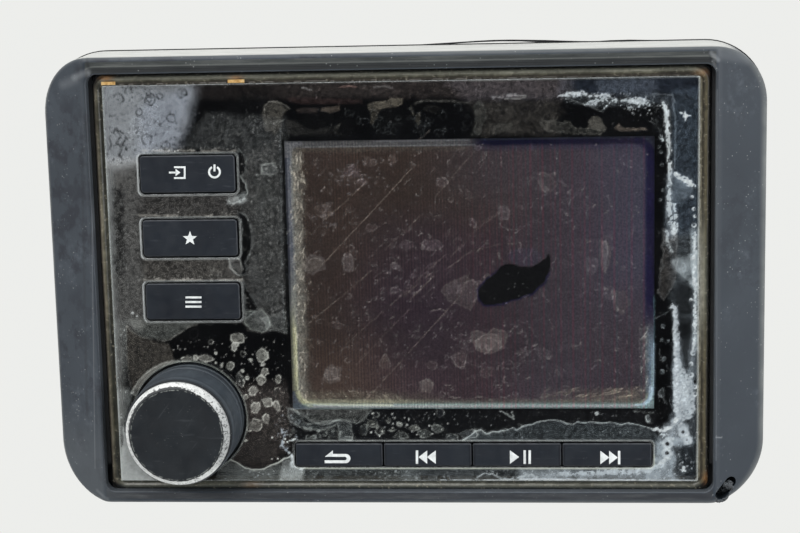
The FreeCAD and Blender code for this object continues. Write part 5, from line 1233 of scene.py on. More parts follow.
# crust at the slot's left end
for u, v, r in ((285, 439, 0.9), (283.5, 442, 1.0), (287.5, 442, 0.8), (289, 453, 1.0), (272, 437.5, 0.8), (278, 458.5, 0.7),
                (272, 459, 0.6), (293.5, 439.5, 1.0), (290, 440.5, 0.7)):
    B.ring(u, v, r, (196, 202, 200), 0.6, fill=(178, 184, 182), rough=0.3, gaps=0.0)
B.line([(292.0, 440.5), (296.0, 438.4)], (176, 180, 178), 0.7, 0.4, 3)
B.line([(292.0, 455.0), (292.8, 459.0), (294.0, 463.0), (296.0, 466.5)], (160, 166, 168), 1.3, 0.7, 3)
B.crust([(292, 456), (294, 466), (302, 469), (306, 467)], [2.2, 3.0, 2.4, 1.5], (196, 204, 208), holes=0.3)
B.crust([(281, 428), (284, 436), (282, 445), (288, 452)], [1.2, 2.0, 1.6, 1.6], (120, 130, 140), holes=0.42)
B.dots([(276, 415), (300, 415), (300, 445), (276, 450)], 60, 0.3, 1.0, (150, 160, 168), 0.8)
B.zone([(282, 460), (290, 456), (294, 466), (304, 472), (300, 484), (278, 484)], (104, 108, 108), soft=2, rough=1.6,
       mottle=0.5, mottle_size=5)

# --- top strip -----------------------------------------------------------
B.zone([(368, 104), (376, 102), (386, 101), (390, 98), (400, 97.5), (403, 99), (402, 104), (396, 107), (385, 108),
        (379, 112), (377, 118), (373, 124), (370, 124), (371, 114), (368, 108)], (100, 95, 85), soft=0.8, rough=1.0,
       size=2.6, mottle=0.2, mottle_size=3)
B.zone([(416, 114), (420, 112), (421, 120), (418, 125), (415, 121)], (118, 114, 103), soft=0.8, rough=1.0, size=4,
       mottle=0.4)
B.line([(411, 108), (415, 103), (424, 101), (438, 101), (456, 102), (470, 103)], (84, 84, 80), 1.0, 1.0, 8, gaps=0.3)
B.line([(411, 108), (413, 114)], (120, 118, 108), 1.0, 0.8, 4)
B.ring(432, 109, 8, (70, 70, 66), 0.8, fill=(46, 45, 42), rv=4, rough=2)
B.zone([(333, 107), (340, 106), (340, 111), (330, 113), (320, 111), (322, 108)], (80, 73, 66), soft=0.8, rough=1.0, mottle=0.2)
B.zone([(296, 109), (318, 108), (316, 113), (298, 113)], (54, 48, 45), soft=1, rough=1.2, mottle=0.4)
B.zone([(288, 98), (330, 98), (362, 101), (362, 104), (300, 104), (290, 103)], (62, 48, 46), soft=1.5, rough=1.8, mottle=0.5,
       amount=0.6)
B.zone([(285, 118), (300, 124), (310, 130), (330, 128), (345, 134), (287, 136)], (44, 44, 42), soft=2, rough=2, mottle=0.6,
       mottle_size=5)
B.zone([(334, 126), (341, 123), (336, 134), (334, 134)], (62, 62, 58), soft=0.7, rough=0.8)
B.clear([(380, 108), (420, 104), (440, 104), (555, 100), (566, 108), (560, 118), (640, 122), (652, 130), (640, 135),
         (300, 137), (352, 124), (364, 112)], 0.7, soft=3, rough=3, size=8)
for k in range(44):
    u0, v0 = rs.uniform(345, 470), rs.uniform(105, 135)
    B.ring(u0, v0, rs.uniform(1.5, 5.5), (70, 74, 75), 0.55, rv=rs.uniform(1.5, 4.5), rough=2.0, gaps=0.4, amount=0.7)
B.zone([(470, 101), (520, 99), (561, 98), (562, 112), (552, 120), (558, 134), (474, 135), (476, 118)], (47, 45, 42), soft=5,
       rough=4, size=8, mottle=0.9, mottle_size=7)
for k in range(46):
    u0, v0 = rs.uniform(474, 560), rs.uniform(101, 133)
    B.ring(u0, v0, rs.uniform(1.2, 5.0), (70, 68, 64), 0.55, rv=rs.uniform(1.2, 4.5), rough=2.0, gaps=0.42, amount=0.7)
B.zone([(474, 104), (480, 102), (486, 108), (484, 122), (480, 134), (472, 134), (476, 120)], (38, 40, 38), soft=1, rough=2.4,
       size=4, mottle=0.8, mottle_size=3, edge=(64, 66, 63))
B.zone([(490, 124), (512, 122), (514, 132), (492, 134)], (52, 52, 49), soft=1.2, rough=1.6, mottle=0.5, mottle_size=5)
B.crust([(494, 97), (500, 98), (508, 96), (516, 94.5)], [1.3, 1.8, 1.6, 1.0], (110, 106, 106), holes=0.50, rise=0.03)
B.line([(505, 99), (514, 98.5), (525, 98), (526, 96), (515, 95.5)], (118, 120, 118), 0.7, 0.5, 5, gaps=0.3)
B.dots([(285, 84), (560, 82), (560, 98), (285, 98)], 90, 0.25, 0.8, (120, 110, 108), 0.7)
B.line([(302, 88), (312, 90)], (110, 112, 112), 0.8, 1.0, 4, gaps=0.3)
B.line([(340, 87), (350, 86), (356, 87)], (120, 96, 90), 0.8, 0.8, 4, gaps=0.3)
B.line([(374, 87), (384, 86), (392, 88)], (104, 104, 104), 0.8, 0.8, 4, gaps=0.3)
B.zone([(596, 80), (656, 80), (657, 94), (640, 97), (600, 95)], (66, 72, 80), soft=4, rough=3, mottle=0.3, mottle_size=9)
for pts_ in ([(561, 96), (566, 92.5), (578, 91.5), (586, 94), (582, 97), (570, 97.5)], [(584, 105), (588, 101.5), (598, 101), (597, 105.5)],
             [(595, 97), (600, 94), (611, 94.5), (612, 98), (602, 98)], [(627, 103), (632, 98), (643, 97), (651, 101), (646, 104.5), (634, 104)]):
    B.zone(pts_, (150, 156, 160), soft=0.9, rough=1.8, size=2.6, mottle=0.6, mottle_size=4, grit=1.1, rise=0.03)
# grey blotch and ragged row right of centre
B.zone([(588, 128), (588, 121), (592, 117), (597, 116), (602, 119), (603, 124), (607, 129), (600, 131)], (92, 90, 84),
       soft=0.8, rough=1.2, size=4, mottle=0.25)
B.zone([(541, 121), (548, 122), (553, 120), (560, 124), (566, 121), (574, 127), (588, 129), (606, 130), (600, 134),
        (570, 133), (548, 131), (542, 126)], (50, 50, 47), soft=1.2, rough=2.2, size=3, mottle=0.8, mottle_size=3,
       edge=(78, 78, 74))
B.zone([(614, 128), (618, 124), (622, 127), (634, 128), (645, 127.5), (648, 129.5), (636, 131), (620, 130.5)], (102, 94, 86),
       soft=0.8, rough=1.2, size=4, mottle=0.6, mottle_size=3)
B.crust([(558, 97), (566, 94), (574, 92.5), (583, 93), (590, 97), (598, 95), (606, 94), (612, 98)],
        [0.8, 1.5, 2.1, 2.1, 1.7, 1.6, 1.3, 1.0], (164, 169, 172), holes=0.49, size=2.4, rise=0.05)
B.crust([(588, 101), (600, 100), (612, 101), (624, 100), (634, 100), (643, 104), (654, 106)], [1.2, 1.7, 1.3, 1.6, 1.8, 1.2, 1.0],
        (148, 155, 158), holes=0.51, size=2.4, rise=0.05)
B.line([(566, 98), (580, 103), (594, 108), (603, 112)], (96, 100, 100), 0.7, 0.8, 4, gaps=0.35)
B.line([(640, 96), (656, 94), (672, 95), (675, 102)], (92, 98, 102), 0.7, 0.8, 4, gaps=0.35)
B.crust([(603, 110), (607, 105), (611, 103)], [1.0, 1.3, 0.8], (160, 168, 170), holes=0.42)
B.crust([(628, 108), (632, 106), (640, 107)], [1.0, 1.4, 1.0], (150, 158, 162), holes=0.42)
B.crust([(656, 120), (657, 127), (660, 131)], [2.0, 3.0, 1.6], (168, 176, 178), holes=0.36)
B.zone([(640, 95), (674, 94), (674, 120), (668, 104), (644, 102)], (60, 66, 72), soft=2, rough=2, mottle=0.7, mottle_size=4)
B.zone([(560, 96), (640, 98), (656, 106), (600, 106), (566, 102)], (74, 79, 82), soft=3, rough=3, mottle=0.9, mottle_size=5,
       amount=0.8)
B.dots([(560, 92), (650, 92), (668, 104), (668, 130), (610, 104), (566, 104)], 150, 0.25, 0.8, (170, 176, 178), 0.75)

# --- right margin ---------------------------------------------------------
B.crust([(663, 103), (666, 110), (667, 120), (668, 135), (669, 146), (669, 160), (670, 172), (669, 186), (669, 200),
         (669, 212), (671, 222), (675, 230), (674, 238)],
        [1.8, 2.4, 2.8, 2.6, 2.2, 2.1, 2.2, 2.2, 2.3, 2.6, 3.0, 2.8, 1.8], (166, 172, 174), holes=0.17, size=2.6, rise=0.08,
        skirt=(148, 154, 156))
B.crust([(664, 104), (667, 114), (668, 128)], [1.8, 2.8, 2.2], (186, 194, 198), holes=0.42, size=2.4, rise=0.05)
B.line([(673, 104), (675.5, 118), (675, 140), (674.5, 168)], (92, 100, 106), 0.8, 0.8, 5, gaps=0.3)
B.crust([(674, 204), (676, 214), (676, 226), (673, 234)], [1.4, 2.2, 2.6, 1.8], (176, 184, 188), holes=0.34)
B.zone([(664, 176), (674, 170), (694, 188), (690, 196), (676, 206), (672, 240), (664, 236)], (78, 86, 93), soft=3, rough=2.5,
       mottle=0.6, mottle_size=6)
B.crust([(676, 174), (682, 178), (688, 182), (693, 186)], [2.2, 3.8, 4.0, 2.8], (200, 206, 208), holes=0.34, size=2.2,
        rise=0.06)
B.crust([(682, 113), (685, 116), (690, 115)], [1.6, 2.0, 1.2], (206, 211, 212), holes=0.34, size=2.0)
B.line([(685, 112), (685.5, 120)], (190, 196, 198), 0.9, 0.6, 3)
B.clear([(657, 108), (664, 110), (664, 135), (666, 150), (666, 200), (664, 228), (656, 228), (656, 140), (640, 135),
         (652, 128)], 0.85, soft=1.2, rough=1.6, size=5)
for u, v in ((661, 138), (661, 152), (662, 165), (659, 147), (663, 190), (660, 200)):
    B.ring(u, v, 1.6, (130, 138, 140), 0.6, rough=0.8, gaps=0.25, amount=0.8)
B.crust([(661, 136), (662, 140)], 1.6, (150, 158, 160), holes=0.4)
B.zone([(664, 228), (676, 232), (678, 262), (672, 286), (664, 300), (658, 290), (662, 262)], (60, 58, 56), soft=2.5, rough=3,
       size=7, mottle=0.8, mottle_size=4, edge=(84, 86, 86))
B.crust([(666, 232), (668, 246), (672, 252)], [2.2, 2.6, 1.6], (128, 134, 136), holes=0.44)
B.zone([(672, 262), (698, 250), (698, 292), (690, 286), (680, 276), (674, 270)], (112, 119, 122), soft=3, rough=3, size=7,
       mottle=0.7, mottle_size=6)
B.clear([(678, 284), (690, 288), (690, 312), (680, 316), (674, 300)], 0.65, soft=3, rough=2.5)
B.clear([(680, 316), (691, 320), (690, 348), (686, 372), (682, 372), (680, 352)], 0.72, soft=3, rough=2.5)
B.crust([(695, 232), (694.5, 250), (694, 270), (695, 290), (695.5, 310), (695, 330), (694, 345), (693, 352)],
        [2.0, 2.2, 1.9, 2.2, 1.9, 2.2, 1.7, 1.0], (202, 208, 210), holes=0.40, size=2.2, rise=0.05)
B.zone([(690, 228), (699, 228), (698, 352), (692, 352), (693, 300)], (104, 111, 114), soft=2, rough=2, mottle=0.7,
       mottle_size=4)
for u, v, r in ((692, 197, 1.4), (694, 209, 1.6), (695, 216, 1.4), (694, 225, 2.2), (692, 258, 1.4), (691, 300, 1.4),
                (693, 353, 2.2), (691, 364, 1.8), (691, 375, 2.2), (695, 387, 1.8), (695, 394, 2.2), (683, 386, 2.0)):
    B.ring(u, v, r, (214, 220, 222), 0.7, rough=0.3, gaps=0.05, rise=0.05)
B.crust([(669, 308), (672, 306), (675, 309), (675, 318), (674, 330), (675, 345), (676, 360), (676, 380), (677, 400),
         (676, 412)], [1.3, 1.9, 2.3, 2.2, 2.1, 2.4, 2.8, 3.3, 3.6, 2.8], (176, 182, 186), holes=0.36, size=2.4, rise=0.07)
B.zone([(674, 345), (686, 340), (696, 352), (697, 400), (692, 418), (674, 424), (670, 380)], (88, 95, 100), soft=4, rough=3,
       size=6, mottle=0.6, mottle_size=4)
B.zone([(673, 306), (677.5, 306), (678.5, 320), (679.5, 335), (680, 350), (682, 366), (692, 380), (694, 394), (695, 411), (689, 420),
        (676, 419), (674, 395), (674, 360), (673, 330)], (132, 138, 142), soft=1.6, rough=2.4, size=3.2, mottle=0.75, mottle_size=6,
       grit=0.9, rise=0.04)
B.clear([(683, 322), (688, 326), (690, 345), (690, 364), (686, 372), (683, 352)], 0.6, soft=2.5, rough=2.0)
B.crust([(682, 376), (684, 388), (686, 400), (690, 412)], [1.8, 3.0, 3.8, 2.6], (160, 168, 173), holes=0.50, size=2.2, rise=0.05)
B.clear([(656, 318), (668, 312), (672, 320), (673, 345), (671, 372), (672, 398), (672, 412), (668, 420), (662, 426),
         (655, 424)], 0.9, soft=1.2, rough=1.6, size=5)
for u, v, r in ((662, 340, 1.6), (663, 326, 2), (664, 359, 2.0), (662, 372, 2.4), (668, 341, 1.2)):
    B.ring(u, v, r, (140, 148, 150), 0.6, fill=(84, 92, 96), rough=0.8, gaps=0.2, amount=0.7)
B.ring(662, 393, 3, (110, 116, 118), 0.7, fill=(60, 64, 66), rv=5, rough=1.4)
B.line([(655, 318), (668, 312)], (90, 96, 98), 0.7, 0.6, 5, gaps=0.3)
B.hairs([(657, 340), (672, 340), (672, 400), (657, 400)], 14, 8, 60, 20, (120, 126, 128), 0.4, 0.6)
# foam at the lower corner
B.zone([(664, 424), (676, 418), (688, 424), (692, 442), (680, 448), (678, 462), (664, 468), (655, 462), (658, 440)],
       (112, 119, 124), soft=2.2, rough=2.2, size=4, mottle=0.6, mottle_size=4)
B.crust([(650, 428), (660, 430), (670, 428), (676, 420)], [1.2, 2.0, 2.2, 2.8], (202, 208, 210), holes=0.36, size=2.4, rise=0.06)
B.crust([(662, 434), (666, 438), (674, 439)], [1.6, 2.2, 1.6], (180, 188, 192), holes=0.40, size=2.4, rise=0.06)
B.clear([(672, 446), (680, 447), (690, 446), (699, 440), (699, 482), (688, 482), (676, 478), (672, 470), (676, 462)], 0.5,
        soft=2, rough=2)
for u, v, r in ((683, 432, 5.4), (667.5, 444, 5.0), (667, 453, 5.0), (687, 440, 4.4)):
    B.ring(u, v, r, (176, 183, 186), 1.2, fill=(140, 147, 152), rough=0.9, gaps=0.1, rise=0.08)
for u, v, r in ((683, 432, 1.5), (667.5, 444, 2.0), (667, 453, 1.9), (687, 440, 0.9), (695, 382, 1.4)):
    B.clear(ring_pts(u, v, r, r), 1.0, soft=0.5, rough=0.2)
B.crust([(655, 464), (662, 462), (668, 458)], [1.6, 2.6, 1.8], (198, 205, 208), holes=0.36, rise=0.05)
B.crust([(682, 466), (684, 470)], 2.4, (214, 220, 222), holes=0.3, rise=0.06)
B.dots([(660, 425), (697, 420), (697, 478), (640, 480), (660, 462)], 90, 0.3, 1.0, (180, 186, 190), 0.8, rise=0.03)
B.crust([(560, 474), (590, 473), (620, 472), (650, 470), (662, 466)], [1.6, 3.2, 3.6, 3.6, 2.4], (160, 168, 174), holes=0.42,
        size=5, rise=0.03)
B.line([(478, 477), (484, 473), (492, 474), (500, 478), (510, 479), (522, 477), (530, 474), (536, 478)], (140, 146, 148), 0.8,
       1.2, 4, gaps=0.3)
B.line([(520, 479), (600, 480), (696, 481)], (196, 203, 208), 0.7, 0.5, 6, gaps=0.25)
B.line([(440, 480), (520, 480)], (150, 156, 158), 0.6, 0.5, 6, gaps=0.4)
for k in range(40):
    B.ring(rs.uniform(300, 520), rs.uniform(471, 479), rs.uniform(0.8, 2.4), (112, 118, 118), 0.5, gaps=0.3, amount=0.6)
B.dots([(225, 470), (690, 470), (690, 482), (225, 482)], 220, 0.25, 0.8, (160, 166, 168), 0.7)

# faint outlines of old drops between the keys and the screen
for k in range(110):
    B.ring(rs.uniform(208, 283), rs.uniform(116, 326), rs.uniform(1.0, 4.2), (104, 106, 103), 0.45, rv=rs.uniform(1.0, 4.2),
           rough=2.4, gaps=0.36, amount=0.5)
for k in range(26):
    B.ring(rs.uniform(142, 236), rs.choice([208, 212, 271, 276]) + rs.uniform(-3, 3), rs.uniform(0.8, 2.2), (104, 104, 98), 0.45,
           rough=1.6, gaps=0.36, amount=0.5)

# --- over the screen --------------------------------------------------------
SC = (112, 104, 102)
for u, v, r, rv, f, k in (
        (314, 264, 9, 8, (84, 78, 72), 1), (332, 374, 8, 8.5, (90, 86, 84), 1), (337, 325, 6.5, 4, (78, 70, 70), .7),
        (489, 342, 15, 10.5, (92, 84, 82), 1), (395, 266, 5, 4, (92, 86, 88), 1), (348, 262, 6, 10, (84, 76, 78), .8),
        (396, 290, 6, 4, (80, 72, 76), .8), (438, 314, 10, 5, None, .7), (388, 345, 9, 5, None, .6), (385, 362, 6, 8, (78, 70, 64), .8),
        (345, 352, 6, 6, None, .6), (432, 365, 6, 5, (72, 64, 60), .7), (427, 385, 6, 6, (88, 82, 78), .8),
        (460, 360, 8, 9, (76, 68, 66), .7), (487, 372, 8, 6, (78, 70, 68), .6), (509, 365, 6, 5, None, .7), (511, 378, 7, 7, None, .7),
        (523, 340, 5, 10, None, .7), (366, 317, 4, 4, None, .6), (370, 162, 7, 5, (84, 76, 74), .7), (392, 160, 5, 5, (82, 72, 68), .7),
        (322, 211, 9, 7, (82, 74, 70), .8), (350, 209, 5, 4, None, .6), (323, 230, 7, 5, None, .6), (442, 182, 6, 6, (88, 80, 82), .8),
        (432, 245, 12, 6, (84, 76, 80), .8), (407, 245, 8, 5, (78, 70, 74), .7), (371, 228, 6, 5, (76, 66, 66), .7),
        (397, 214, 6, 4, None, .6), (503, 213, 8, 8, (86, 80, 84), .8), (473, 222, 4, 6, (84, 76, 80), .7), (458, 243, 5, 6, None, .6),
        (548, 183, 10, 10, None, .8), (598, 213, 12, 9, None, .7), (606, 255, 3, 18, (92, 90, 94), .8), (622, 300, 8, 12, None, .7),
        (575, 342, 7, 5, None, .6), (545, 355, 9, 7, (78, 72, 74), .6), (352, 172, 10, 7, (84, 74, 80), .6), (340, 180, 6, 5, None, .7),
        (362, 182, 5, 4, (90, 80, 84), .7), (454, 290, 10, 8, (78, 70, 74), .5), (470, 290, 14, 12, (76, 68, 72), .5),
        (330, 300, 5, 4, None, .5), (357, 345, 6, 8, None, .5), (536, 284, 6, 5, None, .5), (465, 152, 4, 5, None, .6),
        (478, 148, 4, 3, (92, 86, 92), .7), (430, 270, 5, 5, None, .6), (412, 276, 4, 3, (84, 76, 80), .6), (591, 265, 7, 10, (80, 76, 80), .6),
        (606, 240, 4, 5, None, .6), (560, 372, 5, 4, None, .5), (600, 330, 6, 5, None, .5), (470, 380, 5, 4, None, .5),
        (503, 296, 16, 4, None, .4), (357, 236, 4, 4, None, .5), (423, 330, 5, 7, None, .5), (521, 355, 4, 4, None, .6)):
    B.ring(u, v, r, (144, 137, 133), 0.5, fill=None if f is None else tuple(q + 6 for q in f), rv=rv, rough=3.2, gaps=0.36,
           amount=0.68 * k)
for pts, k in (([(323, 264), (366, 218), (413, 167)], .9), ([(324, 220), (345, 202), (365, 183)], .8),
               ([(345, 345), (396, 300), (445, 255)], .45), ([(308, 324), (340, 298), (372, 270)], .6),
               ([(366, 400), (420, 340), (460, 296), (470, 272)], .6), ([(345, 378), (400, 318), (430, 290)], .4),
               ([(404, 296), (418, 284), (430, 274)], .8), ([(410, 300), (424, 286), (434, 276)], .7),
               ([(446, 262), (476, 230), (500, 212)], .4), ([(436, 196), (456, 172), (474, 152)], .5),
               ([(448, 268), (470, 252), (500, 244), (516, 243)], .5), ([(430, 130), (424, 136), (418, 140)], .5),
               ([(384, 250), (410, 226), (420, 216)], .4), ([(520, 300), (560, 270), (590, 240)], .25)):
    B.line(pts, (164, 150, 138), 0.5, 0.3, 40, gaps=0.30, amount=0.5 * k, gap_size=9)
B.dots([(300, 150), (650, 145), (650, 400), (300, 400)], 420, 0.2, 0.75, (140, 134, 134), 0.5)
for k in range(300):
    u0, v0 = rs.uniform(305, 645), rs.uniform(150, 396)
    B.ring(u0, v0, rs.uniform(0.9, 4.4), (150, 143, 140), 0.42, rv=rs.uniform(0.9, 4.4), rough=2.2, gaps=0.42, amount=0.5)
for u0, v0, su, sv, q in ((352, 178, 22, 16, 60), (325, 215, 14, 12, 30), (468, 350, 26, 22, 50), (520, 350, 20, 24, 40),
                          (400, 285, 30, 20, 40), (610, 290, 16, 26, 30), (545, 200, 24, 26, 30)):
    for k in range(q):
        B.ring(u0 + su * rs.randn() * 0.6, v0 + sv * rs.randn() * 0.6, rs.uniform(0.8, 3.2), (150, 143, 144), 0.42,
               rv=rs.uniform(0.8, 3.2), rough=2.0, gaps=0.42, amount=0.46)
B.dots([(296, 146), (650, 141), (652, 404), (298, 404)], 1200, 0.25, 0.6, (156, 148, 144), 0.6)
B.hairs([(310, 150), (640, 150), (640, 396), (310, 396)], 120, 7, -55, 40, (150, 142, 136), 0.4, 0.4)

# bristling edge of the failed film round the lit area
B.hairs([(289, 150), (303, 150), (306, 395), (296, 400)], 330, 7, 90, 22, (176, 170, 156), 0.36, 0.55)
B.hairs([(292, 150), (309, 150), (312, 390), (300, 396)], 120, 6, 75, 30, (150, 142, 128), 0.34, 0.4)
B.hairs([(300, 389), (400, 391), (400, 401), (300, 402)], 190, 6, 34, 18, (156, 150, 132), 0.34, 0.42)
B.hairs([(400, 397), (540, 396), (540, 402), (400, 402)], 60, 7, 4, 6, (140, 138, 128), 0.34, 0.4)
B.hairs([(540, 391), (640, 388), (646, 396), (620, 401), (540, 402)], 190, 8, -16, 12, (150, 141, 124), 0.34, 0.42)
B.hairs([(638, 330), (648, 330), (650, 392), (640, 398)], 90, 7, -68, 16, (150, 150, 146), 0.36, 0.5)
# pale deposit that follows the lower edges of the screen
B.line([(305, 404.6), (340, 405.6), (400, 406), (470, 406), (560, 405.8), (625, 405.2), (640, 404.4)], (146, 170, 166), 1.05, 0.5, 8,
       gaps=0.06, amount=0.45)
B.line([(654.0, 296), (654.0, 320), (653.8, 346)], (88, 116, 124), 0.8, 0.4, 8, gaps=0.06, amount=0.6)
B.line([(653.8, 344), (653.6, 358), (653.4, 375), (652.6, 392), (650.5, 400), (645, 404), (636, 405)], (140, 161, 174), 1.3, 0.5, 8,
       gaps=0.06, amount=0.6)
B.line([(651.5, 388), (649.8, 398), (645, 402.5)], (148, 169, 183), 2.6, 0.5, 6, gaps=0.0, amount=0.6)
B.line([(293.6, 286), (294.2, 305), (295.0, 330)], (150, 150, 126), 0.9, 0.5, 8, gaps=0.10, amount=0.4)
B.line([(295.2, 328), (295.6, 340), (296.6, 370), (297.8, 388), (300.5, 397), (306, 402), (320, 404.2), (350, 404.8), (392, 405)],
       (170, 170, 138), 1.1, 0.5, 8, gaps=0.08, amount=0.65)
# black line between the stain and the left side of the screen
B.dark_line([(282.8, 139), (284.6, 200), (287.2, 300), (290.6, 405)], 1.3, 1.0, rough=0.3, gaps=0.0)

BLOB = [(479, 300), (478.5, 290), (485, 281), (493, 274), (501, 267.5), (509, 263), (515, 264.5), (522, 267), (531, 266.5),
        (538, 263.5), (544, 259), (549, 253.5), (551, 262), (550, 271), (546.5, 279), (541, 286), (532, 293), (516, 299), (499, 304),
        (484, 305.5)]
B.clear(BLOB, 0.94, soft=1.5, rough=1.0)
# general fine speckle everywhere
B.dots([(103, 84), (700, 80), (698, 480), (118, 480)], 900, 0.2, 0.6, (150, 152, 152), 0.45)
veil = 0.004 * smooth(0.35, 0.75, clouds(U, V, 26, 71, 4))
film.lay(FULL, veil, (0.7, 0.72, 0.74))
# thin layers let more through than they add up to
film.cover *= 0.42 + 0.43 * smooth(0.15, 0.40, film.cover)

# painted highlight: the polished bevel round every cut-out is painted as a pale line where it catches the light, paler
# on the left edge of each key hole
for hole, tone_, left_tone in [(h, (112, 115, 115), (142, 146, 147)) for h in KEY_HOLES] + [(SLOT_HOLE, (132, 135, 133), (128, 131, 131))]:
    d = hole_sdf(film.X, film.Z, hole)
    c, a = tone(*tone_)
    w = np.exp(-((d - 0.13) / 0.15) ** 2) * (0.72 + 0.5 * clouds(film.U, film.V, 9, 91, 3))
    if hole is SLOT_HOLE:
        w = w * (0.25 + 0.75 * smooth(hole[0] - 0.2, hole[0] + 1.6, film.X))
        film.lay(FULL, w * a * (film.Z > -35.6), c)
        c, a = tone(162, 166, 154)
        film.lay(FULL, w * a * (film.Z <= -35.6), c)
    else:
        film.lay(FULL, w * a, c)
        c, a = tone(*left_tone)
        w = np.exp(-((d - 0.16) / 0.16) ** 2) * smooth(hole[0] + 0.6, hole[0] + 0.1, film.X)
        film.lay(FULL, w * a, c)
    film.rise = np.maximum(film.rise, 0.03 * np.exp(-((d - 0.15) / 0.16) ** 2))

# painted highlight: a pale line round the knob hole, strongest towards the upper right
d = np.hypot(film.X - KNOB[0], film.Z - KNOB[1]) - KNOB[2]
a_ = np.arctan2(film.Z - KNOB[1], film.X - KNOB[0])
c, a = tone(112, 117, 112)
film.lay(FULL, np.exp(-((d - 0.14) / 0.15) ** 2) * a * (0.35 + 0.65 * smooth(2.4, 1.2, np.abs(a_ - 0.5))), c)

# painted highlight: the pad's rim is painted as a thin pale line, palest on the right
edge_d = np.minimum(np.minimum(film.X + PAD_W, PAD_W - film.X), np.minimum(film.Z - LENS_Z + PAD_H, LENS_Z + PAD_H - film.Z))
amp = 0.75 + 0.6 * (clouds(film.U, film.V, 14, 95, 3) - 0.5)
pad_rim_highlight = np.exp(-((edge_d - 0.10) / 0.16) ** 2) * amp
for side_, tone_ in ((film.X + PAD_W, (122, 126, 122)), (PAD_W - film.X, (170, 172, 164)),
                     (film.Z - LENS_Z + PAD_H, (150, 152, 148)), (LENS_Z + PAD_H - film.Z, (104, 108, 106))):
    c, a = tone(*tone_)
    w = pad_rim_highlight * (side_ < 0.45) * a
    if tone_[0] == 104:
        w = w * (0.35 + 0.65 * smooth(430, 520, film.U))
    if tone_[0] == 150:
        w = w * (0.30 + 0.60 * smooth(440, 500, film.U)) * (0.6 + 0.8 * clouds(film.U, film.V, 6, 97, 3))
    film.lay(FULL, w, c)

# cells that are on the face: not in the cut-outs, not in the knob hole
keep = np.ones((len(film.zs) - 1, len(film.xs) - 1), bool)
for hole in KEY_HOLES + [SLOT_HOLE]:
    keep &= pull(film, lambda x, z: hole_sdf(x, z, hole), STEP * 0.62)
keep &= pull(film, lambda x, z: np.hypot(x - KNOB[0], z - KNOB[1]) - KNOB[2], STEP * 0.62)
edge_in = np.minimum(np.minimum(film.X + PAD_W, PAD_W - film.X), np.minimum(film.Z - LENS_Z + PAD_H, LENS_Z + PAD_H - film.Z))
front = -(13.515 + film.rise * smooth(0.0, 0.6, edge_in))
rgba = np.concatenate([film.rgb, film.cover[..., None]], -1)
stain = close_grid("front_stain_and_painted_light", film, keep, front, -13.49, make_film(), "stain", rgba)
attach(stain, "chassis")


# ------------------------------------------- bond bead on the lens's step --
def make_bead():
    g = Mat("bond_bead_aged_and_painted_glints")
    c = g.attr("bond")
    streak = g.noise(900, 5, 0.7)
    c = g.mix(g.span(streak, 0.42, 0.68, 0.0, 0.6), c, g.mix(1.0, c, (0.5, 0.5, 0.48), "MULTIPLY"))
    glint = g.math("MULTIPLY", g.span(g.noise(1500, 3), 0.60, 0.68), 0.35)
    c = g.mix(glint, c, lin(176, 170, 150))
    return g.done(g.shader(Base_Color=c, Roughness=0.3, Coat_Weight=0.35, Coat_Roughness=0.12,
                           Normal=g.bump(g.noise(900, 4, 0.6), 0.5, 0.00012)))


PAD = (-58.8, 58.8, -41.2, 39.9, 1.2)
STEP_BOX = (-60.82, 60.82, -43.22, 41.92, 2.2)
ring = Sheet(lines_between([-60.82, 60.82], 0.21), lines_between([-43.22, 41.92], 0.21), -12.42)
inner = lambda x, z: hole_sdf(x, z, PAD)
outer = lambda x, z: hole_sdf(x, z, STEP_BOX)
keep = pull(ring, inner, 0.13)
keep &= pull(ring, outer, 0.13, inside=True)
d = np.maximum(inner(ring.X, ring.Z), 0)
n1 = clouds(ring.U, ring.V, 12, 401, 3)
n2 = clouds(ring.U, ring.V, 4, 411, 3)
dj = d + 0.35 * (n1 - 0.5) + 0.2 * (n2 - 0.5)


def strip(stops):
    ds = [q[0] for q in stops]
    return np.stack([np.interp(dj, ds, [lin(*q[1])[k] for q in stops]) for k in range(3)], -1)


# painted highlights: the pale bands in these strips stand for glints along the glossy bead
K = {
    "L": strip([(0.0, (72, 74, 68)), (0.35, (58, 58, 50)), (0.95, (56, 57, 47)), (1.25, (96, 92, 76)), (1.6, (122, 116, 102)),
                (1.85, (88, 82, 72)), (2.1, (26, 24, 22))]),
    "T": strip([(0.0, (60, 56, 50)), (0.25, (46, 42, 37)), (0.6, (52, 49, 40)), (0.85, (84, 83, 71)), (1.3, (98, 97, 87)),
                (1.55, (78, 78, 68)), (1.75, (38, 38, 34)), (2.1, (54, 54, 50))]),
    "B": strip([(0.0, (84, 85, 80)), (0.3, (72, 74, 66)), (0.7, (78, 78, 68)), (1.05, (96, 96, 86)), (1.3, (74, 76, 70)),
                (1.55, (56, 58, 54)), (1.8, (24, 26, 26)), (2.1, (18, 20, 22))]),
    "R": strip([(0.0, (168, 168, 158)), (0.55, (160, 158, 144)), (0.9, (150, 148, 132)), (1.15, (104, 104, 92)),
                (1.45, (56, 58, 49)), (1.8, (40, 40, 38)), (2.1, (24, 24, 24))]),
}
plain = strip([(0.0, (138, 134, 118)), (0.28, (128, 122, 104)), (0.45, (56, 52, 42)), (0.75, (50, 46, 37)), (1.0, (76, 70, 54)),
               (1.35, (84, 78, 60)), (1.6, (44, 42, 36)), (1.8, (30, 30, 29)), (2.1, (24, 24, 24))])
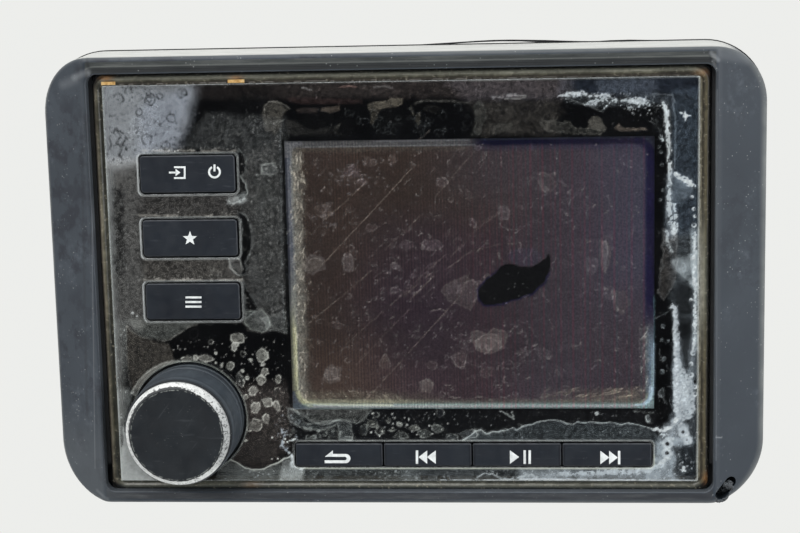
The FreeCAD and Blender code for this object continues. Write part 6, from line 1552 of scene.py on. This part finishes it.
# painted highlights: the right strip is painted brightest near its middle, the top strip towards the right, the left
# strip near its middle and lower down
near = np.exp(-((ring.V - 280) / 48) ** 2)[..., None]
K["R"] = K["R"] * 0.85 * near + plain * (1 - near)
K["T"] = K["T"] * (1.30 + 0.5 * smooth(440, 520, ring.U) * smooth(0.45, 0.6, n1) * smooth(0.8, 0.4, np.abs(d - 1.1)))[..., None]
K["L"] = K["L"] * (0.50 + 0.34 * np.exp(-((ring.V - 258) / 50) ** 2) + 0.16 * smooth(320, 390, ring.V) + 0.35 * (n1 - 0.5))[..., None]
reach = {"L": PAD[0] - ring.X, "R": ring.X - PAD[1], "T": ring.Z - PAD[3], "B": PAD[2] - ring.Z}
wsum, col = 0.0, 0.0
for side_, far in reach.items():
    w = np.exp(np.clip(far, -30, 30) * 3.0)
    col = col + K[side_] * w[..., None]
    wsum = wsum + w
col = col / wsum[..., None]
lum = 0.85 + 0.5 * (n1 - 0.5) + 0.5 * (n2 - 0.5)
col = np.clip(col * 1.5 * lum[..., None], 0, 1)
# painted highlights and painted glow: amber at the corners, at one place along the bottom, and over the two
# squeezed-out dabs
for u0, v0, su, sv, k in ((702, 72, 7, 3.5, .28), (706, 478, 3.5, 6, .3), (252, 484, 8, 3, .14), (106, 78, 6, 2.2, .6), (236, 77.3, 6, 1.8, .45)):
    m = (np.exp(-(((ring.U - u0) / su) ** 2 + ((ring.V - v0) / sv) ** 2)) * k)[..., None]
    col = col * (1 - m) + lin(214, 150, 84) * m
body = np.sin(np.clip((d - 0.75) / 1.25, 0, 1) * math.pi) ** 0.8 * (0.30 + 0.14 * (n1 - 0.5)) * 1.0
front = -(12.43 + 0.05 * n2 + body)
rgba = np.concatenate([col, np.ones(d.shape + (1,))], -1)
bead = close_grid("bond_bead", ring, keep, front, -12.39, make_bead(), "bond", rgba)
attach(bead, "chassis")


# ------------------------------------------------------------- the display --
def make_display():
    g = Mat("display_aged")
    c = g.attr("picture")
    px, pz = g.axis("X"), g.axis("Z")
    # faint upright lines, close on the left, wide and red on the right
    wob = g.math("MULTIPLY", g.math("SUBTRACT", g.noise(120, 2), 0.5), 0.00012)
    x = g.math("ADD", px, wob)

    def wave(step, phase):
        return g.math("SINE", g.math("MULTIPLY_ADD", x, 2 * math.pi / step, phase))
    fine = g.math("ADD", wave(0.000672, 0.0), g.math("MULTIPLY", wave(0.000513, 0.7), 0.7))
    wide = g.math("ADD", g.math("ADD", wave(0.00117, 0.4), wave(0.00083, 1.3)), g.math("MULTIPLY", wave(0.00201, 2.1), 0.7))
    side = g.span(px, 0.004, 0.030, soft=True)
    patch = g.span(g.noise(70, 3), 0.35, 0.6)
    hair = g.math("SUBTRACT", 1.0, g.attr("picture", "Alpha"))
    strands = g.noise(2600, 4, 0.75, warp=0.6)
    f1 = g.math("MULTIPLY", g.span(fine, -0.7, 1.2), g.math("MULTIPLY", g.math("SUBTRACT", 1.0, side), patch))
    f2 = g.math("MULTIPLY", g.span(wide, 0.3, 1.6), g.math("MULTIPLY", side, g.math("MULTIPLY_ADD", patch, 0.6, 0.4)))
    f3 = g.math("MULTIPLY", g.span(wide, -0.4, -1.7), side)
    f1 = g.math("MULTIPLY", f1, g.math("SUBTRACT", 1.0, g.math("MULTIPLY", hair, 0.7)))
    c = g.mix(g.math("MULTIPLY", f1, 0.8), c, g.mix(1.0, c, (1.75, 1.65, 1.5), "MULTIPLY"))
    c = g.mix(g.math("MULTIPLY", f2, 0.8), c, g.mix(1.0, c, (1.62, 0.90, 1.0), "MULTIPLY"))
    c = g.mix(g.math("MULTIPLY", f3, 0.6), c, g.mix(1.0, c, (0.86, 1.12, 1.06), "MULTIPLY"))
    gr = g.noise(2600, 3, 0.7)
    c = g.mix(g.span(gr, 0.40, 0.62, 0.0, 0.9), g.mix(1.0, c, (0.86, 0.86, 0.86), "MULTIPLY"), g.mix(1.0, c, (1.36, 1.34, 1.30), "MULTIPLY"))
    c = g.mix(g.math("MULTIPLY", hair, g.span(strands, 0.42, 0.60)), c, g.mix(1.0, c, (1.3, 1.3, 1.27), "MULTIPLY"))
    c = g.mix(g.math("MULTIPLY", hair, g.span(strands, 0.50, 0.38)), c, g.mix(1.0, c, (0.82, 0.82, 0.82), "MULTIPLY"))
    return g.done(g.shader(Base_Color=c, Roughness=0.35, Specular_IOR_Level=0.04,
                           Normal=g.bump(g.noise(900, 3), 0.1, 0.00004)))


lo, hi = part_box("lcd_glass")
X0, X1, Z0, Z1 = lo.x * 1000, hi.x * 1000, lo.z * 1000, hi.z * 1000
glass = Sheet(lines_between([X0, X1], 0.25), lines_between([Z0, Z1], 0.25), lo.y * 1000)
U, V = glass.U, glass.V
E = 1.0 / 0.8


def toward(c, rgb, m):
    m = np.clip(m, 0, 1)[..., None]
    return c * (1 - m) + lin(*rgb) * m


# warm brown on the left, grey violet on the right, a darker plum patch between them
base = np.zeros(U.shape + (3,)) + lin(60, 48, 42)
base = toward(base, (58, 46, 51), smooth(330, 440, U) * smooth(190, 250, V))
base = toward(base, (67, 58, 60), smooth(400, 500, U) * smooth(250, 170, V))
base = toward(base, (64, 57, 63), smooth(470, 570, U))
base = toward(base, (70, 68, 81), smooth(560, 650, U) * smooth(340, 250, V))
base = toward(base, (52, 40, 50), 0.7 * np.exp(-((U - 410) / 60) ** 2 - ((V - 300) / 50) ** 2))
base *= (0.86 + 0.28 * clouds(U, V, 40, 301, 4))[..., None]
base *= (1.92 + 0.38 * smooth(430, 620, U) + 0.6 * smooth(320, 390, V) * smooth(480, 360, U)
         + 0.55 * smooth(325, 395, V) * smooth(610, 500, U))[..., None]
paint = base * E


def over(m, rgb):
    global paint
    m = np.clip(m, 0, 1)[..., None]
    paint = paint * (1 - m) + lin(*rgb) * E * 1.6 * m


# outline of the lit area in the view
def at(v, a, b, va=141.0, vb=405.0):
    return a + (b - a) * (v - va) / (vb - va)


left = at(V, 284.0, 292.5)
right = at(V, 656.5, 655.0)
top = 141.5 - (U - 290) * 0.0125
low = 408.8 + (U - 290) * 0.0
dl, dr, dt, db = U - left, right - U, V - top, low - V
n1 = clouds(U, V, 9, 311, 3)
n2 = clouds(U, V, 2.6, 315, 3)
# left: navy line, pale band fading inwards
over(smooth(24, 8, dl + 6 * (n1 - 0.5)) * (0.30 + 0.5 * n2) * smooth(-20, 30, db) * smooth(420, 380, V), (86, 80, 70))
over(smooth(21.0, 9.0, dl + 6 * (n1 - 0.5)) * smooth(-4, 14, dt) * (0.15 + 0.9 * n2), (142, 139, 131))
over(smooth(9.5, 5.5, dl + 1.4 * (n1 - 0.5)) * smooth(-2, 8, dt) * (0.75 + 0.3 * n1), (138, 139, 136))
over(smooth(7.5, 4.8, dl + 1.0 * (n1 - 0.5)) * 0.8 * smooth(310, 240, V), (96, 101, 116))
over(smooth(6.0, 3.5, dl + 1.0 * (n1 - 0.5)) * 0.8 * smooth(300, 330, V) * smooth(404, 396, V), (150, 150, 122))
cream = smooth(315, 338, V) * smooth(398, 372, V)
over(np.exp(-((dl - 4.8 - 0.6 * (n1 - 0.5)) / 1.7) ** 2) * cream * 0.9, (192, 190, 152))
over(smooth(2.6, 1.2, dl) * (0.25 + 0.75 * smooth(320, 260, V)), (60, 62, 74))
# top: pale grey on the left half, navy towards the right
tl = smooth(482, 462, U)
over(smooth(8.0, 4.5, dt + 1.6 * (n1 - 0.5)) * smooth(0.4, 1.6, dt) * tl * 0.85, (88, 91, 98))
over(smooth(14, 8, dt + 3 * (n1 - 0.5)) * tl * 0.30 * (0.5 + n2), (104, 98, 88))
over(smooth(1.8, 0.8, dt) * tl * 0.5, (104, 107, 112))
over(np.exp(-((dt - 0.5 - 0.8 * (n1 - 0.5)) / 0.8) ** 2) * smooth(366, 384, U) * smooth(476, 464, U) * 0.7, (150, 151, 154))
over(np.exp(-((dt - 5.6 - 0.7 * (n1 - 0.5)) / 0.6) ** 2) * smooth(298, 306, U) * smooth(477, 473, U) * (0.35 + 0.4 * n2), (142, 142, 144))
tr = smooth(466, 486, U)
over(smooth(14, 8, dt + 2 * (n1 - 0.5)) * tr * 0.35, (40, 40, 76))
over(smooth(8.5, 4.5, dt + 1.5 * (n1 - 0.5)) * tr * 0.97, (3, 4, 42))
over(smooth(1.6, 0.8, dt) * tr * 0.6, (52, 60, 74))
# right: dark navy at the top, pale blue below
ur = smooth(338, 296, V)
corner = np.hypot(np.maximum(22 - dr, 0), np.maximum(22 - dt, 0)) - 14.5
over(smooth(15, 8, dr + 2 * (n1 - 0.5)) * ur * 0.40, (44, 46, 84))
over(smooth(13.0, 8.0, dr + 1.6 * (n1 - 0.5)) * ur * 0.97, (1, 4, 58))
over(smooth(-2, 3.5, corner) * (dr < 22) * (dt < 22) * 0.97, (2, 5, 52))
over(smooth(6.6, 8.6, corner) * (dr < 22) * (dt < 22) * 0.85, (44, 52, 66))
lr = smooth(318, 345, V)
over(smooth(17, 9, dr + 4 * (n1 - 0.5)) * lr * 0.45 * (0.5 + n2), (104, 108, 112))
over(smooth(10.0, 5.5, dr + 1.6 * (n1 - 0.5)) * lr * 0.82, (116, 136, 152))
over(smooth(5.5, 3.4, dr) * lr * smooth(325, 372, V) * 0.9, (168, 194, 214))
# bottom: pale cyan line, hairy olive fade above it, cream at the corners
over(smooth(22, 8, db + 8 * (n1 - 0.5)) * (0.18 + 0.6 * n2) * smooth(470, 400, U) * 0.8, (112, 106, 94))
over(smooth(24, 10, db + 6 * (n1 - 0.5)) * (0.18 + 0.6 * n2) * smooth(540, 640, U) * 0.9, (122, 114, 100))
over(smooth(11.0, 7.0, db + 2 * (n1 - 0.5)) * (0.5 + 0.3 * n1) * (0.45 + 0.55 * np.abs(U - 480) / 170), (130, 130, 118))
over(smooth(7.5, 3.6, db + 1.0 * (n1 - 0.5)) * 0.8, (150, 170, 167))
over(np.exp(-((db - 2.7 - 0.6 * (n1 - 0.5)) / 1.6) ** 2) * (0.85 + 0.15 * np.clip(np.abs(U - 470) / 160, 0, 1)), (212, 232, 224))
over(smooth(10.0, 7.0, db + 1.4 * (n1 - 0.5)) * smooth(4.6, 6.4, db) * smooth(440, 380, U) * 0.85, (168, 164, 140))
over(smooth(1.6, 0.7, db) * 0.7, (84, 104, 108))
# bottom-left inner rounding
cl = np.hypot(np.maximum(20 - dl, 0), np.maximum(18 - db, 0)) - 15.5
band = np.exp(-((cl + 0.6) / 1.7) ** 2) * (dl < 20) * (db < 18)
over(band * 0.9, (188, 188, 152))
over(smooth(0.0, 2.5, cl) * (dl < 20) * (db < 18) * 0.9, (84, 94, 108))
cr = np.hypot(np.maximum(18 - dr, 0), np.maximum(16 - db, 0)) - 12.0
over(smooth(-0.6, 1.6, cr) * (dr < 18) * (db < 16) * 0.95, (170, 196, 218))
over(np.exp(-((cr + 1.4) / 1.0) ** 2) * (dr < 18) * (db < 16) * 0.6, (176, 172, 146))
ctl = np.hypot(np.maximum(18 - dl, 0), np.maximum(16 - dt, 0)) - 11.5
over(smooth(-1.5, 3.0, ctl) * (dl < 18) * (dt < 16) * 0.7, (124, 124, 128))
# grey-purple bloom on the right and reddish veil
over(smooth(520, 600, U) * 0.18 * clouds(U, V, 30, 331, 4), (96, 78, 92))
# grey patches of lifted film
for pts_, k_ in (([(470, 332), (478, 330), (486, 334), (494, 328), (506, 332), (507, 342), (500, 350), (490, 354), (478, 350), (472, 342)], .34),
                 ([(442, 290), (450, 281), (466, 276), (478, 283), (476, 298), (470, 310), (458, 304), (448, 300)], .20),
                 ([(303, 262), (312, 256), (324, 258), (325, 268), (312, 274), (304, 271)], .28),
                 ([(342, 258), (350, 254), (354, 264), (352, 271), (344, 270)], .22),
                 ([(324, 370), (331, 365), (341, 368), (339, 380), (330, 384), (323, 379)], .28),
                 ([(420, 382), (428, 378), (434, 384), (430, 394), (422, 392)], .26), ([(540, 172), (550, 174), (557, 184), (551, 193), (541, 190)], .16),
                 ([(600, 240), (609, 242), (610, 262), (605, 274), (600, 262)], .22), ([(614, 290), (624, 292), (630, 304), (622, 314), (614, 308)], .16)):
    u_, v_ = shake(U, V, 1.8, 5, 351)
    dp = to_line(u_, v_, pts_, True)
    dp = np.where(within(u_, v_, pts_), -dp, dp)
    over(smooth(0.8, -0.6, dp) * k_ * (0.7 + 0.6 * n2), (122, 114, 110))
    over(np.exp(-((dp + 0.2) / 0.7) ** 2) * k_ * 1.1 * (0.3 + n2), (158, 148, 142))
# the dead black patch
u, v = shake(U, V, 1.6, 7, 341)
d = to_line(u, v, BLOB, True)
d = np.where(within(u, v, BLOB), -d, d)
over(smooth(2.8, 0.6, d) * 0.85 * smooth(262, 280, V), (16, 14, 58))
over(smooth(0.9, -0.9, d), (2, 2, 2))
over(smooth(1.6, 0.0, np.hypot((U - 525) / 1.9, V - 256.6) - 8) * 0.65, (74, 68, 82))
paint = np.clip(paint, 0.0, 1.0)
hair = smooth(28, 10, dl) * smooth(3.5, 8.0, dl)
hair = np.maximum(hair, smooth(26, 9, db) * smooth(4.0, 8.0, db) * (0.35 + 0.65 * np.clip(np.abs(U - 470) / 130, 0, 1)) * 0.9)
hair = np.maximum(hair, smooth(20, 8, dr) * smooth(3.0, 6.0, dr) * smooth(310, 345, V) * 0.7)
hair = np.maximum(hair, smooth(16, 8, dt) * smooth(2.0, 5.0, dt) * smooth(480, 440, U) * 0.6)
rgba = np.concatenate([paint, 1 - hair[..., None]], -1)
front = np.full(U.shape, lo.y * 1000)
pane = close_grid("display_pane", glass, np.ones((len(glass.zs) - 1, len(glass.xs) - 1), bool), front, hi.y * 1000,
                  make_display(), "picture", rgba)
pane.data.shade_flat()
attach(pane, "chassis")
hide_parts("lcd_glass")


# ------------------------------------------- torn plastic at the pry notch --
def make_torn():
    g = Mat("trim_torn")
    n = g.noise(1400, 4, 0.7)
    base = g.ramp(n, [(0.34, lin(16, 18, 21)), (0.5, lin(36, 40, 45)), (0.66, lin(88, 94, 98))])
    # painted light: faces turned upwards are painted paler
    edge = g.span(g.axis("Z", g.normal()), 0.2, 0.9, 0.0, 0.4)
    base = g.mix(edge, base, lin(104, 110, 114))
    return g.done(g.shader(Base_Color=base, Roughness=0.5, Normal=g.bump(g.noise(2600, 4, 0.7), 0.6, 0.00015)))


TORN = make_torn()
trim_mesh = NODES["trim_bezel"]
trim_tree = BVHTree.FromPolygons([trim_mesh.matrix_world @ v.co for v in trim_mesh.data.vertices],
                                 [tuple(q.vertices) for q in trim_mesh.data.polygons])


def surface(x, z):
    """Depth (mm) at which a line along Y meets the trim, or None."""
    hit = trim_tree.ray_cast(Vector((x * MM, -0.05, z * MM)), Vector((0, 1, 0)))
    return None if hit[0] is None else hit[0].y * 1000


def sliver(name, path, radii, flat, seed, sides=9, steps=14):
    """A torn, lumpy strand along a path (mm) that narrows to its radii, closed at both ends."""
    rs_ = np.random.RandomState(seed)
    path = [np.array(q, float) for q in path]
    at_ = np.linspace(0, len(path) - 1, steps)
    verts, faces = [], []
    for k, t in enumerate(at_):
        i = min(int(t), len(path) - 2)
        c = path[i] + (path[i + 1] - path[i]) * (t - i)
        r = radii[i] + (radii[i + 1] - radii[i]) * (t - i)
        d = path[i + 1] - path[i]
        d = d / np.linalg.norm(d)
        a = np.cross(d, (0, 1, 0))
        a = a / np.linalg.norm(a)
        b = np.cross(d, a)
        for j in range(sides):
            w = 2 * math.pi * j / sides
            q = r * (0.72 + 0.5 * rs_.rand())
            verts.append((c + a * math.cos(w) * q + b * math.sin(w) * q * flat) * MM)
    for k in range(steps - 1):
        for j in range(sides):
            j2 = (j + 1) % sides
            faces.append((k * sides + j, k * sides + j2, (k + 1) * sides + j2, (k + 1) * sides + j))
    faces.append(tuple(range(sides - 1, -1, -1)))
    faces.append(tuple((steps - 1) * sides + j for j in range(sides)))
    m = bpy.data.meshes.new(name)
    m.from_pydata([tuple(q) for q in verts], [], faces)
    m.update()
    bm = bmesh.new()
    bm.from_mesh(m)
    bmesh.ops.recalc_face_normals(bm, faces=bm.faces)
    bm.to_mesh(m)
    bm.free()
    o = bpy.data.objects.new(name, m)
    bpy.context.scene.collection.objects.link(o)
    m.materials.append(TORN)
    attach(o, "trim")
    return o


def on_trim(u, v, sink=0.0, y0=-14.2):
    x, z = under(u, v, y0)
    y = surface(x, z)
    if y is None:
        y = y0
    return (x, max(y, -15.0) + sink, z)


def in_notch(u, v, y):
    x, z = under(u, v, y)
    return (x, y, z)


# a web left across the slot, and a torn floor between the two openings
sliver("notch_web", [in_notch(721.5, 481.5, -12.6), in_notch(725.5, 485.0, -12.9), in_notch(732.0, 488.5, -12.4)], [0.50, 0.62, 0.5],
       0.9, 5)
sliver("notch_floor", [in_notch(731, 481, -11.6), in_notch(727, 486, -11.9), in_notch(723, 491, -11.4)], [0.6, 0.75, 0.6], 0.7, 6)
# a bent lip along the lower left opening
sliver("notch_lip", [on_trim(714.0, 496.5, 0.10), on_trim(716.5, 501.0, 0.10), on_trim(722.0, 502.3, 0.15), on_trim(727.5, 499.0, 0.15)],
       [0.22, 0.34, 0.36, 0.22], 0.8, 7)


# ---------------------------------------------------------------- symbols --
def make_print():
    g = Mat("symbol_white")
    base = g.ramp(g.noise(900, 4), [(0.3, lin(196, 200, 200)), (0.6, lin(224, 228, 228))])
    chips = g.span(g.noise(2600, 4, 0.7), 0.66, 0.72)
    base = g.mix(g.math("MULTIPLY", chips, 0.75), base, lin(70, 74, 80))
    return g.done(g.shader(Base_Color=base, Roughness=0.55, Normal=g.bump(g.noise(2600, 3), 0.2, 0.00003)))


PRINT = make_print()
KEY_Y = -13.8


def sym(name, body, loops_px, u0, v0, y=KEY_Y, tall=0.05):
    """Outlines given in view pixels about (u0, v0), laid on the key face."""
    loops = [[under(u0 + a, v0 + b, y) for a, b in pts] for pts in loops_px]
    o = plate(name, loops, y + 0.02, y - tall, PRINT)
    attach(o, body)
    return o


def arc_band(cx, cy, r0, r1, a0, a1, n=28):
    outer = [(cx + r1 * math.cos(math.radians(a0 + (a1 - a0) * k / n)), cy + r1 * math.sin(math.radians(a0 + (a1 - a0) * k / n)))
             for k in range(n + 1)]
    inner = [(cx + r0 * math.cos(math.radians(a0 + (a1 - a0) * k / n)), cy + r0 * math.sin(math.radians(a0 + (a1 - a0) * k / n)))
             for k in range(n, -1, -1)]
    return outer + inner


def bar(x0, y0, x1, y1):
    return [(x0, y0), (x1, y0), (x1, y1), (x0, y1)]


# transport symbols
hook = [(-12.6, 0.2), (-4.6, -6.2), (-4.6, -2.6), (7.0, -2.6)]
hook += [(8.0 + 5.0 * math.sin(math.radians(a)), 2.0 - 4.6 * math.cos(math.radians(a))) for a in range(10, 180, 10)]
hook += [(7.0, 6.6), (-12.8, 6.6), (-12.8, 3.8), (6.4, 3.8)]
hook += [(7.0 + 2.2 * math.sin(math.radians(a)), 2.0 + 1.8 * math.cos(math.radians(a))) for a in range(20, 180, 20)]
hook += [(6.4, 0.2)]
sym("symbol_back", "key_back", [hook], 337.5, 456.5)
sym("symbol_previous", "key_previous", [bar(-10.2, -6.6, -7.8, 6.8), [(-7.4, 0.1), (1.2, -6.6), (1.2, 6.8)],
                                        [(0.9, 0.1), (9.8, -6.6), (9.8, 6.8)]], 426, 457)
sym("symbol_play", "key_play", [[(-10.6, -6.8), (-10.6, 6.8), (-1.4, 0.0)], bar(3.0, -6.8, 5.4, 6.8), bar(8.0, -6.8, 10.4, 6.8)],
    520.5, 457)
sym("symbol_next", "key_next", [[(-10.2, -6.8), (-10.2, 6.8), (-1.2, 0.0)], [(-1.4, -6.8), (-1.4, 6.8), (7.2, 0.0)],
                                bar(7.4, -6.6, 9.8, 6.8)], 610.5, 457.5)
# function keys: generic symbols
sym("symbol_power", "key_power", [arc_band(0, 0, 4.4, 6.4, -62, 242), bar(-1.0, -7.6, 1.0, -0.6)], 214.5, 172)
sym("symbol_input", "key_power", [bar(-4, -6.2, 7.6, -4.4), bar(5.8, -4.4, 7.6, 4.6), bar(-4, 4.6, 7.6, 6.4),
                                  bar(-9, -0.9, -2, 0.9), [(-2.4, -3.6), (-2.4, 3.6), (2.4, 0)]], 178, 172.5)
star = []
for k in range(10):
    rr = 7.4 if k % 2 == 0 else 3.1
    a = math.radians(-90 + 36 * k)
    star.append((rr * math.cos(a), rr * math.sin(a)))
sym("symbol_star", "key_favourites", [star], 190, 238.5)
sym("symbol_list", "key_menu", [bar(-8, -5.6, 8, -3.6), bar(-8, -1.0, 8, 1.0), bar(-8, 3.6, 8, 5.6)], 193.5, 302)


# ----------------------------------------------------- light, floor, world --
def soft_light(name, at_, to, size, power, colour=(1, 1, 1)):
    d = bpy.data.lights.new(name, "AREA")
    d.shape = "SQUARE"
    d.size = size
    d.energy = power
    d.color = colour
    o = bpy.data.objects.new(name, d)
    o.location = at_
    o.rotation_euler = (Vector(to) - Vector(at_)).to_track_quat("-Z", "Y").to_euler()
    bpy.context.scene.collection.objects.link(o)


soft_light("key_light", (-0.35, -0.55, 0.75), (0, 0, 0), 1.0, 11.0, (1.0, 0.99, 0.975))
soft_light("fill_light", (0.75, -0.55, 0.20), (0, 0, 0), 0.8, 5.0, (0.97, 0.985, 1.0))

world = bpy.data.worlds.new("studio")
bpy.context.scene.world = world
world.use_nodes = True
wt = world.node_tree
wt.nodes.clear()
wo = wt.nodes.new("ShaderNodeOutputWorld")
bg = wt.nodes.new("ShaderNodeBackground")
tc = wt.nodes.new("ShaderNodeTexCoord")
sep = wt.nodes.new("ShaderNodeSeparateXYZ")
wt.links.new(tc.outputs["Generated"], sep.inputs[0])
mr = wt.nodes.new("ShaderNodeMapRange")
mr.interpolation_type = "SMOOTHSTEP"
mr.inputs[1].default_value = -0.45
mr.inputs[2].default_value = -0.90
mr.inputs[3].default_value = 0.0
mr.inputs[4].default_value = 1.0
wt.links.new(sep.outputs["Y"], mr.inputs[0])
mx = wt.nodes.new("ShaderNodeMix")
mx.data_type = "RGBA"
wt.links.new(mr.outputs[0], mx.inputs[0])
mx.inputs[6].default_value = (0.86, 0.87, 0.87, 1)
mx.inputs[7].default_value = (0.10, 0.105, 0.115, 1)
lp = wt.nodes.new("ShaderNodeLightPath")
mc = wt.nodes.new("ShaderNodeMix")
mc.data_type = "RGBA"
wt.links.new(lp.outputs["Is Camera Ray"], mc.inputs[0])
wt.links.new(mx.outputs[2], mc.inputs[6])
mc.inputs[7].default_value = (0.845, 0.852, 0.832, 1)
wt.links.new(mc.outputs[2], bg.inputs["Color"])
wt.links.new(bg.outputs[0], wo.inputs["Surface"])

# plain pale floor, well below
bm = bmesh.new()
bmesh.ops.create_circle(bm, cap_ends=True, radius=0.8, segments=96)
fm = bpy.data.meshes.new("floor")
bm.to_mesh(fm)
bm.free()
g = Mat("floor_pale")
fm.materials.append(g.done(g.shader(Base_Color=g.ramp(g.noise(3, 3), [(0.3, (0.76, 0.77, 0.76)), (0.7, (0.80, 0.81, 0.80))]),
                                    Roughness=0.9)))
floor = bpy.data.objects.new("floor", fm)
floor.location = (0, 0, -0.55)
bpy.context.scene.collection.objects.link(floor)
